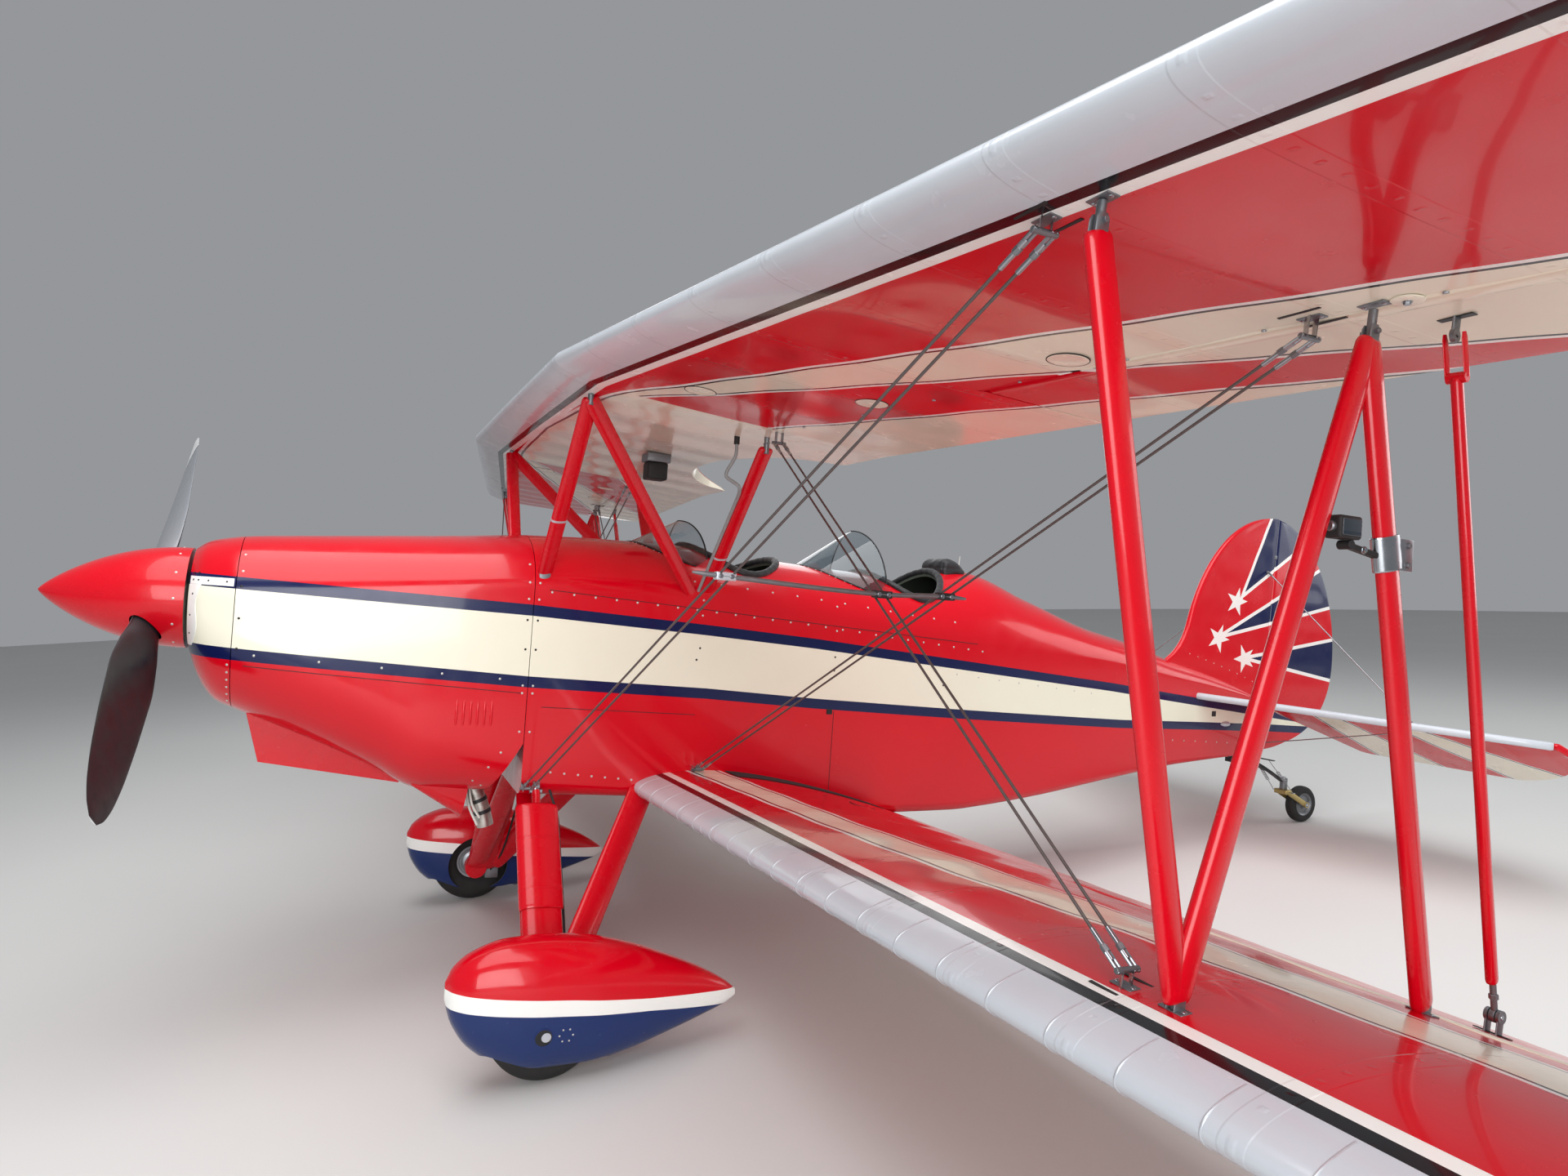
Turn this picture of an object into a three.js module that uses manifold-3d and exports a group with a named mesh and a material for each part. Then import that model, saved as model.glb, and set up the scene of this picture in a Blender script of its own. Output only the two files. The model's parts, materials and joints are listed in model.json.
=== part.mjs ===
// Two-seat open-cockpit sport biplane, standing on its main wheels and tail wheel.
// Units are millimetres. Every piece is drawn in the aeroplane's own frame: x to port, y aft, z up,
// with zero at the centre of the spinner's back plate, on the propeller's axis. The whole is then
// tipped nose up until the three wheels stand on the floor.
import * as THREE from "three";
import { mergeVertices } from "three/addons/utils/BufferGeometryUtils.js";
import Module from "manifold-3d";

const wasm = await Module();
wasm.setup();

const degree = Math.PI / 180;
const seatGap = 0.4; // between pieces that touch
const runGap = 6; // between a control surface and what carries it

// Wings: both have the same chord and aerofoil
const wingChord = 1168;
const wingThickness = 0.12;
const wingCamber = 0.028;
const semiSpan = 4064;
const tipLength = 560;
const frontSpar = 0.134; // as a share of the chord
const rearSpar = 0.647;
const aileronHinge = 0.69;
const upperWing = {
  rootX: 957, leadingY: 996, leadingZ: 807, kinkX: 956, sweep: 8.7, rise: -0.25, incidence: 7.4, twist: -0.8,
};
const lowerWing = {
  rootX: 300, leadingY: 1508, leadingZ: -615, kinkX: 0, sweep: 0, rise: 2.0, incidence: 6.2, twist: 0,
};
const aileronInner = 1860;
const aileronOuter = 3560;
const strutX = 2800;
const wireX = 2695;
const cutoutDepth = 330; // hand-hold cutout in the centre section's trailing edge
const cutoutHalf = 620;

// Running gear
const mainWheel = { x: 910, y: 1120, z: -1185, radius: 180, rim: 72 };
const tailWheel = { y: 5565, z: -815, radius: 103, width: 52 };

// Propeller and spinner
const propellerRadius = 920;
const propellerY = -110;
const propellerTurn = 48.9; // how far the lower blade stands out to port from straight down
const spinnerRadius = 172;
const spinnerLength = 432;

// Body: stations of the fuselage and of the engine cowl
// columns: y, half width, deck top z, shoulder z, belly z, corner radius across, corner radius up
const fuselageStations = [
  [1098, 338, 318, 110, -632, 70, 60],
  [1400, 350, 330, 112, -640, 60, 55],
  [1750, 356, 332, 104, -656, 55, 50],
  [2150, 358, 303, 80, -690, 50, 50],
  [2600, 355, 285, 40, -728, 45, 45],
  [2950, 345, 318, 5, -726, 45, 45],
  [3100, 335, 332, -5, -716, 45, 45],
  [3450, 296, 232, -25, -682, 42, 42],
  [3826, 246, 114, -48, -634, 38, 40],
  [4167, 196, 44, -90, -592, 34, 36],
  [4400, 160, -18, -122, -566, 30, 32],
  [4700, 112, -86, -160, -546, 24, 26],
  [5000, 62, -168, -205, -528, 18, 20],
  [5168, 32, -224, -236, -514, 12, 14],
];
const cowlStations = [
  [10, 172, 174, 0, -180, 168, 172],
  [45, 214, 200, 0, -275, 208, 240],
  [100, 240, 216, 5, -345, 222, 270],
  [152, 256, 226, 10, -368, 230, 262],
  [413, 292, 252, 30, -474, 238, 262],
  [587, 308, 268, 50, -552, 236, 252],
  [783, 322, 286, 72, -640, 220, 225],
  [1098, 338, 318, 110, -634, 130, 150],
];
const noseBowlEnd = 152;
const cowlWall = 6;
const fuselageWall = 22;
const cabinStart = 1125;
const cabinEnd = 3420;

// Cockpits: opening, seat pan, and the screen's foremost point and arched rim
const cockpits = {
  front: { y: 1940, halfLength: 195, halfWidth: 285, panZ: -300, screenFront: 1515, rimY: 1721, rimTop: 438 },
  rear: { y: 2762, halfLength: 180, halfWidth: 285, panZ: -330, screenFront: 2277, rimY: 2537, rimTop: 472 },
};

// Tail
const tailplane = { leadingY: 4500, leadingSweep: 0.29, z: -200, slope: 0.079, hingeY: 5138, halfSpan: 1530 };
const elevatorTrail = 5590;
const elevatorDroop = 22.5; // the free elevator hangs on its lower stop
const rudderFoot = { y: 5192, z: -505 };
const rudderHead = { y: 5252, z: 790 };
const tailThickness = 34;

// Finishes
const finish = {
  red: new THREE.MeshStandardMaterial({ color: 0xc1101c, roughness: 0.25 }),
  darkMetal: new THREE.MeshStandardMaterial({ color: 0x2b2b2d, roughness: 0.5, metalness: 0.6 }),
  steel: new THREE.MeshStandardMaterial({ color: 0x8e9296, roughness: 0.35, metalness: 0.9 }),
  tyre: new THREE.MeshStandardMaterial({ color: 0x17171a, roughness: 0.85 }),
  leather: new THREE.MeshStandardMaterial({ color: 0x141416, roughness: 0.6 }),
  screen: new THREE.MeshStandardMaterial({
    color: 0x9fb2ba, roughness: 0.05, transparent: true, opacity: 0.4,
  }),
};

const at = (x, y, z) => new THREE.Vector3(x, y, z);

// Solids

function toSolid(geometry) {
  const plain = geometry.clone();
  plain.deleteAttribute("normal");
  plain.deleteAttribute("uv");
  const merged = mergeVertices(plain, 1e-3);
  const mesh = new wasm.Mesh({
    numProp: 3,
    vertProperties: merged.attributes.position.array,
    triVerts: new Uint32Array(merged.index.array),
  });
  return new wasm.Manifold(mesh);
}

function toGeometry(solid) {
  const mesh = solid.simplify(0.12).getMesh();
  const geometry = new THREE.BufferGeometry();
  geometry.setAttribute("position", new THREE.BufferAttribute(mesh.vertProperties, 3));
  geometry.setIndex(new THREE.BufferAttribute(mesh.triVerts, 1));
  geometry.computeVertexNormals();
  return geometry;
}

const join = (...solids) => solids.reduce((whole, piece) => whole.add(piece));
const cut = (solid, ...tools) => tools.reduce((rest, tool) => rest.subtract(tool), solid);

// Volume enclosed by an indexed geometry, negative where its faces point inwards
function signedVolume(geometry) {
  const { position } = geometry.attributes;
  const index = geometry.index.array;
  const [a, b, c] = [at(0, 0, 0), at(0, 0, 0), at(0, 0, 0)];
  let six = 0;
  for (let i = 0; i < index.length; i += 3) {
    a.fromBufferAttribute(position, index[i]);
    b.fromBufferAttribute(position, index[i + 1]);
    c.fromBufferAttribute(position, index[i + 2]);
    six += a.dot(b.cross(c));
  }
  return six / 6;
}

// Skin carried through rings of points; the first and last rings are closed by fans,
// or joined to each other where the rings run in a loop
function loft(rings, loop = false) {
  const count = rings[0].length;
  const points = rings.flat();
  const index = [];
  const bands = loop ? rings.length : rings.length - 1;
  for (let r = 0; r < bands; r += 1) {
    const near = r * count;
    const far = ((r + 1) % rings.length) * count;
    for (let i = 0; i < count; i += 1) {
      const j = (i + 1) % count;
      const forward = points[near + i].distanceToSquared(points[far + j]);
      const backward = points[near + j].distanceToSquared(points[far + i]);
      if (forward < backward) {
        index.push(near + i, near + j, far + j, near + i, far + j, far + i);
      } else {
        index.push(near + i, near + j, far + i, near + j, far + j, far + i);
      }
    }
  }
  if (!loop) {
    for (const [start, turn] of [[0, true], [(rings.length - 1) * count, false]]) {
      const middle = at(0, 0, 0);
      for (let i = 0; i < count; i += 1) middle.addScaledVector(points[start + i], 1 / count);
      points.push(middle);
      for (let i = 0; i < count; i += 1) {
        const pair = [start + i, start + ((i + 1) % count)];
        if (turn) pair.reverse();
        index.push(points.length - 1, pair[0], pair[1]);
      }
    }
  }
  const geometry = new THREE.BufferGeometry().setFromPoints(points);
  geometry.setIndex(index);
  if (signedVolume(geometry) < 0) index.reverse();
  geometry.setIndex(index);
  return toSolid(geometry);
}

// A closed outline in two coordinates, moved outwards by a distance (inwards where negative)
function growOutline(outline, distance) {
  const count = outline.length;
  let area = 0;
  outline.forEach(([a, b], i) => {
    const [c, d] = outline[(i + 1) % count];
    area += a * d - c * b;
  });
  const turn = Math.sign(area);
  return outline.map(([a, b], i) => {
    const before = outline[(i + count - 1) % count];
    const after = outline[(i + 1) % count];
    const edges = [[a - before[0], b - before[1]], [after[0] - a, after[1] - b]];
    const normals = edges.map(([p, q]) => [q / Math.hypot(p, q), -p / Math.hypot(p, q)]);
    const sum = [normals[0][0] + normals[1][0], normals[0][1] + normals[1][1]];
    const length = Math.hypot(...sum);
    const half = Math.max(length / 2, 0.4);
    return [
      a + (turn * distance * sum[0]) / length / half,
      b + (turn * distance * sum[1]) / length / half,
    ];
  });
}

function placed(geometry, matrix) {
  return toSolid(geometry.clone().applyMatrix4(matrix));
}

// Axes with X along from-to and Z as near to up as that allows
function frameAlong(from, to, up = at(0, 0, 1)) {
  const x = to.clone().sub(from).normalize();
  const y = up.clone().cross(x).normalize();
  const z = x.clone().cross(y);
  return new THREE.Matrix4().makeBasis(x, y, z).setPosition(from);
}

// A block given by its lowest and highest corners
function block(low, high, matrix = new THREE.Matrix4()) {
  const size = high.clone().sub(low);
  const middle = low.clone().add(high).multiplyScalar(0.5);
  const box = new THREE.BoxGeometry(size.x, size.y, size.z).translate(middle.x, middle.y, middle.z);
  return placed(box, matrix);
}

// A round bar between two points, or an oval one where its chord lies along y
function bar(from, to, chordwise, across = chordwise, sides = 10, chordDirection = at(0, 1, 0)) {
  const along = to.clone().sub(from).normalize();
  const wide = chordDirection.clone().addScaledVector(along, -along.dot(chordDirection)).normalize();
  const thin = along.clone().cross(wide);
  const rings = [from, to].map((end) => Array.from({ length: sides }, (_, i) => {
    const angle = (2 * Math.PI * i) / sides;
    return end.clone()
      .addScaledVector(wide, (Math.cos(angle) * chordwise) / 2)
      .addScaledVector(thin, (Math.sin(angle) * across) / 2);
  }));
  return loft(rings);
}

// A disc or barrel turned from a profile of [radius, distance along the axis] pairs
function turned(profile, sides, from, along) {
  const outline = profile.map(([radius, distance]) => new THREE.Vector2(radius, distance));
  const geometry = new THREE.LatheGeometry(outline, sides);
  geometry.deleteAttribute("normal");
  geometry.deleteAttribute("uv");
  const merged = mergeVertices(geometry, 1e-3);
  const tidy = [];
  const { array } = merged.index;
  for (let i = 0; i < array.length; i += 3) {
    const [a, b, c] = [array[i], array[i + 1], array[i + 2]];
    if (a !== b && b !== c && c !== a) tidy.push(a, b, c);
  }
  merged.setIndex(tidy);
  if (signedVolume(merged) < 0) merged.setIndex(tidy.reverse());
  const turn = new THREE.Quaternion().setFromUnitVectors(at(0, 1, 0), along.clone().normalize());
  merged.applyQuaternion(turn).translate(from.x, from.y, from.z);
  return toSolid(merged);
}

// Cuts a control surface free of what carries it, aft of a hinge axis. The surface gets a round
// nose about the axis, and hinge pins across short notches; the carrier gets the eyes round them.
function splitAtHinge(whole, hinge) {
  const length = hinge.from.distanceTo(hinge.to);
  const frame = frameAlong(hinge.from, hinge.to, hinge.up);
  const along = hinge.to.clone().sub(hinge.from).normalize();
  const slice = (radius, start, end, sides = 12) => bar(
    hinge.from.clone().addScaledVector(along, start),
    hinge.from.clone().addScaledVector(along, end),
    2 * radius, 2 * radius, sides, hinge.up,
  );
  const behind = (start, end) => block(at(start, 0.7, -400), at(end, 900, 400), frame);
  const nose = slice(hinge.nose, hinge.noseStart ?? 0, hinge.noseEnd ?? length);
  let moving = join(whole.intersect(behind(0, length)), nose);
  const eyes = [];
  const fixed = cut(
    whole,
    behind(-hinge.endGap, length + hinge.endGap),
    slice(hinge.nose + runGap, -hinge.endGap, length + hinge.endGap),
  );
  for (const station of hinge.stations) {
    const half = 7;
    moving = cut(moving, slice(hinge.nose + 2, station - half, station + half));
    moving = join(moving, slice(4, station - half - 4, station + half + 4, 6));
    const arm = block(
      at(station - half + 1.5, -hinge.nose - hinge.armReach, -6),
      at(station + half - 1.5, -6, 6),
      frame,
    );
    const eye = cut(
      join(slice(10, station - half + 1, station + half - 1, 8), arm),
      slice(4.7, station - half, station + half, 8),
    );
    eyes.push(eye);
  }
  return { moving, fixed, eyes };
}

// Outlines

// One ring of the body: flat belly, rounded lower corners, upright sides and an arched deck
function bodyOutline([, half, top, shoulder, belly, cornerAcross, cornerUp], grow) {
  const side = [[0, belly]];
  for (let i = 0; i <= 4; i += 1) {
    const angle = (i / 4) * 90 * degree;
    side.push([
      half - cornerAcross + cornerAcross * Math.sin(angle),
      belly + cornerUp - cornerUp * Math.cos(angle),
    ]);
  }
  for (let i = 0; i <= 6; i += 1) {
    const angle = (i / 6) * 90 * degree;
    side.push([half * Math.cos(angle), shoulder + (top - shoulder) * Math.sin(angle)]);
  }
  const other = side.slice(1, -1).reverse().map(([x, z]) => [-x, z]);
  return growOutline([...side, ...other], grow);
}

function bodyLoft(stations, grow = 0, stretch = 0) {
  const last = stations.length - 1;
  const rings = stations.map((station, i) => {
    const push = (i === 0 ? -stretch : 0) + (i === last ? stretch : 0);
    return bodyOutline(station, grow).map(([x, z]) => at(x, station[0] + push, z));
  });
  return loft(rings);
}

// A station between two rows of a table of stations, by straight interpolation
function stationAt(stations, y) {
  const after = Math.max(1, stations.findIndex((row) => row[0] >= y));
  const [a, b] = [stations[after - 1], stations[after]];
  const share = (y - a[0]) / (b[0] - a[0]);
  return a.map((value, i) => value + (b[i] - value) * share);
}

function stationsBetween(stations, start, end) {
  const inner = stations.filter((row) => row[0] > start + 1 && row[0] < end - 1);
  return [stationAt(stations, start), ...inner, stationAt(stations, end)];
}

const deckHeight = (x, y) => {
  const [, half, top, shoulder] = stationAt(fuselageStations, y);
  return shoulder + (top - shoulder) * Math.sqrt(Math.max(0, 1 - (x / half) ** 2));
};

// Aerofoil as [distance aft, height] pairs for a chord, from the trailing edge over the top
function aerofoil(chord, thickness, camber, grow = 0) {
  const steps = 9;
  const half = (s) => 5 * thickness * chord
    * (0.2969 * Math.sqrt(s) - 0.126 * s - 0.3516 * s ** 2 + 0.2843 * s ** 3 - 0.1015 * s ** 4);
  const middle = (s) => (s < 0.4
    ? ((camber * chord) / 0.16) * (0.8 * s - s * s)
    : ((camber * chord) / 0.36) * (0.2 + 0.8 * s - s * s));
  const top = [];
  const bottom = [];
  for (let i = 0; i <= steps; i += 1) {
    const s = 0.5 + 0.5 * Math.cos((Math.PI * i) / steps);
    top.push([s * chord, middle(s) + half(s)]);
    if (i > 0 && i < steps) bottom.push([s * chord, middle(s) - half(s)]);
  }
  bottom.reverse();
  bottom.push([chord, middle(1) - half(1) - 1]);
  return growOutline([...top, ...bottom], grow);
}

// A place on a wing: span station x, share of the chord from the leading edge, height off the chord
function wingPoint(wing, x, share, height) {
  const out = Math.max(0, Math.abs(x) - wing.kinkX);
  const angle = (wing.incidence + (wing.twist * out) / 1000) * degree;
  const run = share * wingChord;
  return at(
    x,
    wing.leadingY + out * Math.tan(wing.sweep * degree) + run * Math.cos(angle) + height * Math.sin(angle),
    wing.leadingZ + (Math.abs(x) - wing.kinkX) * Math.tan(wing.rise * degree) - run * Math.sin(angle)
      + height * Math.cos(angle),
  );
}

// A wing between two span stations, with its rounded tip where it reaches the full span
function wingLoft(wing, start, end, grow = 0) {
  const tipStart = semiSpan - tipLength;
  const spans = [start];
  if (end > tipStart) {
    spans.push(tipStart);
    for (const share of [0.35, 0.62, 0.82, 0.94, 0.99]) spans.push(tipStart + share * tipLength);
  } else {
    spans.push(end);
  }
  const rings = spans.map((x) => {
    const past = Math.max(0, x - tipStart) / tipLength;
    const left = Math.sqrt(1 - past ** 2);
    const front = 0.36 * (1 - left);
    const chord = wingChord * (1 - 0.88 * (1 - left));
    const outline = aerofoil(chord, wingThickness * (0.35 + 0.65 * left), wingCamber, grow);
    return outline.map(([run, height]) => wingPoint(wing, x, front + run / wingChord, height));
  });
  if (grow) {
    rings[0].forEach((point) => { point.x -= grow; });
    rings.at(-1).forEach((point) => { point.x += grow; });
  }
  return loft(rings);
}

// Group of named pieces

const aeroplane = new THREE.Group();

function add(name, solid, material) {
  const mesh = new THREE.Mesh(toGeometry(solid), material);
  mesh.name = name;
  aeroplane.add(mesh);
}

// The port piece as drawn and its starboard twin
function addPair(name, solid, material) {
  for (const [side, sign] of [["left", 1], ["right", -1]]) {
    const mesh = new THREE.Mesh(toGeometry(solid), material);
    mesh.name = `${name}_${side}`;
    mesh.scale.x = sign;
    aeroplane.add(mesh);
  }
}

// Propeller: a hub inside the spinner and two twisted blades

// columns: share of the radius, blade chord, blade thickness, pitch in degrees
const bladeStations = [
  [0.05, 80, 60, 46],
  [0.19, 112, 48, 40],
  [0.3, 165, 31, 34],
  [0.45, 210, 22, 28],
  [0.6, 212, 17, 24],
  [0.75, 200, 13, 21],
  [0.88, 165, 10, 19],
  [0.96, 110, 8, 18],
  [1.0, 45, 6, 17],
];

function blade(grow = 0, reach = 1) {
  const rings = bladeStations.filter((row) => row[0] <= reach).map(([share, width, thick, pitch]) => {
    const radius = share * propellerRadius;
    return Array.from({ length: 12 }, (_, i) => {
      const angle = (2 * Math.PI * i) / 12;
      const chordwise = (width / 2 + grow) * Math.cos(angle);
      const across = (thick / 2 + grow) * Math.sin(angle);
      const twist = -pitch * degree;
      return at(
        chordwise * Math.cos(twist) - across * Math.sin(twist),
        chordwise * Math.sin(twist) + across * Math.cos(twist),
        -radius,
      );
    });
  });
  return loft(rings);
}

// Both blades, turned to where they stand in the photograph
function bladePair(grow, reach) {
  const one = toGeometry(blade(grow, reach));
  const pair = [0, 180].map((turn) => {
    const matrix = new THREE.Matrix4().makeRotationY(-(propellerTurn + turn) * degree);
    return placed(one, matrix.setPosition(0, propellerY, 0));
  });
  return join(...pair);
}

const aft = at(0, 1, 0);
const hub = turned([[0, -70], [61.5, -70], [61.5, 104], [0, 104]], 16, at(0, propellerY, 0), aft);
add("propeller", join(hub, bladePair(0, 1)), finish.darkMetal);

// Spinner: an ogive over the hub, open at the back, with a hole for each blade
const ogive = (radius, length, steps) => Array.from({ length: steps + 1 }, (_, i) => {
  const share = i / steps;
  return [radius * Math.sin((share ** 0.8 * Math.PI) / 2), -length * (1 - share)];
});
const spinnerOuter = turned([...ogive(spinnerRadius, spinnerLength, 8), [0, 0]], 24, at(0, -2, 0), aft);
const spinnerHollow = ogive(spinnerRadius - 5, spinnerLength - 14, 8);
const spinnerInner = turned([...spinnerHollow, [0, 0]], 24, at(0, -1.9, 0), aft);
const plateHole = 62.5;
const plateEdge = spinnerRadius - 3;
const plateProfile = [[plateHole, -12], [plateEdge, -12], [plateEdge, 0], [plateHole, 0], [plateHole, -12]];
const backPlate = turned(plateProfile, 24, at(0, -3, 0), aft);
add("spinner", join(cut(spinnerOuter, spinnerInner, bladePair(4, 0.33)), backPlate), finish.red);

// Engine, its cowl and the nose

const noseStations = stationsBetween(cowlStations, 10, noseBowlEnd - seatGap);
const noseInner = noseStations.map((row, i) => (i === 0 ? [row[0] + cowlWall, ...row.slice(1)] : row));
const inlet = new THREE.CylinderGeometry(58, 58, 300, 14).scale(1.7, 1, 0.72).translate(0, 60, -250);
const noseBowl = cut(
  bodyLoft(noseStations),
  bodyLoft([...noseInner.slice(0, -1), [noseBowlEnd + 1, ...noseInner.at(-1).slice(1)]], -cowlWall),
  turned([[0, -40], [64, -40], [64, 60], [0, 60]], 18, at(0, 10, 0), aft),
  toSolid(inlet),
);
add("nose_bowl", noseBowl, finish.red);

// Cowl: open below behind the engine, where a flared lip lets the cooling air out, and cut
// back in a triangle low on each side
const firewallY = 1098;
const sideStations = stationsBetween(cowlStations, noseBowlEnd, firewallY - seatGap);
const cowlHollow = bodyLoft(sideStations, -cowlWall, 1);

// columns: y at the lip's top, y at its foot, foot z, corner radius
const lipStations = [
  [742, 742, -618, 20],
  [948, 918, -738, 60],
];
function outletLip(inset) {
  const headZ = -560;
  const halfWidth = 200 - inset;
  return loft(lipStations.map(([headY, footY, footZ, radius], i) => {
    const foot = footZ + inset;
    const back = i === 1 && inset ? 20 : 0;
    const corner = Array.from({ length: 4 }, (_, k) => {
      const angle = (k / 3) * 90 * degree;
      return [halfWidth - radius + radius * Math.cos(angle), foot + radius - radius * Math.sin(angle)];
    });
    const outline = [[halfWidth, headZ], ...corner];
    const mirrored = outline.map(([x, z]) => [-x, z]).reverse();
    return [...outline, ...mirrored].map(([x, z]) => {
      const down = (z - headZ) / (footZ - headZ);
      return at(x, headY + (footY - headY) * down + back, z);
    });
  }));
}
const sideGap = new THREE.Shape([
  new THREE.Vector2(1100, -440),
  new THREE.Vector2(985, -640),
  new THREE.Vector2(985, -720),
  new THREE.Vector2(1120, -720),
  new THREE.Vector2(1120, -440),
]);
const upright = new THREE.Matrix4().makeBasis(at(0, 1, 0), at(0, 0, 1), at(1, 0, 0));
const sideOn = (shape, width) => {
  const slab = new THREE.ExtrudeGeometry(shape, { depth: width, bevelEnabled: false, curveSegments: 8 });
  return placed(slab.translate(0, 0, -width / 2), upright);
};
const cowl = cut(
  bodyLoft(sideStations),
  cowlHollow,
  block(at(-194, 760, -800), at(194, 1100, -545)),
  sideOn(sideGap, 800),
);
const lip = cut(outletLip(0), outletLip(cowlWall), cowlHollow);
add("engine_cowl", join(cowl, lip), finish.red);

// Scoop under the chin: a hollow wedge, open at its front face
const scoopSide = new THREE.Shape([
  new THREE.Vector2(196, -378),
  new THREE.Vector2(244, -552),
  new THREE.Vector2(706, -628),
  new THREE.Vector2(706, -585),
]);
const scoopHollow = new THREE.Shape([
  new THREE.Vector2(170, -350),
  new THREE.Vector2(230, -546),
  new THREE.Vector2(560, -600),
  new THREE.Vector2(560, -520),
]);
const cowlSkin = bodyLoft(cowlStations, seatGap, 1);
add("chin_scoop", cut(sideOn(scoopSide, 150), cowlSkin, sideOn(scoopHollow, 138)), finish.red);

// In-line engine as one block, its mount tubes to the firewall and the shaft to the hub
const engineBlock = block(at(-120, 300, -400), at(120, 905, 105));
const shaft = turned([[0, -5.6], [34, -5.6], [34, 310], [0, 310]], 14, at(0, 0, 0), aft);
const mounts = [[-1, -300], [1, -300], [-1, 40], [1, 40]].map(([side, z]) => bar(
  at(side * 100, 880, z),
  at(side * 180, firewallY - seatGap, z + Math.sign(z) * 40),
  34,
  34,
  8,
));
const firewall = block(at(-400, firewallY - seatGap, -800), at(400, 1200, 500));
add("engine", cut(join(engineBlock, shaft, ...mounts), firewall), finish.darkMetal);

// Exhaust: one pipe from the block down through the cowl's outlet
const pipeRoute = [
  at(70, 840, -400.5),
  at(78, 850, -470),
  at(95, 900, -560),
  at(105, 962, -640),
  at(110, 998, -715),
  at(113, 1020, -785),
];
const pipeCurve = new THREE.CatmullRomCurve3(pipeRoute);
const pipeSection = new THREE.Shape().absarc(0, 0, 31, 0, 2 * Math.PI);
const pipe = toSolid(new THREE.ExtrudeGeometry(pipeSection, {
  extrudePath: pipeCurve,
  steps: 9,
  curveSegments: 5,
  bevelEnabled: false,
}));
add("exhaust_pipe", cut(pipe, block(at(-120, 180, -401 + seatGap), at(140, 910, 106))), finish.steel);

// Fuselage: a hollow body with two cockpit openings

const fuselageSolid = bodyLoft(fuselageStations);
const fuselageSkin = bodyLoft(fuselageStations, seatGap, seatGap);
const cabin = bodyLoft(stationsBetween(fuselageStations, cabinStart, cabinEnd), -fuselageWall);
const cockpitHole = ({ y, halfLength, halfWidth }) => {
  const oval = new THREE.CylinderGeometry(1, 1, 500, 24);
  const matrix = new THREE.Matrix4().makeRotationX(90 * degree);
  matrix.premultiply(new THREE.Matrix4().makeScale(halfWidth, halfLength, 1));
  matrix.setPosition(0, y, 250);
  return placed(oval, matrix);
};

// Tailplane and elevators, drawn flat and then set at the tail's slope

const tailSlope = Math.atan(tailplane.slope);
const tailFrame = new THREE.Matrix4().makeRotationX(-tailSlope);
tailFrame.setPosition(0, tailplane.leadingY, tailplane.z);
const onTail = (x, run, height) => at(x, run, height).applyMatrix4(tailFrame);
const tailRun = (y) => (y - tailplane.leadingY) / Math.cos(tailSlope);
const hingeRun = tailRun(tailplane.hingeY);
const trailRun = tailRun(elevatorTrail);

function tailOutline() {
  const shape = new THREE.Shape();
  const { halfSpan, leadingSweep } = tailplane;
  shape.moveTo(0, 20);
  shape.lineTo(1000, 1000 * leadingSweep + 20);
  shape.bezierCurveTo(1280, 395, halfSpan, 520, halfSpan, 720);
  shape.bezierCurveTo(halfSpan - 10, 820, 1400, 1020, 1150, trailRun);
  shape.lineTo(-1150, trailRun);
  shape.bezierCurveTo(-1400, 1020, 10 - halfSpan, 820, -halfSpan, 720);
  shape.bezierCurveTo(-halfSpan, 520, -1280, 395, -1000, 1000 * leadingSweep + 20);
  shape.closePath();
  return shape;
}

const bevelled = { bevelEnabled: true, bevelThickness: 9, bevelSize: 10, bevelOffset: -10, bevelSegments: 1 };
const flatTail = (grow) => {
  const depth = tailThickness - 18 + 2 * grow;
  const bevel = { ...bevelled, bevelOffset: -10 + grow };
  const plate = new THREE.ExtrudeGeometry(tailOutline(), { depth, curveSegments: 5, ...bevel });
  return placed(plate.translate(0, 0, -depth / 2), tailFrame);
};
const wedge = new THREE.Shape([
  new THREE.Vector2(-66, hingeRun - 40),
  new THREE.Vector2(66, hingeRun - 40),
  new THREE.Vector2(66, hingeRun + 30),
  new THREE.Vector2(430, trailRun + 60),
  new THREE.Vector2(-430, trailRun + 60),
  new THREE.Vector2(-66, hingeRun + 30),
]);
const wedgeCut = placed(
  new THREE.ExtrudeGeometry(wedge, { depth: 200, bevelEnabled: false }).translate(0, 0, -100),
  tailFrame,
);
const elevatorAxis = { from: onTail(-1700, hingeRun, 0), to: onTail(1700, hingeRun, 0) };
const torqueTube = bar(onTail(-120, hingeRun, 0), onTail(120, hingeRun, 0), 26, 26, 12);
const tailSplit = splitAtHinge(flatTail(0), {
  ...elevatorAxis,
  up: at(0, 0, 1),
  nose: 15,
  noseStart: 220,
  noseEnd: 3180,
  endGap: 0,
  stations: [620, 1250, 2150, 2780],
  armReach: 30,
});
const toAxis = new THREE.Matrix4().setPosition(elevatorAxis.from);
const droop = toAxis.clone()
  .multiply(new THREE.Matrix4().makeRotationX(-elevatorDroop * degree))
  .multiply(toAxis.clone().invert());
const elevatorLevel = join(cut(tailSplit.moving, wedgeCut), torqueTube);
const braceX = 950;
const braceRun = hingeRun - 110;
const braceHoles = [-braceX, braceX].map((x) => {
  const [foot, head] = [-60, 60].map((height) => onTail(x, braceRun, height));
  return bar(foot, head, 8.8, 8.8, 8, at(1, 0, 0));
});
add("stabiliser", cut(join(tailSplit.fixed, ...tailSplit.eyes), ...braceHoles), finish.red);
add("elevator", placed(toGeometry(elevatorLevel), droop), finish.red);

// Fin and rudder from one outline, split at the rudder's hinge

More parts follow.
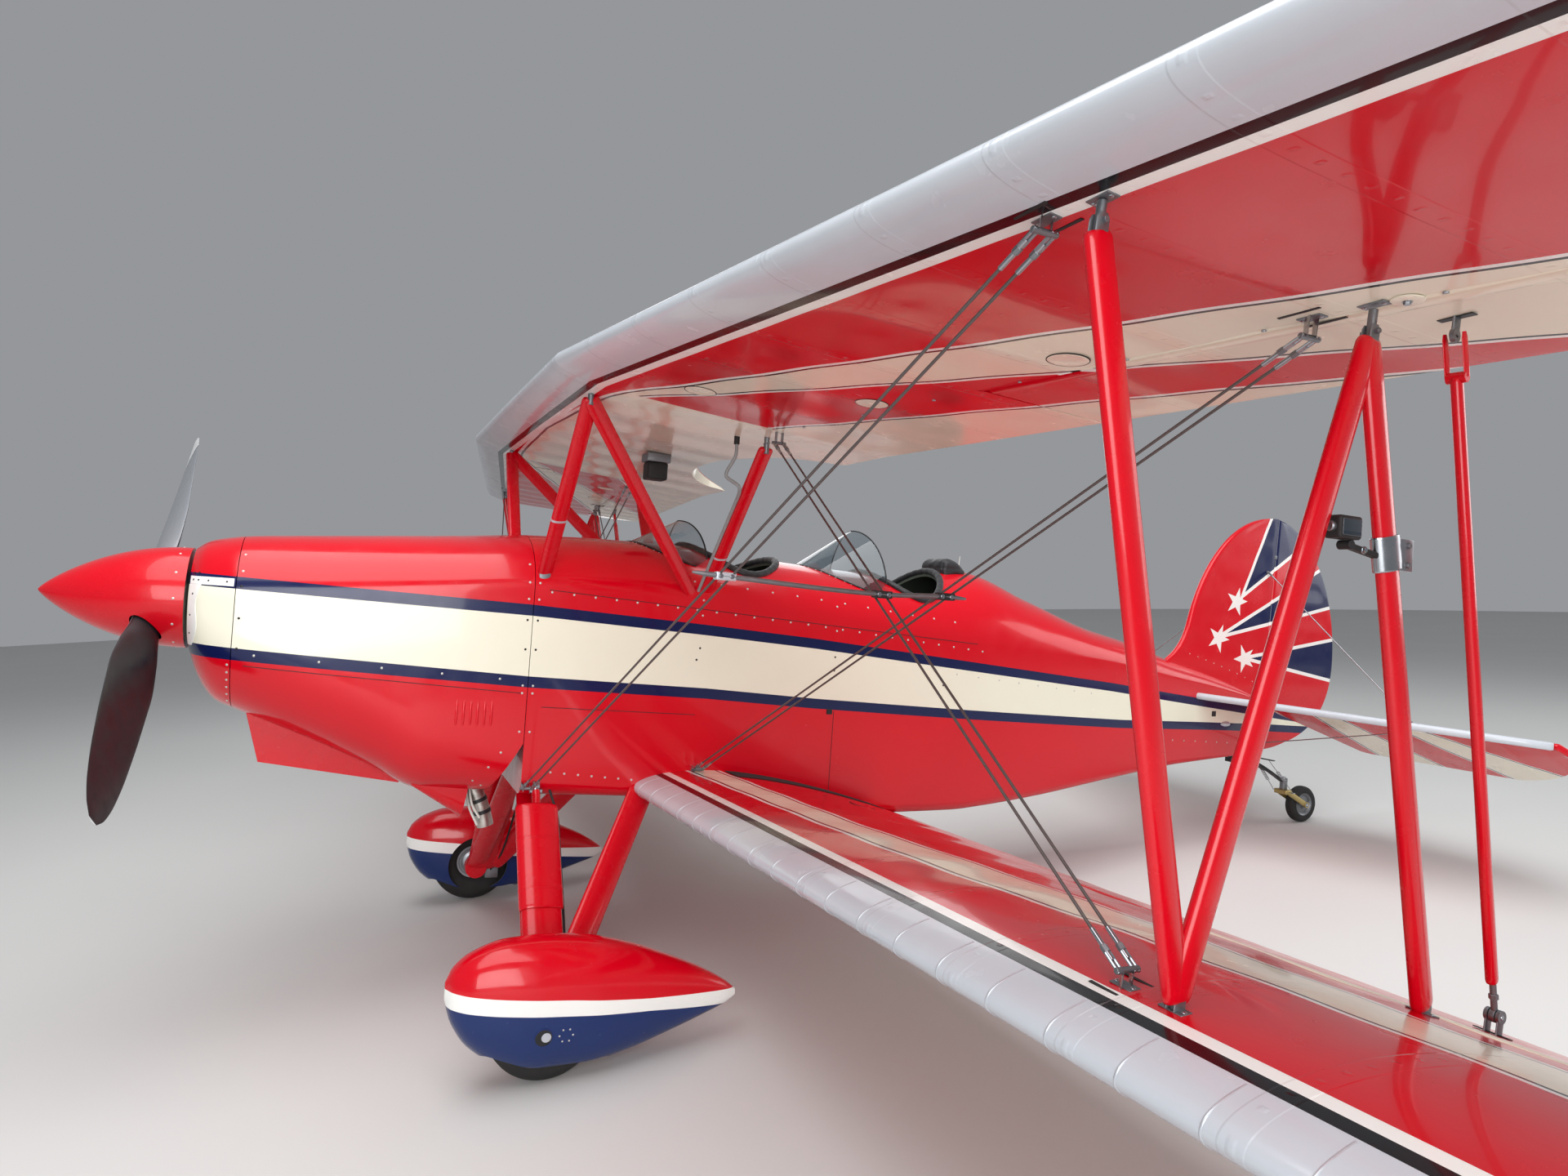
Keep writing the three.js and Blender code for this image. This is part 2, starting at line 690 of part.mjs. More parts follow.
function finOutline() {
  const shape = new THREE.Shape();
  shape.moveTo(4380, -120);
  shape.lineTo(4440, -40);
  shape.quadraticCurveTo(4560, 20, 4600, 160);
  shape.bezierCurveTo(4690, 560, 4950, 790, 5215, 790);
  shape.bezierCurveTo(5470, 780, 5762, 460, 5762, 0);
  shape.bezierCurveTo(5762, -300, 5560, -420, 5400, -462);
  shape.quadraticCurveTo(5300, -500, 5185, -508);
  shape.lineTo(5185, -300);
  shape.lineTo(5150, -280);
  shape.closePath();
  return shape;
}

const finDepth = tailThickness - 18;
const finPlate = new THREE.ExtrudeGeometry(finOutline(), { depth: finDepth, curveSegments: 6, ...bevelled });
const finWhole = placed(finPlate.translate(0, 0, -finDepth / 2), upright);
const rudderSplit = splitAtHinge(finWhole, {
  from: at(0, rudderFoot.y, rudderFoot.z),
  to: at(0, rudderHead.y, rudderHead.z),
  up: at(-1, 0, 0),
  nose: 15,
  noseStart: 14,
  noseEnd: 1270,
  endGap: 60,
  stations: [120, 560, 1080],
  armReach: 24,
});
const [footEye, ...postEyes] = rudderSplit.eyes;
const belowFin = block(at(-60, 5000, -700), at(60, 5400, -262));
add("fin", join(cut(rudderSplit.fixed, fuselageSkin, flatTail(seatGap), belowFin), ...postEyes), finish.red);
add("rudder", rudderSplit.moving, finish.red);

// Fuselage cut for the cabin, cockpits, tailplane and torque tube
const tubeHole = bar(onTail(-140, hingeRun, 0), onTail(140, hingeRun, 0), 40, 40, 12);
const tailSlot = flatTail(seatGap).intersect(
  block(at(-200, 4400, -400), at(200, tailplane.hingeY - 10, 0)),
);
const fuselage = cut(
  fuselageSolid,
  cabin,
  cockpitHole(cockpits.front),
  cockpitHole(cockpits.rear),
  tailSlot,
  tubeHole,
);
add("fuselage", join(fuselage, footEye), finish.red);

// Cockpit fittings: seats, instrument panels, screens, edge rolls and the headrest

const cabinStations = stationsBetween(fuselageStations, cabinStart + 1, cabinEnd - 1);
const cabinFit = bodyLoft(cabinStations, -fuselageWall - seatGap);

function seat({ y, panZ }) {
  const pan = block(at(-190, y - 60, panZ - 30), at(190, y + 175, panZ));
  const back = block(at(-190, y + 150, panZ - 1), at(190, y + 175, 40));
  const pedestal = block(at(-120, y - 20, -900), at(120, y + 140, panZ - 29));
  return join(pan, back, pedestal).intersect(cabinFit);
}

// Screen: a raked sheet from a curved foot on the deck up to an arched rim as wide as the opening
function screen({ halfWidth, screenFront, rimY, rimTop }) {
  const sheet = 4;
  const rimLean = 40;
  const cornerY = rimY + rimLean;
  const cornerZ = deckHeight(halfWidth, cornerY);
  const foot = (turn) => {
    const x = halfWidth * Math.sin(turn);
    const y = cornerY - (cornerY - screenFront) * Math.cos(turn);
    return at(x, y, deckHeight(x, y) - 14);
  };
  const rim = (turn) => at(
    halfWidth * Math.sin(turn),
    rimY + rimLean * Math.abs(Math.sin(turn)),
    cornerZ + (rimTop - cornerZ) * Math.cos(turn),
  );
  const rings = [];
  for (let i = 0; i <= 14; i += 1) {
    const turn = (-80 + (160 * i) / 14) * degree;
    const sideways = foot(turn + 0.01).sub(foot(turn - 0.01));
    const inward = rim(turn).sub(foot(turn)).cross(sideways).normalize().multiplyScalar(sheet);
    if (inward.z > 0) inward.negate();
    rings.push([foot(turn), rim(turn), rim(turn).add(inward), foot(turn).add(inward)]);
  }
  return cut(loft(rings), fuselageSkin);
}

// Edge roll: a padded ring lying on the deck round a cockpit's opening
function coaming({ y, halfLength, halfWidth }) {
  const radius = 17;
  const overlap = 6;
  const rings = Array.from({ length: 24 }, (_, i) => {
    const turn = (2 * Math.PI * i) / 24;
    const out = at(Math.cos(turn), Math.sin(turn), 0);
    const x = (halfWidth + overlap) * out.x;
    const along = y + (halfLength + overlap) * out.y;
    const middle = at(x, along, deckHeight(x, along) + 3);
    return Array.from({ length: 6 }, (__, k) => {
      const angle = (2 * Math.PI * k) / 6;
      return middle.clone()
        .addScaledVector(out, radius * Math.cos(angle))
        .add(at(0, 0, radius * Math.sin(angle)));
    });
  });
  return cut(loft(rings, true), fuselageSkin);
}

for (const [name, place] of Object.entries(cockpits)) {
  const panelY = place.y - place.halfLength - 24;
  add(`${name}_seat`, seat(place), finish.leather);
  const panel = block(at(-400, panelY, -80), at(400, panelY + 12, 400)).intersect(cabinFit);
  add(`${name}_instrument_panel`, panel, finish.darkMetal);
  add(`${name}_windshield`, screen(place), finish.screen);
  add(`${name}_coaming`, coaming(place), finish.leather);
}

const headrestSide = new THREE.Shape([
  new THREE.Vector2(2971, 200),
  new THREE.Vector2(2968, 335),
  new THREE.Vector2(2976, 368),
  new THREE.Vector2(3004, 382),
  new THREE.Vector2(3050, 372),
  new THREE.Vector2(3110, 326),
  new THREE.Vector2(3110, 200),
]);
add("headrest", cut(sideOn(headrestSide, 210), fuselageSkin), finish.leather);

// Centre section, wing panels and ailerons

const centreEnd = upperWing.kinkX + 0.4;
const cutout = new THREE.CylinderGeometry(1, 1, 400, 32);
const cutoutPlace = new THREE.Matrix4().makeRotationX(90 * degree);
cutoutPlace.premultiply(new THREE.Matrix4().makeScale(cutoutHalf, cutoutDepth, 1));
const centreTrailing = wingPoint(upperWing, 0, 1, 0);
cutoutPlace.setPosition(0, centreTrailing.y + 4, centreTrailing.z);
const centreGrown = wingLoft(upperWing, -centreEnd, centreEnd, seatGap);
const centreSection = cut(wingLoft(upperWing, -centreEnd, centreEnd), placed(cutout, cutoutPlace));
add("upper_center_section", centreSection, finish.red);

const upperGrown = wingLoft(upperWing, upperWing.rootX, semiSpan, seatGap);
const lowerGrown = wingLoft(lowerWing, lowerWing.rootX, semiSpan, seatGap);
const hornX = 2848;
const hornShare = { upper: 0.765, lower: 0.755 };
const hornHeight = { upper: -46, lower: 88 };
const eyeRadius = 12;

function aileronAxis(wing) {
  const middle = 25;
  const from = wingPoint(wing, aileronInner, aileronHinge, middle);
  const to = wingPoint(wing, aileronOuter, aileronHinge, middle);
  const length = from.distanceTo(to);
  return { from, to, up: at(0, 0, 1), nose: 47, endGap: runGap, stations: [170, length - 170], armReach: 26 };
}

// Axis of an aileron as a unit vector out to port
const hingeLine = ({ from, to }) => to.clone().sub(from).normalize();

const upperHinge = aileronAxis(upperWing);
const lowerHinge = aileronAxis(lowerWing);
const upperSplit = splitAtHinge(wingLoft(upperWing, upperWing.rootX, semiSpan), upperHinge);
const lowerPanel = cut(wingLoft(lowerWing, lowerWing.rootX, semiSpan), fuselageSkin);
const lowerSplit = splitAtHinge(lowerPanel, lowerHinge);
addPair("upper_wing", join(upperSplit.fixed, ...upperSplit.eyes), finish.red);
addPair("lower_wing", join(lowerSplit.fixed, ...lowerSplit.eyes), finish.red);

// Slave strut between the ailerons: pinned in two cheeks on the lower one, and straddling
// a single lug on the upper one
const lowerPin = wingPoint(lowerWing, hornX, hornShare.lower, hornHeight.lower);
const upperPin = wingPoint(upperWing, hornX, hornShare.upper, hornHeight.upper);
const lowerRoot = wingPoint(lowerWing, hornX, hornShare.lower, 20);
const upperRoot = wingPoint(upperWing, hornX, hornShare.upper, 10);
const lowerLine = hingeLine(lowerHinge);
const upperLine = hingeLine(upperHinge);
const beside = (point, line, offset) => point.clone().addScaledVector(line, offset);
const across = (point, line, start, end, radius, sides = 8) => bar(
  beside(point, line, start),
  beside(point, line, end),
  2 * radius,
  2 * radius,
  sides,
);
const cheek = (pin, root, line, offset, thick) => join(
  across(pin, line, offset - thick / 2, offset + thick / 2, eyeRadius),
  bar(beside(pin, line, offset), beside(root, line, offset), 22, thick, 8),
);
const lowerCheeks = join(
  cheek(lowerPin, lowerRoot, lowerLine, -10, 6),
  cheek(lowerPin, lowerRoot, lowerLine, 10, 6),
  across(lowerPin, lowerLine, -13, 13, 4.5),
);
addPair("lower_aileron", join(lowerSplit.moving, lowerCheeks), finish.red);
addPair("upper_aileron", join(upperSplit.moving, cheek(upperPin, upperRoot, upperLine, 0, 8)), finish.red);

const slaveLine = upperPin.clone().sub(lowerPin).normalize();
const slaveFoot = lowerPin.clone().addScaledVector(slaveLine, 60);
const slaveCore = lowerPin.clone().addScaledVector(slaveLine, 90);
const slaveHead = upperPin.clone().addScaledVector(slaveLine, -72);
const slaveEye = cut(
  join(across(lowerPin, lowerLine, -5, 5, eyeRadius), bar(lowerPin, slaveCore, 16, 9, 8)),
  across(lowerPin, lowerLine, -8, 8, 5.2),
);
const prong = (offset) => {
  const [head, pin] = [slaveHead, upperPin].map((point) => beside(point, upperLine, offset));
  return bar(head, pin, 20, 5, 8);
};
const yoke = across(slaveHead, upperLine, -16, 16, 12);
addPair(
  "aileron_strut",
  join(bar(slaveFoot, slaveHead, 28, 17, 12), slaveEye, yoke, prong(-15), prong(15)),
  finish.red,
);

// Interplane struts: an N on each side, as a front strut joined to a diagonal, and a rear strut

const interplane = {
  topFront: wingPoint(upperWing, strutX, frontSpar, -91),
  topRear: wingPoint(upperWing, strutX, rearSpar, -84),
  footFront: wingPoint(lowerWing, strutX, frontSpar, 92),
  footRear: wingPoint(lowerWing, strutX, rearSpar, 82),
};
const strutChord = 54;
const strutThick = 24;
const strut = (from, to, grow = 0) => bar(from, to, strutChord + grow, strutThick + grow, 12);
const lug = (end, wing, share) => bar(end, wingPoint(wing, end.x, share, 0), 20, 20, 8);
const vee = join(
  strut(interplane.topFront, interplane.footFront),
  strut(interplane.topRear, interplane.footFront),
  lug(interplane.topFront, upperWing, frontSpar),
  lug(interplane.footFront, lowerWing, frontSpar),
);
const rearStrut = join(
  strut(interplane.topRear, interplane.footRear),
  lug(interplane.topRear, upperWing, rearSpar),
  lug(interplane.footRear, lowerWing, rearSpar),
);
const rearRoom = join(
  strut(interplane.topRear, interplane.footRear, 1),
  bar(interplane.topRear, wingPoint(upperWing, strutX, rearSpar, 0), 21, 21, 8),
);
addPair("interplane_vee", cut(vee, upperGrown, lowerGrown, rearRoom), finish.red);
addPair("interplane_strut_rear", cut(rearStrut, upperGrown, lowerGrown), finish.red);

// Cabane struts carry the centre section

const cabane = {
  frontTop: at(798, 1147, 731),
  rearTop: at(798, 1764, 652),
  frontFoot: at(318, 1131, 169),
  middleFoot: at(322, 1708, 114),
  rearFoot: at(314, 1745, 121),
};
const spigot = (top) => bar(top, top.clone().add(at(0, 0, 70)), 20, 20, 8);
const cabaneRear = join(strut(cabane.rearTop, cabane.rearFoot), spigot(cabane.rearTop));
const cabaneVee = join(
  strut(cabane.frontTop, cabane.frontFoot),
  strut(cabane.frontTop, cabane.middleFoot),
  spigot(cabane.frontTop),
);
const cabaneRoom = strut(cabane.rearTop, cabane.rearFoot, 1);
addPair("cabane_vee", cut(cabaneVee, centreGrown, fuselageSkin, cabaneRoom), finish.red);
addPair("cabane_strut_rear", cut(cabaneRear, centreGrown, fuselageSkin), finish.red);

// Main wires, in pairs joined by their end fittings

const wireRadius = 3.5;
const pairSpacing = 34;

function wirePair(from, to, fromRoot, toRoot) {
  const half = at(0, pairSpacing / 2, 0);
  const wires = [-1, 1].map((sign) => bar(
    from.clone().addScaledVector(half, sign),
    to.clone().addScaledVector(half, sign),
    2 * wireRadius,
    2 * wireRadius,
    6,
  ));
  const ends = [from, to].map((end) => bar(
    end.clone().addScaledVector(half, -1.3),
    end.clone().addScaledVector(half, 1.3),
    14,
    14,
    8,
    at(1, 0, 0),
  ));
  const roots = [[from, fromRoot], [to, toRoot]].map(([end, root]) => bar(end, root, 14, 14, 8));
  return cut(join(...wires, ...ends, ...roots), fuselageSkin, upperGrown, lowerGrown, centreGrown);
}

// columns: name, inner end, its root, outer end as wing, share and height
const wireTable = [
  ["front_flying_wires", at(384, 1112, -594), at(320, 1112, -588), upperWing, frontSpar, -62],
  ["rear_flying_wires", at(390, 1744, -528), at(330, 1744, -528), upperWing, rearSpar, -58],
  ["landing_wires", at(930, 1752, 652), at(930, 1752, 720), lowerWing, frontSpar, 104],
];
for (const [name, inner, innerRoot, wing, share, height] of wireTable) {
  const outer = wingPoint(wing, wireX, share, height);
  addPair(name, wirePair(inner, outer, innerRoot, wingPoint(wing, wireX, share, 0)), finish.steel);
}

// Main gear: three faired legs to a knuckle on each side, an axle, a wheel and its spat

const wheelCentre = at(mainWheel.x, mainWheel.y, mainWheel.z);
const knuckle = at(780, mainWheel.y, mainWheel.z);
const frontLegFoot = at(780, mainWheel.y + 28, mainWheel.z);
const rearLegFoot = at(772, mainWheel.y + 66, mainWheel.z + 14);
const legTops = { front: at(345, 1152, -610), rear: at(345, 1545, -610), inner: at(120, 1160, -600) };
const shroudStart = legTops.front.clone().lerp(frontLegFoot, 0.08);
const shroudEnd = legTops.front.clone().lerp(frontLegFoot, 0.6);
const gear = join(
  bar(legTops.front, shroudEnd, 30, 30, 8),
  bar(shroudEnd, frontLegFoot, 134, 46, 12),
  bar(shroudStart, shroudEnd, 150, 64, 12),
  bar(legTops.rear, rearLegFoot, 100, 34, 10),
  bar(legTops.inner, knuckle, 90, 34, 10),
  bar(at(752, knuckle.y, knuckle.z), at(812, knuckle.y, knuckle.z), 96, 96, 14),
);
addPair("landing_gear", cut(gear, fuselageSkin, lowerGrown), finish.red);

const axleRadius = 17;

const bore = axleRadius + 0.6;
const wheelHalf = [[bore, 44], [mainWheel.rim, 44], [mainWheel.rim + 20, 56], [142, 61], [172, 34]];
const wheelProfile = [
  ...wheelHalf.map(([radius, out]) => [radius, -out]),
  [mainWheel.radius, 0],
  ...wheelHalf.reverse(),
  [bore, -44],
];
addPair("wheel", turned(wheelProfile, 28, wheelCentre, at(1, 0, 0)), finish.tyre);

// columns: y, half width, top z, bottom z
const spatStations = [
  [822, 12, -1050, -1100],
  [842, 48, -1012, -1165],
  [895, 84, -972, -1240],
  [990, 108, -942, -1300],
  [1100, 118, -936, -1328],
  [1230, 118, -946, -1326],
  [1370, 104, -978, -1300],
  [1500, 80, -1024, -1262],
  [1620, 51, -1076, -1224],
  [1700, 27, -1122, -1196],
  [1738, 9, -1152, -1176],
];
function spatLoft(shrink) {
  const rows = shrink ? spatStations.slice(1, -2) : spatStations;
  return loft(rows.map(([y, half, top, bottom]) => Array.from({ length: 16 }, (_, i) => {
    const angle = (2 * Math.PI * i) / 16;
    const [cosine, sine] = [Math.cos(angle), Math.sin(angle)];
    const fuller = (value) => Math.sign(value) * Math.abs(value) ** 0.76;
    return at(
      mainWheel.x + (half - shrink) * fuller(cosine),
      y,
      (top + bottom) / 2 + ((top - bottom) / 2 - shrink) * fuller(sine),
    );
  })));
}
const wheelWell = block(at(836, 925, -1400), at(984, 1320, -1236));
const brakeHole = bar(at(760, knuckle.y + 14, knuckle.z), at(880, knuckle.y + 14, knuckle.z), 262, 262, 18);
const spat = cut(spatLoft(0), spatLoft(6), wheelWell, brakeHole);
addPair("wheel_spat", spat, finish.red);
const axle = bar(at(812.4, knuckle.y, knuckle.z), at(1021, knuckle.y, knuckle.z), 34, 34, 14);
addPair("axle", cut(axle, spat.translate([-seatGap, 0, 0])), finish.steel);

// Tail brace: an upper and a lower wire meeting at a bolt through the stabiliser

const boltTop = onTail(braceX, braceRun, 30);
const boltFoot = onTail(braceX, braceRun, -30);
const finEnd = at(28, 5160, 486);
const keelEnd = at(62, 5085, -462);
const washer = (start, end) => {
  const [foot, head] = [start, end].map((height) => onTail(braceX, braceRun, height));
  return bar(foot, head, 24, 24, 10, at(1, 0, 0));
};
const half = tailThickness / 2;
const brace = join(
  bar(boltTop, finEnd, 7, 7, 6),
  bar(boltFoot, keelEnd, 7, 7, 6),
  bar(boltTop, boltFoot, 8, 8, 8, at(1, 0, 0)),
  washer(half + seatGap, half + 6),
  washer(-half - 6, -half - seatGap),
  bar(finEnd, at(tailThickness / 2 + seatGap, finEnd.y, finEnd.z), 16, 16, 8),
  bar(keelEnd, at(20, keelEnd.y, keelEnd.z), 16, 16, 8),
);
addPair("tail_brace", cut(brace, fuselageSkin), finish.steel);

// Tail wheel on a leaf spring, with a swivelling fork

const swivel = { y: 5418, top: -668, foot: -728 };
const springSide = new THREE.Shape([
  new THREE.Vector2(4960, -515),
  new THREE.Vector2(5130, -505),
  new THREE.Vector2(5130, -546),
  new THREE.Vector2(5300, -618),
  new THREE.Vector2(swivel.y, -682),
  new THREE.Vector2(swivel.y, -700),
  new THREE.Vector2(5290, -634),
  new THREE.Vector2(5120, -562),
  new THREE.Vector2(4960, -545),
]);
const onSwivel = (z) => at(0, swivel.y, z);
const sleeveBore = bar(onSwivel(swivel.top + 5), onSwivel(swivel.foot - 5), 22, 22, 12, at(1, 0, 0));
const sleeve = bar(onSwivel(swivel.top), onSwivel(swivel.foot), 40, 40, 14, at(1, 0, 0));
const leaf = cut(sideOn(springSide, 40), fuselageSkin);
add("tail_spring", cut(join(leaf, sleeve), sleeveBore), finish.darkMetal);

const tailHub = at(0, tailWheel.y, tailWheel.z);
const armX = tailWheel.width / 2 + 10;
const onAxle = (x) => at(x, tailWheel.y, tailWheel.z);
const crownLow = at(-armX - 5, swivel.y - 26, swivel.foot - 28);
const crown = block(crownLow, at(armX + 5, swivel.y + 26, swivel.foot - 1));
const kingPin = bar(onSwivel(swivel.top + 8), onSwivel(swivel.foot - 8), 19, 19, 12, at(1, 0, 0));
const arms = [-1, 1].map((side) => join(
  bar(at(side * armX, swivel.y + 6, swivel.foot - 18), onAxle(side * armX), 30, 9, 10),
  bar(onAxle(side * (armX - 4)), onAxle(side * (armX + 8)), 34, 34, 12),
));
const tailAxle = bar(onAxle(-armX), onAxle(armX), 16, 16, 10);
add("tail_wheel_fork", join(crown, kingPin, ...arms, tailAxle), finish.steel);

const halfTread = tailWheel.width / 2;
const tailProfile = [
  [8.6, -halfTread], [88, -halfTread], [tailWheel.radius, -12], [tailWheel.radius, 12],
  [88, halfTread], [8.6, halfTread], [8.6, -halfTread],
];
add("tail_wheel", turned(tailProfile, 20, tailHub, at(1, 0, 0)), finish.tyre);

// Aeroplane on its wheels: the tip that brings the main and tail wheels to one floor

const run = tailWheel.y - mainWheel.y;
const fall = mainWheel.z - tailWheel.z;
const sizeStep = Math.asin((mainWheel.radius - tailWheel.radius) / Math.hypot(run, fall));
const groundAngle = sizeStep - Math.atan2(fall, run);
aeroplane.rotation.x = -groundAngle;

const whole = new THREE.Group();
whole.add(aeroplane);
aeroplane.updateMatrixWorld(true);
const bounds = new THREE.Box3().setFromObject(aeroplane, true);
aeroplane.position.y = -(bounds.min.y + bounds.max.y) / 2;
aeroplane.position.z = -bounds.min.z;

export default whole;
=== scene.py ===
import json
import math
import bpy
import numpy as np
from mathutils import Matrix

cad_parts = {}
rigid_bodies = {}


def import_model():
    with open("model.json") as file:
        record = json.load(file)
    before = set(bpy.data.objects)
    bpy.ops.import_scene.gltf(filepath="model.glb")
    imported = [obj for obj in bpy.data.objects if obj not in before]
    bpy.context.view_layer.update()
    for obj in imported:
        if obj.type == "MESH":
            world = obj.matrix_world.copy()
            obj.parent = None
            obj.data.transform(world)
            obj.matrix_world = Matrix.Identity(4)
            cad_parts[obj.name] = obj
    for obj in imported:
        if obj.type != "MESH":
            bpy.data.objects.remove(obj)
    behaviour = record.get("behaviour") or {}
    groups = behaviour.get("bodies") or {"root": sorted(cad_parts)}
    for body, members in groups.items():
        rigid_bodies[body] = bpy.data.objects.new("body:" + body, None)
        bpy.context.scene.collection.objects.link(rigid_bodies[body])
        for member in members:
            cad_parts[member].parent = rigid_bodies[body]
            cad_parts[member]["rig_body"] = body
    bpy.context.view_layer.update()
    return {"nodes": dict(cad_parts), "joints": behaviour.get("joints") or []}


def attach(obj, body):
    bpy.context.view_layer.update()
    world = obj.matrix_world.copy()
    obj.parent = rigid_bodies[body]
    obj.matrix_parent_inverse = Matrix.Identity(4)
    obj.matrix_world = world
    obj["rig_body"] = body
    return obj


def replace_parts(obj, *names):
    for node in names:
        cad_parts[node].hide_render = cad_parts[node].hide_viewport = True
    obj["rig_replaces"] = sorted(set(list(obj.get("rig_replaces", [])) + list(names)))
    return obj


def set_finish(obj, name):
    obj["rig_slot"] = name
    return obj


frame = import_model()
print("frame loaded:", len(frame["nodes"]), "nodes")

# Every shape is worked out in the aeroplane's own frame, in metres: x to port, y aft, z up
# from the centre of the spinner's back plate. Two wheel joints say how that frame stands.
ownPlaces = {"wheel": (0.91, 1.12, -1.185), "tailWheel": (0, 5.565, -0.815)}
jointPlace = {joint["name"]: np.array(joint["pos_m"], float) for joint in frame["joints"]}
ownReach = np.subtract(ownPlaces["tailWheel"], ownPlaces["wheel"])
shownReach = jointPlace["tail_wheel_roll"] - jointPlace["wheel_left_roll"]
noseUp = math.atan2(shownReach[2], shownReach[1]) - math.atan2(ownReach[2], ownReach[1])
tipped = np.array([
    [1, 0, 0], [0, math.cos(noseUp), -math.sin(noseUp)], [0, math.sin(noseUp), math.cos(noseUp)],
])
moved = jointPlace["wheel_left_roll"] - tipped @ np.array(ownPlaces["wheel"])
degree = math.pi / 180


def unit(vectors):
    # each vector over its length
    return vectors / np.maximum(np.linalg.norm(vectors, axis=-1, keepdims=True), 1e-12)


def smoothTable(rows, at):
    # monotone cubic through the rows: Hermite pieces whose slopes are harmonic means of the steps
    rows = np.asarray(rows, float)
    x, v = rows[:, 0], rows[:, 1:]
    step = np.diff(x)[:, None]
    rise = np.diff(v, axis=0) / step
    product = rise[1:] * rise[:-1]
    middle = np.where(product > 0, 2 * product / np.where(product > 0, rise[1:] + rise[:-1], 1), 0)
    slope = np.vstack([rise[:1], middle, rise[-1:]])
    i = np.clip(np.searchsorted(x, at, side="right") - 1, 0, len(x) - 2)
    s, h = ((at - x[i]) / step[i, 0])[:, None], step[i]
    return (v[i] * (1 + 2 * s) * (1 - s) ** 2 + slope[i] * h * s * (1 - s) ** 2
            + v[i + 1] * s * s * (3 - 2 * s) + slope[i + 1] * h * s * s * (s - 1))


def outward(points, faces):
    # turns faces round where the volume, a sixth of the sum of a . (b x c), comes out negative
    a, b, c = (points[faces[:, k]] for k in range(3))
    d = points[np.where(faces[:, 3] < 0, faces[:, 0], faces[:, 3])]
    if (a * np.cross(b, c)).sum() + (a * np.cross(c, d)).sum() >= 0:
        return points, faces
    turned = faces[:, ::-1].copy()
    three = faces[:, 3] < 0
    turned[three] = np.column_stack([faces[three][:, 2::-1], np.full(three.sum(), -1)])
    return points, turned


def skin(rings, loop=False):
    # closed skin through rings of points: a face between neighbours, a fan closing each end ring
    rings = np.asarray(rings, float)
    count, around = rings.shape[:2]
    points = rings.reshape(-1, 3)
    r = np.arange(count if loop else count - 1)[:, None]
    c = np.arange(around)[None]
    r2, c2 = (r + 1) % count, (c + 1) % around
    corners = [r * around + c, r * around + c2, r2 * around + c2, r2 * around + c]
    faces = np.stack(corners, -1).reshape(-1, 4)
    if not loop:
        middles = np.array([rings[0].mean(0), rings[-1].mean(0)])
        one, two = c[0], c2[0]
        first = np.column_stack([two, one, np.full(around, len(points)), np.full(around, -1)])
        tail = (count - 1) * around
        last = np.column_stack([
            one + tail, two + tail, np.full(around, len(points) + 1), np.full(around, -1)])
        points = np.vstack([points, middles])
        faces = np.vstack([faces, first, last])
    return outward(points, faces)


def capped(rows):
    # values for the points of a skin: the rows one after the other, then the mean of each end row
    return np.vstack([rows.reshape(-1, rows.shape[-1]), rows[0].mean(0), rows[-1].mean(0)])


def bothHalves(half):
    # a profile and its mirror image, with a row at the middle kept once
    half = np.array(half)
    return np.vstack([half, half[-2 if half[-1, 1] == 0 else -1::-1] * (1, -1)])


def frameAlong(tangent, up):
    # two directions across a tangent: up x t, and t x that
    side = unit(np.cross(np.broadcast_to(up, tangent.shape), tangent))
    return side, np.cross(tangent, side)


def tube(path, radius, sides=16, up=(0, 0, 1), flat=1, loop=False):
    # circle carried along a path: p + r (cos t side + flat sin t across)
    path = np.asarray(path, float)
    ahead = np.roll(path, -1, 0) - np.roll(path, 1, 0) if loop else np.gradient(path, axis=0)
    side, across = frameAlong(unit(ahead), np.asarray(up, float))
    t = np.linspace(0, 2 * np.pi, sides, endpoint=False)
    r = np.broadcast_to(radius, len(path))[:, None, None]
    rings = path[:, None] + r * (
        np.cos(t)[None, :, None] * side[:, None] + flat * np.sin(t)[None, :, None] * across[:, None])
    return skin(rings, loop)


def smoothPath(points, count):
    # smooth curve through points, spaced evenly along its chord length
    points = np.asarray(points, float)
    length = np.concatenate([[0], np.linalg.norm(np.diff(points, axis=0), axis=1).cumsum()])
    return smoothTable(np.column_stack([length, points]), np.linspace(0, length[-1], count))


def lathe(profile, centre=(0, 0, 0), axis=(0, 0, 1), sides=64, loop=False):
    # profile of (radius, distance) turned round an axis: c + d a + r (cos t u + sin t v)
    profile = np.asarray(profile, float)
    a = unit(np.asarray(axis, float))
    u = unit(np.cross(a, (0.36, 0.48, 0.8)))
    v = np.cross(a, u)
    t = np.linspace(0, 2 * np.pi, sides, endpoint=False)
    spoke = np.cos(t)[:, None] * u + np.sin(t)[:, None] * v
    rings = np.asarray(centre) + profile[:, None, 1:] * a + profile[:, None, :1] * spoke[None]
    return skin(rings, loop)


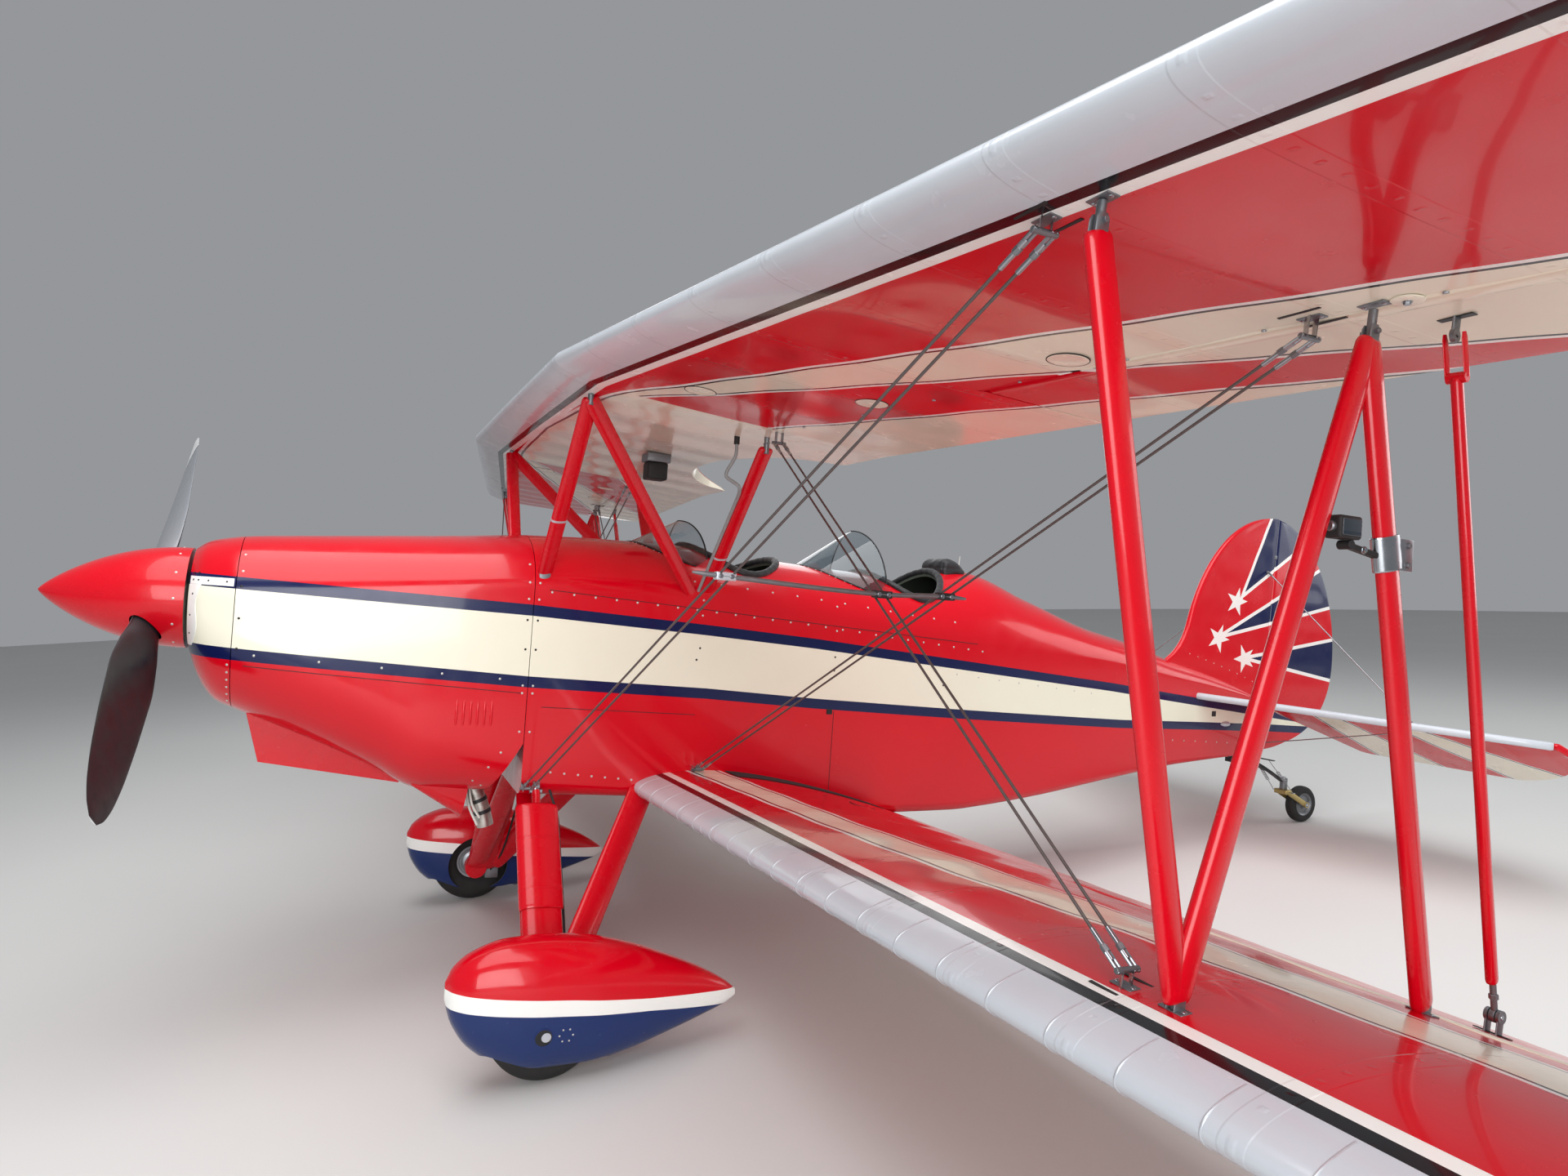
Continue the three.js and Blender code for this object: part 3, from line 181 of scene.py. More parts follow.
def roundBox(low, high, radius, steps=4):
    # box with rounded edges: corner of the inner box on a direction's side, plus r times it
    low, high = np.asarray(low, float), np.asarray(high, float)
    quarter = np.linspace(0, np.pi / 2, steps)
    up = np.concatenate([quarter - np.pi / 2, quarter])
    around = np.concatenate([quarter + k * np.pi / 2 for k in range(4)])
    lat, lon = np.meshgrid(up[1:-1], around, indexing="ij")
    way = np.stack([np.cos(lat) * np.cos(lon), np.cos(lat) * np.sin(lon), np.sin(lat)], -1)
    signs = (np.repeat([1, -1, -1, 1], steps), np.repeat([1, 1, -1, -1], steps),
             np.repeat([-1, 1], steps)[1:-1, None])
    bits = np.stack([np.broadcast_to(row, lat.shape) for row in signs], -1)
    rings = (low + high) / 2 + bits * ((high - low) / 2 - radius) + radius * way
    return skin(rings)


def turnPart(part, axis, angle, centre):
    # Rodrigues' turn of a part about a line
    points, faces = part
    a, c = unit(np.asarray(axis, float)), np.asarray(centre, float)
    p = points - c
    s = math.sin(angle)
    turned = p * math.cos(angle) + np.cross(a, p) * s + np.outer(p @ a, a) * (1 - math.cos(angle))
    return turned + c, faces


def shiftPart(part, offset):
    # every point moved by the offset
    return part[0] + np.asarray(offset, float), part[1]


def mirrorPart(part):
    # x changes sign and the faces turn round
    points = part[0] * (-1, 1, 1)
    return outward(points, part[1])


def joinParts(parts):
    # points one after the other, each part's faces counted on past the points before it
    start = np.cumsum([0] + [len(p) for p, f in parts[:-1]])
    faces = [np.where(f < 0, -1, f + s) for (p, f), s in zip(parts, start)]
    return np.vstack([p for p, f in parts]), np.vstack(faces)


def scatter(part, places, normals, up=(0, 0, 1)):
    # copies of one small part with its z along each normal: place + x side + y across + z normal
    places, n = np.atleast_2d(places).astype(float), unit(np.atleast_2d(normals).astype(float))
    n = np.broadcast_to(n, places.shape)
    side, across = frameAlong(n, np.asarray(up, float))
    p, f = part
    points = (places[:, None] + p[None, :, :1] * side[:, None] + p[None, :, 1:2] * across[:, None]
              + p[None, :, 2:] * n[:, None]).reshape(-1, 3)
    faces = np.where(f[None] < 0, -1, f[None] + np.arange(len(places))[:, None, None] * len(p))
    return points, faces.reshape(-1, 4)


def dome(radius, height, sides=10):
    # low round head standing on z = 0, with a foot below it
    profile = [
        (radius, -0.3 * height), (radius, 0.2 * height), (0.8 * radius, 0.75 * height),
        (0.4 * radius, height)]
    return lathe(profile, sides=sides)


def hexHead(radius, height):
    # six-sided bolt head with a bevelled top and a round washer under it
    head = lathe([(radius, -0.1 * height), (radius, 0.8 * height), (0.86 * radius, height)], sides=6)
    washer = lathe([(1.35 * radius, -0.3 * height), (1.35 * radius, 0.12 * height)], sides=20)
    return joinParts([head, washer])


def meshFrom(name, parts, maps=None):
    # one mesh from parts and their materials, in the model's frame, with its paint maps
    points, faces = joinParts([part for part, mat in parts])
    materials = list(dict.fromkeys(mat for part, mat in parts))
    mesh = bpy.data.meshes.new(name)
    world = points @ tipped.T + moved
    flat = faces.ravel()
    corners = flat[flat >= 0]
    counts = (faces >= 0).sum(1)
    mesh.vertices.add(len(points))
    mesh.vertices.foreach_set("co", world.astype(np.float32).ravel())
    mesh.loops.add(len(corners))
    mesh.loops.foreach_set("vertex_index", corners.astype(np.int32))
    mesh.polygons.add(len(faces))
    mesh.polygons.foreach_set("loop_start", np.concatenate([[0], counts.cumsum()[:-1]]).astype(np.int32))
    chosen = np.repeat([materials.index(m) for p, m in parts], [len(p[1]) for p, m in parts])
    mesh.polygons.foreach_set("material_index", chosen.astype(np.int32))
    for mapName, values in (maps or {}).items():
        values = values(points) if callable(values) else values
        layer = mesh.uv_layers.new(name=mapName)
        layer.data.foreach_set("uv", np.asarray(values, np.float32)[corners].ravel())
    for mat in materials:
        mesh.materials.append(mat)
    mesh.update(calc_edges=True)
    mesh.validate()
    return mesh


def build(name, parts, body="airframe", slot="steel", replaces=(), maps=None, sharp=38, ride=True):
    # a finished piece: mesh, smooth faces with edges kept past an angle, its body and its slot
    mesh = meshFrom(name, parts, maps)
    mesh.shade_smooth()
    mesh.set_sharp_from_angle(angle=sharp * degree)
    piece = bpy.data.objects.new(name, mesh)
    bpy.context.scene.collection.objects.link(piece)
    return settle(piece, body, slot, replaces) if ride else piece


def settle(piece, body, slot, replaces):
    # rides on its body, stands for its nodes, takes its slot
    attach(piece, body)
    if replaces:
        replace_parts(piece, *([replaces] if isinstance(replaces, str) else replaces))
    if slot:
        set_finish(piece, slot)
    return piece


def buildPair(*facts, **more):
    # a port piece and its starboard twin
    twin(build(*facts, **more))


def carve(piece, cutters, sharp=38):
    # takes cutters, as parts with a material, out of a piece by exact booleans, and keeps the result
    for i, (part, mat) in enumerate(cutters):
        tool = build(f"{piece.name}_cutter_{i}", [(part, mat)], ride=False)
        change = piece.modifiers.new("cut", "BOOLEAN")
        change.object, change.operation, change.solver = tool, "DIFFERENCE", "EXACT"
        change.material_mode = "TRANSFER"
        bpy.context.view_layer.update()
        seen = piece.evaluated_get(bpy.context.evaluated_depsgraph_get())
        cut = bpy.data.meshes.new_from_object(seen)
        piece.modifiers.clear()
        piece.data = cut
        bpy.data.objects.remove(tool)
    piece.data.shade_smooth()
    piece.data.set_sharp_from_angle(angle=sharp * degree)
    return piece


def twin(piece):
    # the starboard copy of a port piece: x changes sign and the faces turn round
    name = piece.name.replace("left", "right")
    mesh = piece.data.copy()
    points = np.empty(len(mesh.vertices) * 3, np.float32)
    mesh.vertices.foreach_get("co", points)
    points[::3] *= -1
    mesh.vertices.foreach_set("co", points)
    mesh.flip_normals()
    mesh.update()
    copy = bpy.data.objects.new(name, mesh)
    bpy.context.scene.collection.objects.link(copy)
    body = piece["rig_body"].replace("left", "right")
    nodes = [node.replace("left", "right") for node in piece.get("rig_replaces", [])]
    return settle(copy, body, piece.get("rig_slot"), nodes)


def linear(code):
    # sRGB hex to the linear colour that shaders take
    channels = [int(code[i:i + 2], 16) / 255 for i in (1, 3, 5)]
    return (*[c / 12.92 if c <= 0.04045 else ((c + 0.055) / 1.055) ** 2.4 for c in channels], 1)


def addNode(mat, kind, feeds=None, **settings):
    # one shader node: settings are its own options, feeds its sockets as values, nodes or outputs
    made = mat.node_tree.nodes.new("ShaderNode" + kind)
    for key, value in settings.items():
        setattr(made, key, value)
    for key, value in (feeds or {}).items():
        value = value.outputs[0] if isinstance(value, bpy.types.Node) else value
        if isinstance(value, bpy.types.NodeSocket):
            mat.node_tree.links.new(value, made.inputs[key])
        else:
            made.inputs[key].default_value = linear(value) if isinstance(value, str) else value
    return made


def newMaterial(name, colour, roughness, bump=None, **sockets):
    # a Principled surface: colour is a hex, a pattern or (hex, drift, mm), roughness a number or
    # (clean, worn, mm), and bump (pattern or the mm of its noise, height in mm)
    mat = bpy.data.materials.new(name)
    mat.use_nodes = True
    tree = mat.node_tree
    surface = tree.nodes["Principled BSDF"]
    feeds = {
        "Base Color": vary(mat, *colour) if isinstance(colour, tuple) else colour,
        "Roughness": dusty(mat, *roughness) if isinstance(roughness, tuple) else roughness}
    feeds.update({key.replace("_", " "): value for key, value in sockets.items()})
    for key, value in feeds.items():
        value = value(mat) if callable(value) else value
        value = value.outputs[0] if isinstance(value, bpy.types.Node) else value
        if isinstance(value, bpy.types.NodeSocket):
            tree.links.new(value, surface.inputs[key])
        elif value is not None:
            surface.inputs[key].default_value = linear(value) if isinstance(value, str) else value
    if bump:
        height, depth = bump
        height = height(mat) if callable(height) else noise(mat, height)
        raised = addNode(mat, "Bump", {"Height": height, "Distance": depth / 1000, "Strength": 1})
        tree.links.new(raised.outputs[0], surface.inputs["Normal"])
    return mat


def place(mat, scale):
    # Object coordinates times a scale
    source = addNode(mat, "TexCoord")
    return addNode(mat, "Mapping", {"Vector": source.outputs["Object"], "Scale": (scale,) * 3})


def noise(mat, millimetres, detail=3, rough=0.5):
    # a noise whose lumps are about that many millimetres across
    where = place(mat, 1000 / millimetres)
    return addNode(mat, "TexNoise", {"Vector": where, "Scale": 1, "Detail": detail, "Roughness": rough})


def mapPair(mat, name):
    # the two numbers of a paint map
    split = addNode(mat, "SeparateXYZ", {0: addNode(mat, "UVMap", uv_map=name)})
    return split.outputs[0], split.outputs[1]


def band(mat, distance, low, high, mask=None):
    # 1 where the distance lies from low to high
    inside = addNode(
        mat, "Math", {0: distance, 1: (low + high) / 2, 2: (high - low) / 2}, operation="COMPARE")
    return addNode(mat, "Math", {0: inside, 1: mask}, operation="MULTIPLY") if mask else inside


def painted(mat, ground, *coats):
    # coats of paint on a ground, each over the last where its mask is 1
    for colour, mask in coats:
        ground = addNode(mat, "MixRGB", {0: mask, 1: ground, 2: paint.get(colour, colour)})
    return ground


def vary(mat, colour, amount=0.05, millimetres=120):
    # lets a colour drift a little lighter and darker over the surface
    shade = addNode(mat, "MapRange", {0: noise(mat, millimetres), 3: 1 - amount, 4: 1 + amount})
    return addNode(mat, "HueSaturation", {"Value": shade, "Color": colour})


def dusty(mat, clean, worn, millimetres=45):
    # roughness that rises in faint patches, as on paint that has been wiped
    return addNode(mat, "MapRange", {0: noise(mat, millimetres, 5), 1: 0.35, 2: 0.75, 3: clean, 4: worn})


paint = {
    "red": "#cc0018", "navy": "#0b1546", "cream": "#ebe7d3", "white": "#f0f0ec",
    "silver": "#c3c8cf", "black": "#101014",
}
far = 9  # metres, past any edge of a paint map
glossyCoat = {"Coat_Weight": 0.35, "Coat_Roughness": 0.05, "Specular_IOR_Level": 0.3}


def orangePeel(mat):
    # fine ripple of sprayed enamel, lumps of about 4 mm
    return noise(mat, 4, 2)


# glossy enamel on sheet metal: deep red, a soft ripple and slightly dusty patches
redEnamel = newMaterial(
    "red sprayed enamel", (paint["red"], 0.05), (0.24, 0.3), (orangePeel, 0.03), **glossyCoat)
# satin paint of the small parts, nearly black with a grey bloom
blackEnamel = newMaterial("black satin enamel", ("#1b1b1e", 0.2, 60), (0.38, 0.6), (3, 0.03))
# bright steel of wires and fittings: cool grey, streaked along and a little stained
brightSteel = newMaterial(
    "polished stainless steel", ("#a7abb0", 0.05, 150), (0.24, 0.32, 60), Metallic=1)
# dull cast or zinc plated metal of brackets and blocks
dullMetal = newMaterial(
    "zinc plated steel", ("#83868a", 0.15, 25), (0.4, 0.62, 15), (1.2, 0.03), Metallic=0.9)
# slot heads show white where the paint has chipped off them
paleScrew = newMaterial("bare screw head", ("#c9c8c2", 0.15, 5), 0.42, Metallic=0.6)
darkScrew = newMaterial("browned screw head", ("#3a3634", 0.2, 5), 0.45, Metallic=0.7)
# flexible tube and cable covers
blackRubber = newMaterial("moulded rubber", ("#1a1a1b", 0.2, 12), (0.55, 0.75), (1.5, 0.05))
greyHose = newMaterial("grey vinyl hose", ("#8d8f90", 0.1, 20), 0.45, (2, 0.05))
# silver dope: pale, fine metallic grain, satin
silverPaint = newMaterial(
    "silver aluminium paint", (paint["silver"], 0.05, 90), (0.3, 0.42), (orangePeel, 0.05),
    Metallic=0.45)

wing = {
    "upper": {"root": 0.957, "leadingY": 0.996, "leadingZ": 0.807, "kink": 0.956, "sweep": 8.7,
              "rise": -0.25, "incidence": 7.4, "twist": -0.8},
    "lower": {"root": 0.302, "leadingY": 1.508, "leadingZ": -0.615, "kink": 0, "sweep": 0,
              "rise": 2, "incidence": 6.2, "twist": 0},
    "chord": 1.168, "thick": 0.12, "camber": 0.028, "semiSpan": 4.0584, "tip": 0.5544,
    "frontSpar": 0.134, "rearSpar": 0.647, "hinge": 0.69, "hingeUp": 0.025,
    "aileronFrom": 1.86, "aileronTo": 3.56, "gap": 0.006,
    "ribPitch": 0.305, "sag": 0.0022, "tapeWidth": 0.044, "steps": 56,
    "cutoutHalf": 0.62, "cutoutDepth": 0.33,
}
# paint edges on the wings as (span, share of the chord)
wingPaint = {
    "silverTo": {"upper": 0.098, "lower": 0.068}, "blackLine": 0.025, "whiteLine": 0.026,
    "fineBlack": 0.01, "fineWhite": 0.014,
    "topFront": [
        (0, 0.17), (0.75, 0.2), (1.4, 0.228), (2, 0.275), (2.5, 0.35), (3, 0.405), (4.1, 0.47)],
    "topRear": [
        (0, 0.25), (0.77, 0.283), (1.41, 0.315), (1.9, 0.395), (2.4, 0.49), (3, 0.56), (4.1, 0.65)],
    "underFront": [
        (0, 0.15), (0.8, 0.18), (1.2, 0.26), (1.8, 0.38), (2.4, 0.5), (3.2, 0.655), (4.1, 0.83)],
    "underRear": [
        (0, 0.15), (0.8, 0.19), (1.2, 0.33), (1.8, 0.54), (2.4, 0.74), (3.2, 1.02), (4.1, 1.34)],
    "underAft": [(0, 0.56), (0.8, 0.6), (1.2, 0.69), (1.8, 0.82), (2.4, 0.95), (4.1, 1.33)],
}


def onWing(shape, x, share, height):
    # aft of the swept leading edge by the chord share, turned by incidence and washout
    out = np.maximum(0, np.abs(x) - shape["kink"])
    angle = (shape["incidence"] + shape["twist"] * out) * degree
    run = share * wing["chord"]
    y = (shape["leadingY"] + out * math.tan(shape["sweep"] * degree)
         + run * np.cos(angle) + height * np.sin(angle))
    z = (shape["leadingZ"] + (np.abs(x) - shape["kink"]) * math.tan(shape["rise"] * degree)
         - run * np.sin(angle) + height * np.cos(angle))
    return np.stack(np.broadcast_arrays(x + 0 * y, y, z), -1)


def aerofoil(s, chord, thick):
    # four-digit section: camber line of two parabolas, thickness by the usual quintic
    half = 5 * thick * chord * (
        0.2969 * np.sqrt(s) - 0.126 * s - 0.3516 * s ** 2 + 0.2843 * s ** 3 - 0.1015 * s ** 4)
    fore = wing["camber"] * chord / 0.16 * (0.8 * s - s * s)
    rear = wing["camber"] * chord / 0.36 * (0.2 + 0.8 * s - s * s)
    return np.where(s < 0.4, fore, rear), half


def wingStrip(shape, x, start=0, end=1, arc=None):
    # rings of wing section at spans x: over the top from end to start, back along the bottom, and an
    # optional arc (radius, turns from, to) about the aileron's hinge that closes a cut section
    past = np.clip((np.abs(x) - (wing["semiSpan"] - wing["tip"])) / wing["tip"], 0, 1)
    left = np.sqrt(1 - past ** 2)[:, None]
    front = 0.36 * (1 - left)
    chord = wing["chord"] * (1 - 0.88 * (1 - left))
    thick = wing["thick"] * (0.35 + 0.65 * left)
    end = np.broadcast_to(end, x.shape)[:, None]
    turnAt = np.linspace(0, np.pi, wing["steps"])
    top = start + (end - start) * (0.5 + 0.5 * np.cos(turnAt))[None]
    bottom = top[:, ::-1] if start else top[:, -2::-1]
    s = np.concatenate([top, bottom], 1)
    side = np.concatenate([np.ones_like(top), -np.ones_like(bottom)], 1)
    middle, half = aerofoil(s, chord, thick)
    slack = np.clip((s - 0.11) / 0.1, 0, 1) * np.clip((0.99 - s) / 0.1, 0, 1) * left
    hollow = wing["sag"] * slack * np.sin(np.pi * x[:, None] / wing["ribPitch"]) ** 2
    height = middle + side * (half - hollow)
    share = front + s * chord / wing["chord"]
    if arc:
        radius, low, high = arc
        t = np.linspace(low, high, 20)[None]
        arcShare = wing["hinge"] + radius * np.cos(t) / wing["chord"] + 0 * left
        arcHeight = wing["hingeUp"] + radius * np.sin(t) + 0 * left
        at = top.shape[1] if start else s.shape[1]
        share = np.concatenate([share[:, :at], arcShare, share[:, at:]], 1)
        height = np.concatenate([height[:, :at], arcHeight, height[:, at:]], 1)
        side = np.concatenate([side[:, :at], -np.ones_like(arcShare), side[:, at:]], 1)
    rings = onWing(shape, x[:, None], share, height)
    grids = [np.broadcast_to(np.abs(x)[:, None], share.shape), share * wing["chord"], side]
    chart = np.stack([np.concatenate([g.ravel(), [g[0].mean(), g[-1].mean()]]) for g in grids], -1)
    return skin(rings), chart


def wingMaps(charts):
    # paint maps: run from the edge and span, distances to the ray's two edges, and to the aft panel
    x, run, side = np.vstack(charts).T
    reach = wing["chord"]
    edge = {name: reach * smoothTable(wingPaint[name], x)[:, 0]
            for name in ("topFront", "topRear", "underFront", "underRear", "underAft")}
    front = run - np.where(side > 0, edge["topFront"], edge["underFront"])
    rear = np.where(side > 0, edge["topRear"], edge["underRear"]) - run
    behind = np.where(side < 0, run - edge["underAft"], -1)
    return {
        "edge": np.stack([run, x], -1), "ray": np.stack([front, rear], -1),
        "aft": np.stack([behind, side], -1)}


def wingPattern(silverTo, centre=False):
    # red with a cream ray and aft panel edged black then white, and a silver nose up to a share of chord
    def pattern(mat):
        run = mapPair(mat, "edge")[0]
        front, rear = mapPair(mat, "ray")
        behind, side = mapPair(mat, "aft")
        fine = wingPaint["fineBlack"]
        lines = (("white", fine + wingPaint["fineWhite"]), ("black", fine), ("cream", 0))
        ground = vary(mat, paint["red"], 0.06, 300)
        for colour, wide in lines:
            inRay = band(mat, front, -wide, far, band(mat, rear, -wide, far))
            ground = painted(mat, ground, (colour, inRay))
        for colour, wide in lines:
            ground = painted(mat, ground, (colour, band(mat, behind, -wide, far)))
        if centre:
            under = band(mat, front, 0, far, band(mat, side, -2, 0.9))
            ground = painted(mat, ground, ("cream", under))
        edge = silverTo * wing["chord"]
        black = edge + wingPaint["blackLine"]
        return painted(
            mat, ground, ("white", band(mat, run, -1, black + wingPaint["whiteLine"])),
            ("black", band(mat, run, -1, black)),
            (vary(mat, paint["silver"], 0.05, 150), band(mat, run, -1, edge)))
    return pattern


def ribTapes(mat):
    # tapes over the ribs, a step high, and stitches every 50 mm under them
    run, span = mapPair(mat, "edge")
    near = addNode(mat, "Math", {0: span, 1: wing["ribPitch"] / 2}, operation="PINGPONG")
    half = wing["tapeWidth"] / 2
    tape = addNode(mat, "MapRange", {0: near, 1: half, 2: half - 0.003, 3: 0, 4: 1})
    stitchAt = addNode(mat, "Math", {0: run, 1: 0.025}, operation="PINGPONG")
    knot = addNode(mat, "MapRange", {0: stitchAt, 1: 0.006, 2: 0.002, 3: 0, 4: 1.4})
    core = addNode(mat, "MapRange", {0: near, 1: 0.008, 2: 0.003, 3: 0, 4: 1})
    stitches = addNode(mat, "Math", {0: knot, 1: core}, operation="MULTIPLY")
    return addNode(mat, "Math", {0: tape, 1: stitches}, operation="ADD")


# doped fabric over ribs, polished: the paint scheme in crisp edges, tapes standing a little proud
wingFinish = {
    name: newMaterial(
        f"glossy dope on {name} wing fabric", wingPattern(wingPaint["silverTo"][name]), (0.16, 0.3, 90),
        (ribTapes, 0.5), **glossyCoat)
    for name in ("upper", "lower")}
centreFinish = newMaterial(
    "glossy dope on centre section fabric", wingPattern(wingPaint["silverTo"]["upper"], True),
    (0.16, 0.3, 90), (ribTapes, 0.5), **glossyCoat)


def spans(start, end, pitch=0.0381):
    # even steps along the span, an eighth of a rib bay
    return np.linspace(start, end, max(3, int(round(abs(end - start) / pitch)) + 1))


def hingeCut(ahead):
    # share and turn at which a circle about the hinge leaves the skin, above and below
    share = wing["hinge"] + (-ahead if ahead else 0) / wing["chord"]
    middle, half = aerofoil(np.array([share]), wing["chord"], wing["thick"])
    rise, fall = middle + half - wing["hingeUp"], middle - half - wing["hingeUp"]
    return share, math.atan2(rise[0], -ahead), math.atan2(fall[0], -ahead), float(np.hypot(rise[0], ahead))


for name, shape in (("upper", wing["upper"]), ("lower", wing["lower"])):
    finish = wingFinish[name]
    bayIn, bayOut = wing["aileronFrom"] - wing["gap"], wing["aileronTo"] + wing["gap"]
    cutShare, topTurn, footTurn, reach = hingeCut(0.031)
    tipX = wing["semiSpan"] - wing["tip"]
    beyond = tipX + wing["tip"] * np.sin(np.linspace(0, 0.4975 * np.pi, 22))
    outer = np.concatenate([[bayOut], beyond[beyond > bayOut + 0.01]])
    strips = [
        wingStrip(shape, spans(shape["root"], bayIn)),
        wingStrip(shape, spans(bayIn, bayOut), 0, cutShare, (reach, footTurn + 2 * np.pi, topTurn)),
        wingStrip(shape, outer),
    ]
    panel = build(
        f"wing_skin_{name}_left", [(part, finish) for part, chart in strips], slot="red_paint",
        replaces=f"{name}_wing_left", maps=wingMaps([chart for part, chart in strips]))
    twin(panel)
    noseShare, topTurn, footTurn, reach = hingeCut(-0.012)
    part, chart = wingStrip(
        shape, spans(wing["aileronFrom"], wing["aileronTo"]), noseShare, 1,
        (reach, topTurn, footTurn + 2 * np.pi))
    chart[:, 2] = np.where(chart[:, 2] > 0, 1, -1)
    aileron = build(
        f"aileron_skin_{name}_left", [(part, finish)], f"{name}_aileron_left", "red_paint",
        f"{name}_aileron_left", wingMaps([chart]))
    twin(aileron)

# Centre section: one strip whose trailing edge is cut back in half an ellipse
x = np.concatenate([-spans(0, 0.956, 0.02)[:0:-1], spans(0, 0.956, 0.02)])
inside = np.clip(1 - (x / wing["cutoutHalf"]) ** 2, 0, 1)
aftEnd = np.where(inside > 0, 1 - (wing["cutoutDepth"] * np.sqrt(inside) - 0.004) / wing["chord"], 1)
part, chart = wingStrip(wing["upper"], x, 0, np.minimum(aftEnd, 1))
build("centre_section_skin", [(part, centreFinish)], slot="red_paint", replaces="upper_center_section",
      maps=wingMaps([chart]))
print("wings built")

body = {
    # y, half width, deck top, shoulder, belly, corner across, corner up
    "fuselage": [
        (1.098, 0.338, 0.318, 0.11, -0.632, 0.07, 0.06), (1.4, 0.35, 0.33, 0.112, -0.64, 0.06, 0.055),
        (1.75, 0.356, 0.332, 0.104, -0.656, 0.055, 0.05), (2.15, 0.358, 0.303, 0.08, -0.69, 0.05, 0.05),
        (2.6, 0.355, 0.285, 0.04, -0.728, 0.045, 0.045), (2.95, 0.345, 0.318, 0.005, -0.726, 0.045, 0.045),
        (3.1, 0.335, 0.332, -0.005, -0.716, 0.045, 0.045), (3.45, 0.296, 0.232, -0.025, -0.682, 0.042, 0.042),
        (3.826, 0.246, 0.114, -0.048, -0.634, 0.038, 0.04),
        (4.167, 0.196, 0.044, -0.09, -0.592, 0.034, 0.036),
        (4.4, 0.16, -0.018, -0.122, -0.566, 0.03, 0.032), (4.7, 0.112, -0.086, -0.16, -0.546, 0.024, 0.026),
        (5, 0.062, -0.168, -0.205, -0.528, 0.018, 0.02),
        (5.168, 0.032, -0.224, -0.236, -0.514, 0.012, 0.014),
    ],
    "cowl": [
        (0.01, 0.172, 0.174, 0, -0.18, 0.168, 0.172), (0.045, 0.214, 0.2, 0, -0.275, 0.208, 0.24),
        (0.1, 0.24, 0.216, 0.005, -0.345, 0.222, 0.27), (0.152, 0.256, 0.226, 0.01, -0.368, 0.23, 0.262),
        (0.413, 0.292, 0.252, 0.03, -0.474, 0.238, 0.262), (0.587, 0.308, 0.268, 0.05, -0.552, 0.236, 0.252),
        (0.783, 0.322, 0.286, 0.072, -0.64, 0.22, 0.225), (1.098, 0.338, 0.318, 0.11, -0.634, 0.13, 0.15),
    ],
    "wall": 0.022, "sheet": 0.006, "cabin": (1.125, 3.42), "firewall": 1.098, "end": 5.168,
    "bowlEnd": 0.152, "joint": 0.0012,
}
# heights of the two stripe edges along the side, and the navy bands' width
stripes = {
    "top": [
        (-0.2, 0.098), (0.077, 0.088), (1.1, 0.056), (1.749, 0.021), (2.216, -0.009), (3.894, -0.149),
        (4.434, -0.203), (5.2, -0.279), (5.9, -0.345)],
    "bottom": [
        (-0.2, -0.168), (0.076, -0.184), (1.096, -0.241), (1.77, -0.263), (2.238, -0.291),
        (3.98, -0.368), (4.66, -0.384), (5.43, -0.407), (5.9, -0.42)],
    "navy": 0.04,
}
cockpits = {
    "front": {"y": 1.94, "halfLength": 0.195, "halfWidth": 0.285, "panZ": -0.3, "screenFront": 1.515,
              "rimY": 1.721, "rimTop": 0.438},
    "rear": {"y": 2.762, "halfLength": 0.18, "halfWidth": 0.285, "panZ": -0.33, "screenFront": 2.277,
             "rimY": 2.537, "rimTop": 0.472},
}


def bodyRings(table, y, grow=0):
    # rings at stations y: flat belly, quarter-ellipse corner, upright side, deck of half cos t and
    # shoulder + (top - shoulder) sin t, mirrored, then moved out along their own normals
    half, top, shoulder, belly, across, up = (column[:, None] for column in smoothTable(table, y).T)
    t = np.linspace(0, np.pi / 2, 12)[None]
    flat = np.linspace(0, 1, 7)[None, :-1]
    rise = np.linspace(0, 1, 9)[None, 1:-1]
    deck = np.linspace(0, np.pi / 2, 30)[None]
    x = np.concatenate([
        flat * (half - across), half - across + across * np.sin(t), half + 0 * rise, half * np.cos(deck)], 1)
    z = np.concatenate([
        belly + 0 * flat, belly + up - up * np.cos(t), belly + up + rise * (shoulder - belly - up),
        shoulder + (top - shoulder) * np.sin(deck)], 1)
    x = np.concatenate([x, -x[:, -2:0:-1]], 1)
    z = np.concatenate([z, z[:, -2:0:-1]], 1)
    dx, dz = np.roll(x, -1, 1) - np.roll(x, 1, 1), np.roll(z, -1, 1) - np.roll(z, 1, 1)
    length = np.hypot(dx, dz)
    x, z = x + grow * dz / length, z - grow * dx / length
    return np.stack([x, np.broadcast_to(np.asarray(y)[:, None], x.shape), z], -1)


def deckAt(x, y):
    # height of the deck at a place
    half, top, shoulder = smoothTable(body["fuselage"], np.atleast_1d(y)).T[:3]
    return shoulder + (top - shoulder) * np.sqrt(np.clip(1 - (x / half) ** 2, 0, 1))


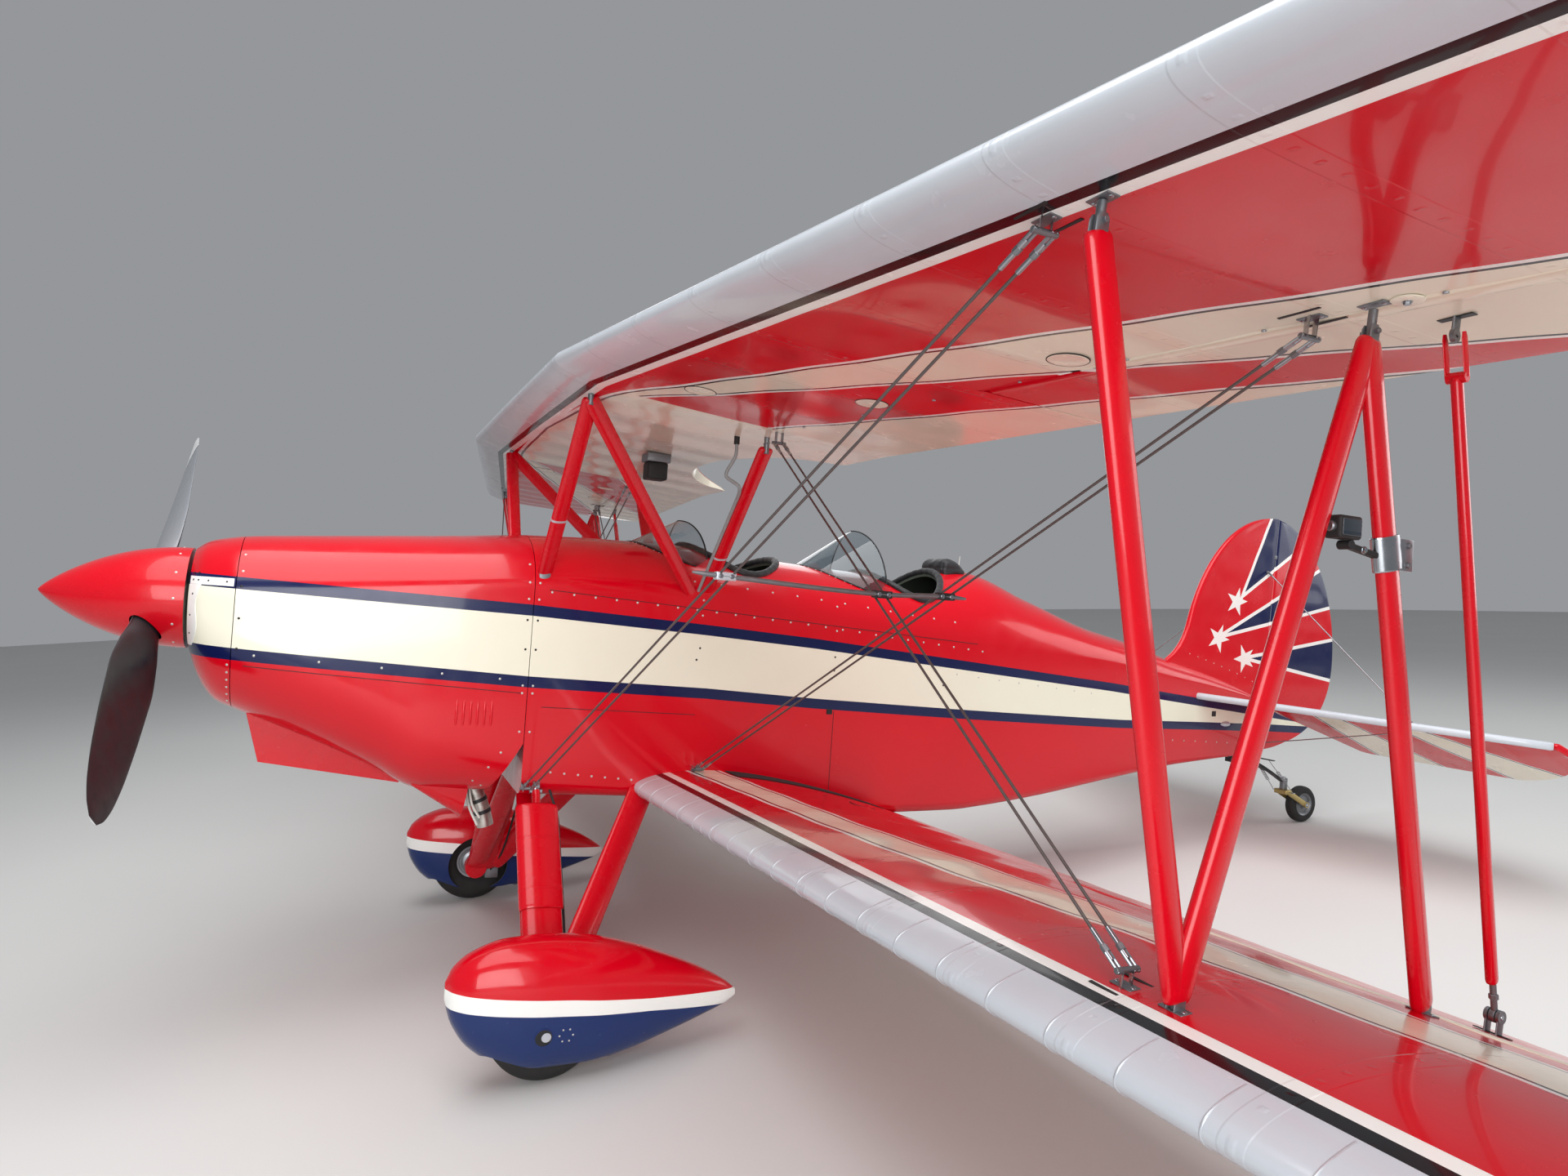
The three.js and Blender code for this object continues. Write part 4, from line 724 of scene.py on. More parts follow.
def sideAt(table, y, z, out=0):
    # a point of the port side at (y, z), and the outward normal there from small steps
    def across(y, z):
        # half width at a height: deck, upright side or rounded corner
        half, top, shoulder, belly, cornerX, cornerZ = smoothTable(table, y).T
        deck = half * np.sqrt(np.clip(1 - ((z - shoulder) / (top - shoulder)) ** 2, 0, 1))
        low = half - cornerX + cornerX * np.sqrt(np.clip(1 - ((belly + cornerZ - z) / cornerZ) ** 2, 0, 1))
        return np.where(z > shoulder, deck, np.where(z < belly + cornerZ, low, half))
    y, z = np.broadcast_arrays(np.atleast_1d(np.asarray(y, float)), np.asarray(z, float))
    d = 0.004
    normal = unit(np.stack([
        np.ones(len(y)), -(across(y + d, z) - across(y - d, z)) / (2 * d),
        -(across(y, z + d) - across(y, z - d)) / (2 * d)], -1))
    return np.stack([across(y, z), y, z], -1) + out * normal, normal


def stripeMaps(points):
    # heights above the stripe's two edges, read from their tables at y, and the point's own (y, z)
    y, z = points[:, 1], points[:, 2]
    tables = [np.interp(y, *np.array(stripes[name]).T) for name in ("top", "bottom")]
    return {"stripe": np.stack([z - tables[0], z - tables[1]], -1), "chart": np.stack([y, z], -1)}


def stripePattern(mat):
    # red, navy between the edges, cream inside the navy bands
    high, low = mapPair(mat, "stripe")
    navy = stripes["navy"]
    return painted(
        mat, vary(mat, paint["red"], 0.05, 300),
        ("navy", band(mat, high, -far, 0, band(mat, low, 0, far))),
        (vary(mat, paint["cream"], 0.02, 200), band(mat, high, -far, -navy, band(mat, low, navy, far))))


# glossy enamel with the long navy-edged cream stripe down each side
sideFinish = newMaterial(
    "striped fuselage enamel", stripePattern, (0.15, 0.28, 80), (orangePeel, 0.03), **glossyCoat)
# inside of the shell: grey-green primer, dull
primer = newMaterial("grey green primer", ("#4a5046", 0.12, 60), 0.7, (6, 0.1))
# inside of the cowl, seen from below: aluminium sheet painted near black as painted shade in its hollow
shadeDarkCowlSheet = newMaterial(
    "heat stained aluminium sheet", ("#221f1d", 0.2, 60), (0.5, 0.7, 30), Metallic=0.2)
bareSheet = newMaterial("bare aluminium sheet", ("#a9abab", 0.1, 50), (0.3, 0.5, 20), Metallic=1)


def bodyPiece(name, table, steps):
    # red outer skin of the body at its stations, with the maps of its stripe
    part = skin(bodyRings(body[table], steps))
    node = name.replace("_skin", "")
    return build(name, [(part, sideFinish)], slot="red_paint", replaces=node, maps=stripeMaps(part[0]))


def stations(start, end, pitch=0.03):
    # even steps, about a pitch apart
    return np.linspace(start, end, max(3, int((end - start) / pitch)))


bodySteps = stations(body["firewall"] + body["joint"], body["end"])
fuselage = bodyPiece("fuselage_skin", "fuselage", bodySteps)
cabin = skin(bodyRings(body["fuselage"], stations(*body["cabin"], 0.05), -body["wall"]))
turnAt = np.linspace(0, 2 * np.pi, 96, endpoint=False)


def wellCutter(cockpit):
    # oval prism through the deck
    y = cockpit["y"] + cockpit["halfLength"] * np.sin(turnAt)
    oval = np.stack([cockpit["halfWidth"] * np.cos(turnAt), y, 0 * turnAt], -1)
    return skin(np.array([oval, oval + (0, 0, 0.6)]))


carve(fuselage, [(part, primer) for part in (cabin, *map(wellCutter, cockpits.values()))])
print("fuselage built")

bowlSteps = np.concatenate([
    [0.01, 0.0125, 0.016, 0.021, 0.027, 0.035], stations(0.045, body["bowlEnd"] - body["joint"], 0.01)])
noseBowl = bodyPiece("nose_bowl_skin", "cowl", bowlSteps)
hollowRings = bodyRings(body["cowl"], np.array([0.016, 0.045, 0.1, 0.145]), -body["sheet"])
hollowRings[-1, :, 1] += 0.02
bowlHollow = skin(hollowRings)
oval = np.stack([0.0986 * np.cos(turnAt), 0 * turnAt, -0.25 + 0.0418 * np.sin(turnAt)], -1)
inlet = skin(np.array([oval + (0, -0.09, 0), oval + (0, 0.14, 0)]))
shaftHole = lathe([(0.064, 0), (0.064, 0.1)], (0, -0.03, 0), (0, 1, 0), 64)
carve(noseBowl, [(bowlHollow, bareSheet), (inlet, bareSheet), (shaftHole, bareSheet)])


def slab(outline, half, edge=0.0015):
    # an outline in (y, z) given thickness across: the outline at -half and +half with its corners eased
    p = np.asarray(outline, float)
    steps = [(-half, edge), (-half + edge, 0), (half - edge, 0), (half, edge)]
    middle = p.mean(0)
    rings = [np.column_stack([np.full(len(p), x), p + (middle - p) * inset / np.ptp(p, axis=0).min()])
             for x, inset in steps]
    return skin(np.array(rings))


cowlSteps = stations(body["bowlEnd"] + body["joint"], body["firewall"] - body["joint"], 0.02)
cowl = bodyPiece("engine_cowl_skin", "cowl", cowlSteps)
hollowRings = bodyRings(body["cowl"], cowlSteps, -body["sheet"])
hollowRings[0, :, 1] -= 0.01
hollowRings[-1, :, 1] += 0.01
bellyHole = roundBox((-0.194, 0.76, -0.82), (0.194, 1.14, -0.545), 0.012)
sideNotch = slab([(1.12, -0.405), (1.098, -0.44), (0.985, -0.64), (0.985, -0.76), (1.12, -0.76)], 0.5, 0)
# the hollow's faces take the near-black sheet, a painted shade inside the cowl
carve(cowl, [(skin(hollowRings), shadeDarkCowlSheet), (bellyHole, redEnamel), (sideNotch, redEnamel)])

# Flared lip under the cowl that draws the cooling air out: two lofted troughs, one in the other
outlet = {
    "headZ": -0.56, "half": 0.2,
    "rows": [(0.742, 0.742, -0.618, 0.02), (0.948, 0.918, -0.738, 0.06)]}


def lipRings(inset):
    # corner of a rounded trough: half - r + r cos t across, foot + r - r sin t up
    t = np.linspace(0, np.pi / 2, 10)
    blend = np.linspace(0, 1, 14)[:, None]
    rows = np.array(outlet["rows"])[0] * (1 - blend) + np.array(outlet["rows"])[1] * blend
    headY, footY, footZ, r = (column[:, None] for column in rows.T)
    half, foot = outlet["half"] - inset, footZ + inset
    x = np.concatenate([half + 0 * r, half - r + r * np.cos(t), 0 * r], 1)
    z = np.concatenate([outlet["headZ"] + 0 * r, foot + r - r * np.sin(t), foot], 1)
    x, z = np.concatenate([x, -x[:, -2::-1]], 1), np.concatenate([z, z[:, -2::-1]], 1)
    down = (z - outlet["headZ"]) / (footZ - outlet["headZ"])
    y = headY + (footY - headY) * down
    y[-1] += 0.02 if inset else 0
    return np.stack([x, y, z], -1)


lip = build("cowl_outlet_lip", [(skin(lipRings(0)), redEnamel)], slot="red_paint")
carve(lip, [(skin(lipRings(body["sheet"] * 0.6)), blackEnamel), (skin(hollowRings), blackEnamel)])

scoopOuter = [(0.17, -0.3), (0.196, -0.378), (0.244, -0.552), (0.706, -0.628), (0.706, -0.56), (0.5, -0.42)]
scoop = build(
    "chin_scoop_skin", [(slab(scoopOuter, 0.075, 0.002), redEnamel)], slot="red_paint",
    replaces="chin_scoop")
scoopInner = [(0.15, -0.33), (0.232, -0.546), (0.56, -0.597), (0.56, -0.5)]
overlap = skin(bodyRings(body["cowl"], cowlSteps, -0.003))
carve(scoop, [(slab(scoopInner, 0.07), blackEnamel), (overlap, blackEnamel)])

# Engine block, the one CAD node without a piece over it: dull grey metal with the grain of a sand casting
castMetal = newMaterial(
    "sand cast aluminium", ("#77797a", 0.2, 70), (0.45, 0.7, 40), (3, 0.4), Metallic=0.8)
for slot in frame["nodes"]["engine"].material_slots:
    slot.material = castMetal
print("cowl and nose built")

# Spinner: r sin(s^0.8 90 degrees) over its length, with an arched opening round each blade root
prop = {"radius": 0.92, "y": -0.11, "turn": 48.9, "spinnerRadius": 0.172, "spinnerLength": 0.432}
bladeRows = [
    (0.05, 0.08, 0.06, 46), (0.19, 0.112, 0.048, 40), (0.3, 0.165, 0.031, 34),
    (0.45, 0.21, 0.022, 28), (0.6, 0.212, 0.017, 24), (0.75, 0.2, 0.013, 21),
    (0.88, 0.165, 0.01, 19), (0.96, 0.11, 0.008, 18), (1, 0.045, 0.006, 17)]


def bladeRings(start, end, count, grow=0):
    # an oval section, sharper at its edges, turned by the pitch at each share of the radius
    share = 1 - (1 - start) * (1 - np.linspace(0, 1, count)) ** 1.4 - (1 - end)
    share = np.clip(start + (share - share[0]) * (end - start) / (share[-1] - share[0]), start, end)
    width, thick, pitch = smoothTable(bladeRows, share).T[:, :, None]
    t = np.linspace(0, 2 * np.pi, 40, endpoint=False)[None]
    chordwise = (width / 2 + grow) * np.cos(t)
    lean = 0.75 + 0.25 * np.abs(np.sin(t))
    across = (thick / 2 * (lean if not grow else 1) + grow) * np.sin(t)
    twist = -pitch * degree
    x = chordwise * np.cos(twist) - across * np.sin(twist)
    y = chordwise * np.sin(twist) + across * np.cos(twist)
    z = np.broadcast_to(-share[:, None] * prop["radius"], x.shape)
    return np.stack([x, y, z], -1), np.stack([z * 0 + share[:, None], z * 0 + np.sin(t)], -1)


def onBlades(part):
    # a part on the first blade, turned about the shaft to both blades
    return [shiftPart(turnPart(part, (0, 1, 0), -(prop["turn"] + k) * degree, (0, 0, 0)), (0, prop["y"], 0))
            for k in (0, 180)]


def ogive(radius, length, start=0.003):
    # rows of radius sin(s^0.8 90 degrees) and -length (1 - s)
    s = np.linspace(start, 1, 60)
    return np.stack([radius * np.sin(s ** 0.8 * np.pi / 2), -length * (1 - s)], -1)


# dark grey composite: matt black behind, silver grey in front with a white tip and a fine line
def bladePattern(mat):
    # bands go by the share of the span, black or grey by the face
    share, face = mapPair(mat, "blade")
    front = painted(
        mat, vary(mat, "#8b8e93", 0.06, 60), ("#d9dadb", band(mat, share, 0.86, 2)),
        ("#3b3c40", band(mat, share, 0.852, 0.86)))
    edge = addNode(mat, "MapRange", {0: face, 1: 0.01, 2: -0.01, 3: 0, 4: 1})
    return painted(mat, vary(mat, "#1c1c1f", 0.25, 80), (front, edge))


bladeFinish = newMaterial("satin propeller paint", bladePattern, (0.36, 0.55, 50), (2, 0.02))
rings, chart = bladeRings(0.05, 0.999, 70)
blades = onBlades(skin(rings))
hub = lathe(
    [(0.058, -0.07), (0.0615, -0.066), (0.0615, 0.1), (0.058, 0.104)], (0, prop["y"], 0), (0, 1, 0),
    48)
build(
    "propeller_blades", [(blades[0], bladeFinish), (blades[1], bladeFinish), (hub, blackEnamel)],
    "propeller", "black_enamel", "propeller",
    maps={"blade": np.vstack([capped(chart), capped(chart), np.zeros((len(hub[0]), 2))])})

spinnerPart = lathe(ogive(prop["spinnerRadius"], prop["spinnerLength"]), (0, -0.002, 0), (0, 1, 0), 96)
spinner = build("spinner_shell", [(spinnerPart, redEnamel)], "propeller", "red_paint", "spinner")
innerRadius = prop["spinnerRadius"] - 0.005
innerRows = np.vstack([ogive(innerRadius, prop["spinnerLength"] - 0.014, 0.02), [(innerRadius, 0.01)]])
inner = lathe(innerRows, (0, -0.002, 0), (0, 1, 0), 96)
roots = onBlades(skin(bladeRings(0.05, 0.33, 12, 0.006)[0]))
carve(spinner, [(inner, blackEnamel), (joinParts(roots), blackEnamel)])
plate = lathe(
    [(0.0625, -0.012), (0.169, -0.012), (0.171, -0.01), (0.171, -0.001), (0.169, 0), (0.0625, 0)],
    (0, -0.003, 0), (0, 1, 0), 96, loop=True)
build("spinner_back_plate", [(plate, bareSheet)], "propeller", "red_paint")
print("propeller and spinner built")

tail = {
    "foot": (4.5, -0.2), "lean": math.atan(0.079), "hinge": 0.64, "trail": 1.0934, "thick": 0.034,
    "nose": 0.0148, "gap": 0.006, "droop": -22.5, "edge": 0.034, "ribPitch": 0.16, "sag": 0.0012,
    # stripe edges under the elevator: span and distance aft of the hinge, from and to
    "lines": [((0.386, 0.046), (0.472, 0.445)), ((0.552, 0.038), (0.81, 0.455)),
              ((0.857, 0.075), (1.09, 0.394)), ((0.999, 0.041), (1.335, 0.272))],
    "rudderFoot": (5.192, -0.505), "rudderHead": (5.252, 0.79),
}


def bezier(points, count=60):
    # Bernstein sum of the points at even steps of t
    p, t = np.asarray(points, float), np.linspace(0, 1, count)[:, None]
    n = len(p) - 1
    return sum(math.comb(n, k) * (1 - t) ** (n - k) * t ** k * p[k] for k in range(n + 1))


def onTail(x, run, height):
    # aft along the tailplane's plane, which falls towards the tail, and up from it
    y = tail["foot"][0] + run * math.cos(tail["lean"]) + height * math.sin(tail["lean"])
    z = tail["foot"][1] - run * math.sin(tail["lean"]) + height * math.cos(tail["lean"])
    return np.stack(np.broadcast_arrays(x, y, z), -1)


def leaf(span, start, end, noseRadius, tailRadius, halfThick, edgeThick, taper=0.35):
    # flat surface between start and end at each span: half thickness falls from halfThick to edgeThick
    # over the rear, times a quarter circle within a radius of each edge; fabric sinks between ribs
    s = 0.5 - 0.5 * np.cos(np.linspace(0, np.pi, 40))[None]
    start, end = start[:, None], end[:, None]
    along = start + s * (end - start)
    curve = [np.sqrt(np.clip(1 - (1 - np.clip(d / r, 0, 1)) ** 2, 0, 1))
             for d, r in ((along - start, noseRadius), (end - along, tailRadius))]
    fall = np.clip((s - taper) / (1 - taper), 0, 1)
    inner = np.clip((along - start - 0.03) / 0.05, 0, 1) * np.clip((end - along - 0.03) / 0.05, 0, 1)
    hollow = tail["sag"] * inner * np.sin(np.pi * span[:, None] / tail["ribPitch"]) ** 2
    half = (halfThick + (edgeThick - halfThick) * fall - hollow) * curve[0] * curve[1]
    half = np.maximum(half, 0.0002)
    along = np.concatenate([along, along[:, ::-1]], 1)
    half = np.concatenate([half, -half[:, ::-1]], 1)
    return np.broadcast_to(span[:, None], along.shape), along, half


leading = np.vstack([
    [(0, 0.02)], [(1, 0.31)],
    bezier([(1, 0.31), (1.28, 0.395), (1.53, 0.52), (1.53, 0.72)])[1:]])
trailing = np.vstack([
    [(0, tail["trail"])], bezier([(1.53, 0.72), (1.52, 0.82), (1.4, 1.02), (1.15, 1.093)])[::-1]])
outerX = 1.53 * np.sin(np.linspace(0, 0.4985 * np.pi, 60))


def tailMaps(span, along):
    # distances past each stripe line, and distance in from the leading edge
    x, aft = np.abs(span), along - tail["hinge"]
    rows = []
    for (x1, a1), (x2, a2) in tail["lines"]:
        way = np.array([x2 - x1, a2 - a1]) / math.hypot(x2 - x1, a2 - a1)
        rows.append((x - x1) * way[1] - (aft - a1) * way[0])
    inward = along - np.interp(x, *leading.T)
    return {"inner": np.stack(rows[:2], -1), "outer": np.stack(rows[2:], -1),
            "rim": np.stack([inward, x], -1)}


def leafPiece(name, rings, maps, finish, **more):
    # a tail surface, its maps carried to the skin's points
    chart = {key: capped(value) for key, value in maps.items()}
    return build(name, [(skin(rings), finish)], slot="red_paint", maps=chart, **more)


def elevatorPattern(mat):
    # two cream fans, and a black line on a white one along each of their edges
    fans = [mapPair(mat, name) for name in ("inner", "outer")]
    ground = vary(mat, paint["red"], 0.06, 200)
    for start, end in fans:
        inFan = band(mat, start, 0, far, band(mat, end, -far, 0))
        ground = painted(mat, ground, ("cream", inFan))
    for line in (*fans[0], *fans[1]):
        ground = painted(
            mat, ground, ("white", band(mat, line, -0.012, 0.012)),
            ("black", band(mat, line, -0.005, 0.005)))
    return ground


def stabiliserPattern(mat):
    # silver leading edge, then a black and a white line 9 mm wide
    inward, edge = mapPair(mat, "rim")[0], tail["edge"]
    return painted(
        mat, vary(mat, paint["red"], 0.06, 200), ("white", band(mat, inward, -1, edge + 0.018)),
        ("black", band(mat, inward, -1, edge + 0.009)),
        (vary(mat, paint["silver"], 0.04, 100), band(mat, inward, -1, edge)))


def tailTapes(mat):
    # tapes over the ribs, their edges eased over 2.5 mm
    near = addNode(mat, "Math", {0: mapPair(mat, "rim")[1], 1: tail["ribPitch"] / 2}, operation="PINGPONG")
    return addNode(mat, "MapRange", {0: near, 1: 0.016, 2: 0.0135, 3: 0, 4: 1})


# doped fabric of the tail with the wings' fans of cream and red
elevatorFinish = newMaterial(
    "glossy dope on elevator fabric", elevatorPattern, (0.18, 0.32, 90), (tailTapes, 0.4), **glossyCoat)
stabiliserFinish = newMaterial(
    "glossy dope on stabiliser fabric", stabiliserPattern, (0.18, 0.32, 90), (tailTapes, 0.4),
    **glossyCoat)
acrossX = np.concatenate([-outerX[:0:-1], outerX])
front, last = np.interp(np.abs(acrossX), *leading.T), tail["hinge"] - tail["nose"] - tail["gap"]
reached = front < last - 0.004
span, along, half = leaf(
    acrossX[reached], front[reached], np.maximum(last, front + 0.001)[reached], 0.017, 0.002,
    tail["thick"] / 2, tail["thick"] / 2)
leafPiece(
    "stabiliser_skin", onTail(span, along, half), tailMaps(span, along), stabiliserFinish,
    replaces="stabiliser")

portX = 0.066 + (1.53 - 0.066) * np.sin(np.linspace(0, 0.4985 * np.pi, 60))
rear = np.minimum(
    np.interp(portX, *trailing.T),
    np.where(portX > 0.385, 9, 0.67 + (portX - 0.066) * (1.1534 - 0.67) / (0.43 - 0.066)))
span, along, half = leaf(
    portX, np.maximum(tail["hinge"] - tail["nose"], np.interp(portX, *leading.T)), rear, tail["nose"],
    0.006, tail["thick"] / 2 - 0.002, 0.006)
level = onTail(span, along, half)
hingeAt = onTail(0, tail["hinge"], 0)
torqueTube = lathe([(0.0125, -0.12), (0.013, -0.118), (0.013, 0.118), (0.0125, 0.12)], hingeAt, (1, 0, 0), 32)
drooped = [turnPart(part, (1, 0, 0), tail["droop"] * degree, hingeAt)
           for part in (skin(level), mirrorPart(skin(level)), torqueTube)]
unpainted = np.full((len(torqueTube[0]), 2), -1)
build(
    "elevator_skin", [(part, elevatorFinish) for part in drooped], "elevator", "red_paint", "elevator",
    maps={key: np.vstack([capped(value), capped(value), unpainted])
          for key, value in tailMaps(span, along).items()})

# Fin and rudder: leaves that stand upright, with rays that run back from three stars
finFront = np.vstack([
    [(4.38, -0.12), (4.44, -0.04)], bezier([(4.44, -0.04), (4.56, 0.02), (4.6, 0.16)])[1:],
    bezier([(4.6, 0.16), (4.69, 0.56), (4.95, 0.79), (5.215, 0.79)])[1:]])
finRear = np.vstack([
    bezier([(5.215, 0.79), (5.47, 0.78), (5.7555, 0.46), (5.7555, 0)])[:-1],
    bezier([(5.7555, 0), (5.7555, -0.3), (5.56, -0.42), (5.4, -0.462)])[:-1],
    bezier([(5.4, -0.462), (5.3, -0.5), (5.185, -0.508)])
])[::-1]
stars = {
    "radius": 0.082, "places": [((4.943, 0.307), 5), ((4.823, 0.1), -3), ((5.027, -0.002), 40)],
    "line": 0.0095,
    "rays": [
        ((4.986, 0.351), (5.17, 0.781)), ((5.002, 0.352), (5.376, 0.608)),
        ((4.866, 0.132), (5.617, 0.539)), ((4.882, 0.121), (5.706, 0.321)),
        ((5.073, 0.011), (5.729, 0.133)), ((5.08, -0.008), (5.703, -0.096))]}


def dotWith(mat, chart, way, origin):
    # (p - origin) . way for a point p of the chart
    product = addNode(mat, "VectorMath", {0: chart, 1: (*way, 0)}, operation="DOT_PRODUCT")
    offset = float(np.dot(way, origin))
    return addNode(mat, "Math", {0: product.outputs["Value"], 1: offset}, operation="SUBTRACT")


def starMask(mat, chart, centre, turn):
    # inside a five-pointed star where at least four of its five edges lie further out than the point
    passed, edge = None, stars["radius"] * math.cos(72 * degree)
    for k in range(5):
        angle = (turn + 72 * k) * degree
        out = dotWith(mat, chart, (math.cos(angle), math.sin(angle)), centre)
        under = addNode(mat, "Math", {0: out, 1: edge}, operation="LESS_THAN")
        passed = addNode(mat, "Math", {0: passed, 1: under}, operation="ADD") if passed else under
    return addNode(mat, "Math", {0: passed, 1: 3.5}, operation="GREATER_THAN")


def finPattern(mat):
    # navy between pairs of rays measured along and across their lines, white rays and stars over it
    chart = addNode(mat, "UVMap", uv_map="chart")
    ground = stripePattern(mat)
    measured = []
    for start, end in stars["rays"]:
        way = np.subtract(end, start) / math.hypot(*np.subtract(end, start))
        measured.append((dotWith(mat, chart, (-way[1], way[0]), start), dotWith(mat, chart, way, start)))
    for above, below in ((0, 1), (2, 3), (4, 5)):
        ahead = band(mat, measured[above][1], 0, far)
        inside = band(mat, measured[below][0], 0, far, ahead)
        inside = band(mat, measured[above][0], -far, 0, inside)
        ground = painted(mat, ground, ("navy", inside))
    for across, along in measured:
        ray = band(mat, across, -stars["line"], stars["line"], band(mat, along, -0.03, far))
        ground = painted(mat, ground, ("white", ray))
    for centre, turn in stars["places"]:
        ground = painted(mat, ground, ("white", starMask(mat, chart, centre, turn)))
    return ground


# enamel over doped fabric: white stars and rays with navy between them
finFinish = newMaterial(
    "starred fin enamel", finPattern, (0.18, 0.32, 90), (orangePeel, 0.03), **glossyCoat)


def hingeLine(z):
    # y of the hinge at height z, on the line from its foot to its head
    (y1, z1), (y2, z2) = tail["rudderFoot"], tail["rudderHead"]
    return y1 + (z - z1) * (y2 - y1) / (z2 - z1)


def uprightLeaf(name, levels, front, rear, noseRadius, tailRadius, thick, edge, **more):
    # a leaf stood upright: half thickness across, its width aft, its span up
    span, along, half = leaf(levels, front, rear, noseRadius, tailRadius, thick, edge)
    rings = np.stack([half, along, span], -1)
    return build(name, [(skin(rings), finFinish)], slot="red_paint", maps=stripeMaps(capped(rings)), **more)


rise = np.linspace(0, 1, 70)
levels = -0.262 + (0.7895 + 0.262) * np.sin(rise * np.pi / 2)
front = np.where(
    levels < -0.12, 4.9 + (levels + 0.262) * (4.38 - 4.9) / 0.142, np.interp(levels, *finFront.T[::-1]))
uprightLeaf(
    "fin_skin", levels, front,
    np.maximum(hingeLine(levels) - tail["nose"] - tail["gap"], front + 0.004), 0.017, 0.002,
    tail["thick"] / 2, tail["thick"] / 2, replaces="fin")
levels = 0.1415 - 0.6475 * np.cos(np.linspace(0.012, 0.988, 110) * np.pi)
rear = np.interp(levels, *finRear.T[::-1])
uprightLeaf(
    "rudder_skin", levels, np.minimum(hingeLine(levels) - tail["nose"], rear - 0.004), rear,
    tail["nose"], 0.006, tail["thick"] / 2 - 0.002, 0.006, body="rudder", replaces="rudder")
print("tail built")

gear = {
    "wheel": ownPlaces["wheel"], "knuckle": (0.78, 1.12, -1.185), "frontTop": (0.345, 1.152, -0.61),
    "rearTop": (0.345, 1.545, -0.61), "innerTop": (0.12, 1.16, -0.6), "frontFoot": (0.78, 1.148, -1.185),
    "rearFoot": (0.772, 1.186, -1.171), "shroud": (0.08, 0.6),
    # y, half width, top, bottom of the wheel fairing
    "spat": [(0.822, 0.012, -1.05, -1.1), (0.842, 0.048, -1.012, -1.165), (0.895, 0.084, -0.972, -1.24),
             (0.99, 0.108, -0.942, -1.3), (1.1, 0.118, -0.936, -1.328), (1.23, 0.118, -0.946, -1.326),
             (1.37, 0.104, -0.978, -1.3), (1.5, 0.08, -1.024, -1.262), (1.62, 0.051, -1.076, -1.224),
             (1.7, 0.027, -1.122, -1.196), (1.738, 0.009, -1.152, -1.176)],
    "fuller": 0.8, "sheet": 0.006, "axleFrom": 0.8124, "knuckleFrom": 0.752, "brakeHole": 0.131,
    # white line's edges as (y, z)
    "spatTop": [
        (0.8, -1.064), (0.837, -1.066), (1.172, -1.092), (1.426, -1.12), (1.718, -1.146), (1.76, -1.15)],
    "spatBottom": [
        (0.8, -1.113), (0.837, -1.115), (1.172, -1.139), (1.426, -1.158), (1.718, -1.194), (1.76, -1.198)],
}


def spatRings(y, shrink=0):
    # superellipse whose cosine and sine are raised to the power "fuller", round the middle height
    half, top, bottom = smoothTable(gear["spat"], y).T[:, :, None]
    t = np.linspace(0, 2 * np.pi, 72, endpoint=False)[None]
    full = [np.sign(v) * np.abs(v) ** gear["fuller"] for v in (np.cos(t), np.sin(t))]
    x = gear["wheel"][0] + (half - shrink) * full[0]
    z = (top + bottom) / 2 + ((top - bottom) / 2 - shrink) * full[1]
    return np.stack([x, np.broadcast_to(y[:, None], x.shape), z], -1)


def spatMap(points):
    # heights above the white line's two edges
    tables = [np.interp(points[:, 1], *np.array(gear[name]).T) for name in ("spatTop", "spatBottom")]
    return {"stripe": points[:, 2:3] - np.stack(tables, -1)}


def spatPattern(mat):
    # red above, a white line, navy below
    high, low = mapPair(mat, "stripe")
    return painted(
        mat, vary(mat, paint["red"], 0.05, 200), ("white", band(mat, high, -far, 0)),
        (vary(mat, "#0c2860", 0.08, 100), band(mat, low, -far, 0)))


# moulded fairing: red over navy with a white line between, glossy
spatFinish = newMaterial(
    "two tone fairing enamel", spatPattern, (0.14, 0.3, 60), (orangePeel, 0.03), **glossyCoat)
# rough resin inside the fairings
resin = newMaterial("grey glass fibre resin", ("#5c5a55", 0.2, 25), 0.8, (4, 0.3))
s = np.linspace(0, 1, 60)
spatFrom, spatTo = gear["spat"][0][0], gear["spat"][-1][0]
spatY = spatFrom + (spatTo - spatFrom) * (0.5 - 0.5 * np.cos(np.pi * s)) ** 0.9
spatPart = skin(spatRings(spatY))
spat = build(
    "wheel_spat_skin_left", [(spatPart, spatFinish)], slot="red_paint", replaces="wheel_spat_left",
    maps=spatMap(spatPart[0]))
brake = gear["wheel"][1] + 0.014, gear["wheel"][2]
hollow = skin(spatRings(np.linspace(0.852, 1.7, 40), gear["sheet"]))
wheelSlot = roundBox((0.836, 0.925, -1.42), (0.984, 1.32, -1.236), 0.035)
brakeHole = lathe([(gear["brakeHole"], 0), (gear["brakeHole"], 0.12)], (0.76, *brake), (1, 0, 0), 80)
carve(spat, [(part, resin) for part in (hollow, wheelSlot, brakeHole)])
twin(spat)

tyre = {
    "profile": [
        (0.0735, 0.046), (0.08, 0.052), (0.092, 0.0555), (0.118, 0.0605), (0.142, 0.0608),
        (0.158, 0.053), (0.1685, 0.0405), (0.174, 0.0315), (0.1745, 0.03), (0.1705, 0.029),
        (0.1705, 0.025), (0.1755, 0.024), (0.1775, 0.0135), (0.1738, 0.0125), (0.1738, 0.0085),
        (0.1782, 0.0075), (0.1793, 0)],
    "bead": [(0.066, -0.04), (0.066, 0.04)],
}
tyreRound = np.vstack([bothHalves(tyre["profile"]), tyre["bead"]])
tyrePart = lathe(tyreRound, gear["wheel"], (1, 0, 0), 96, loop=True)
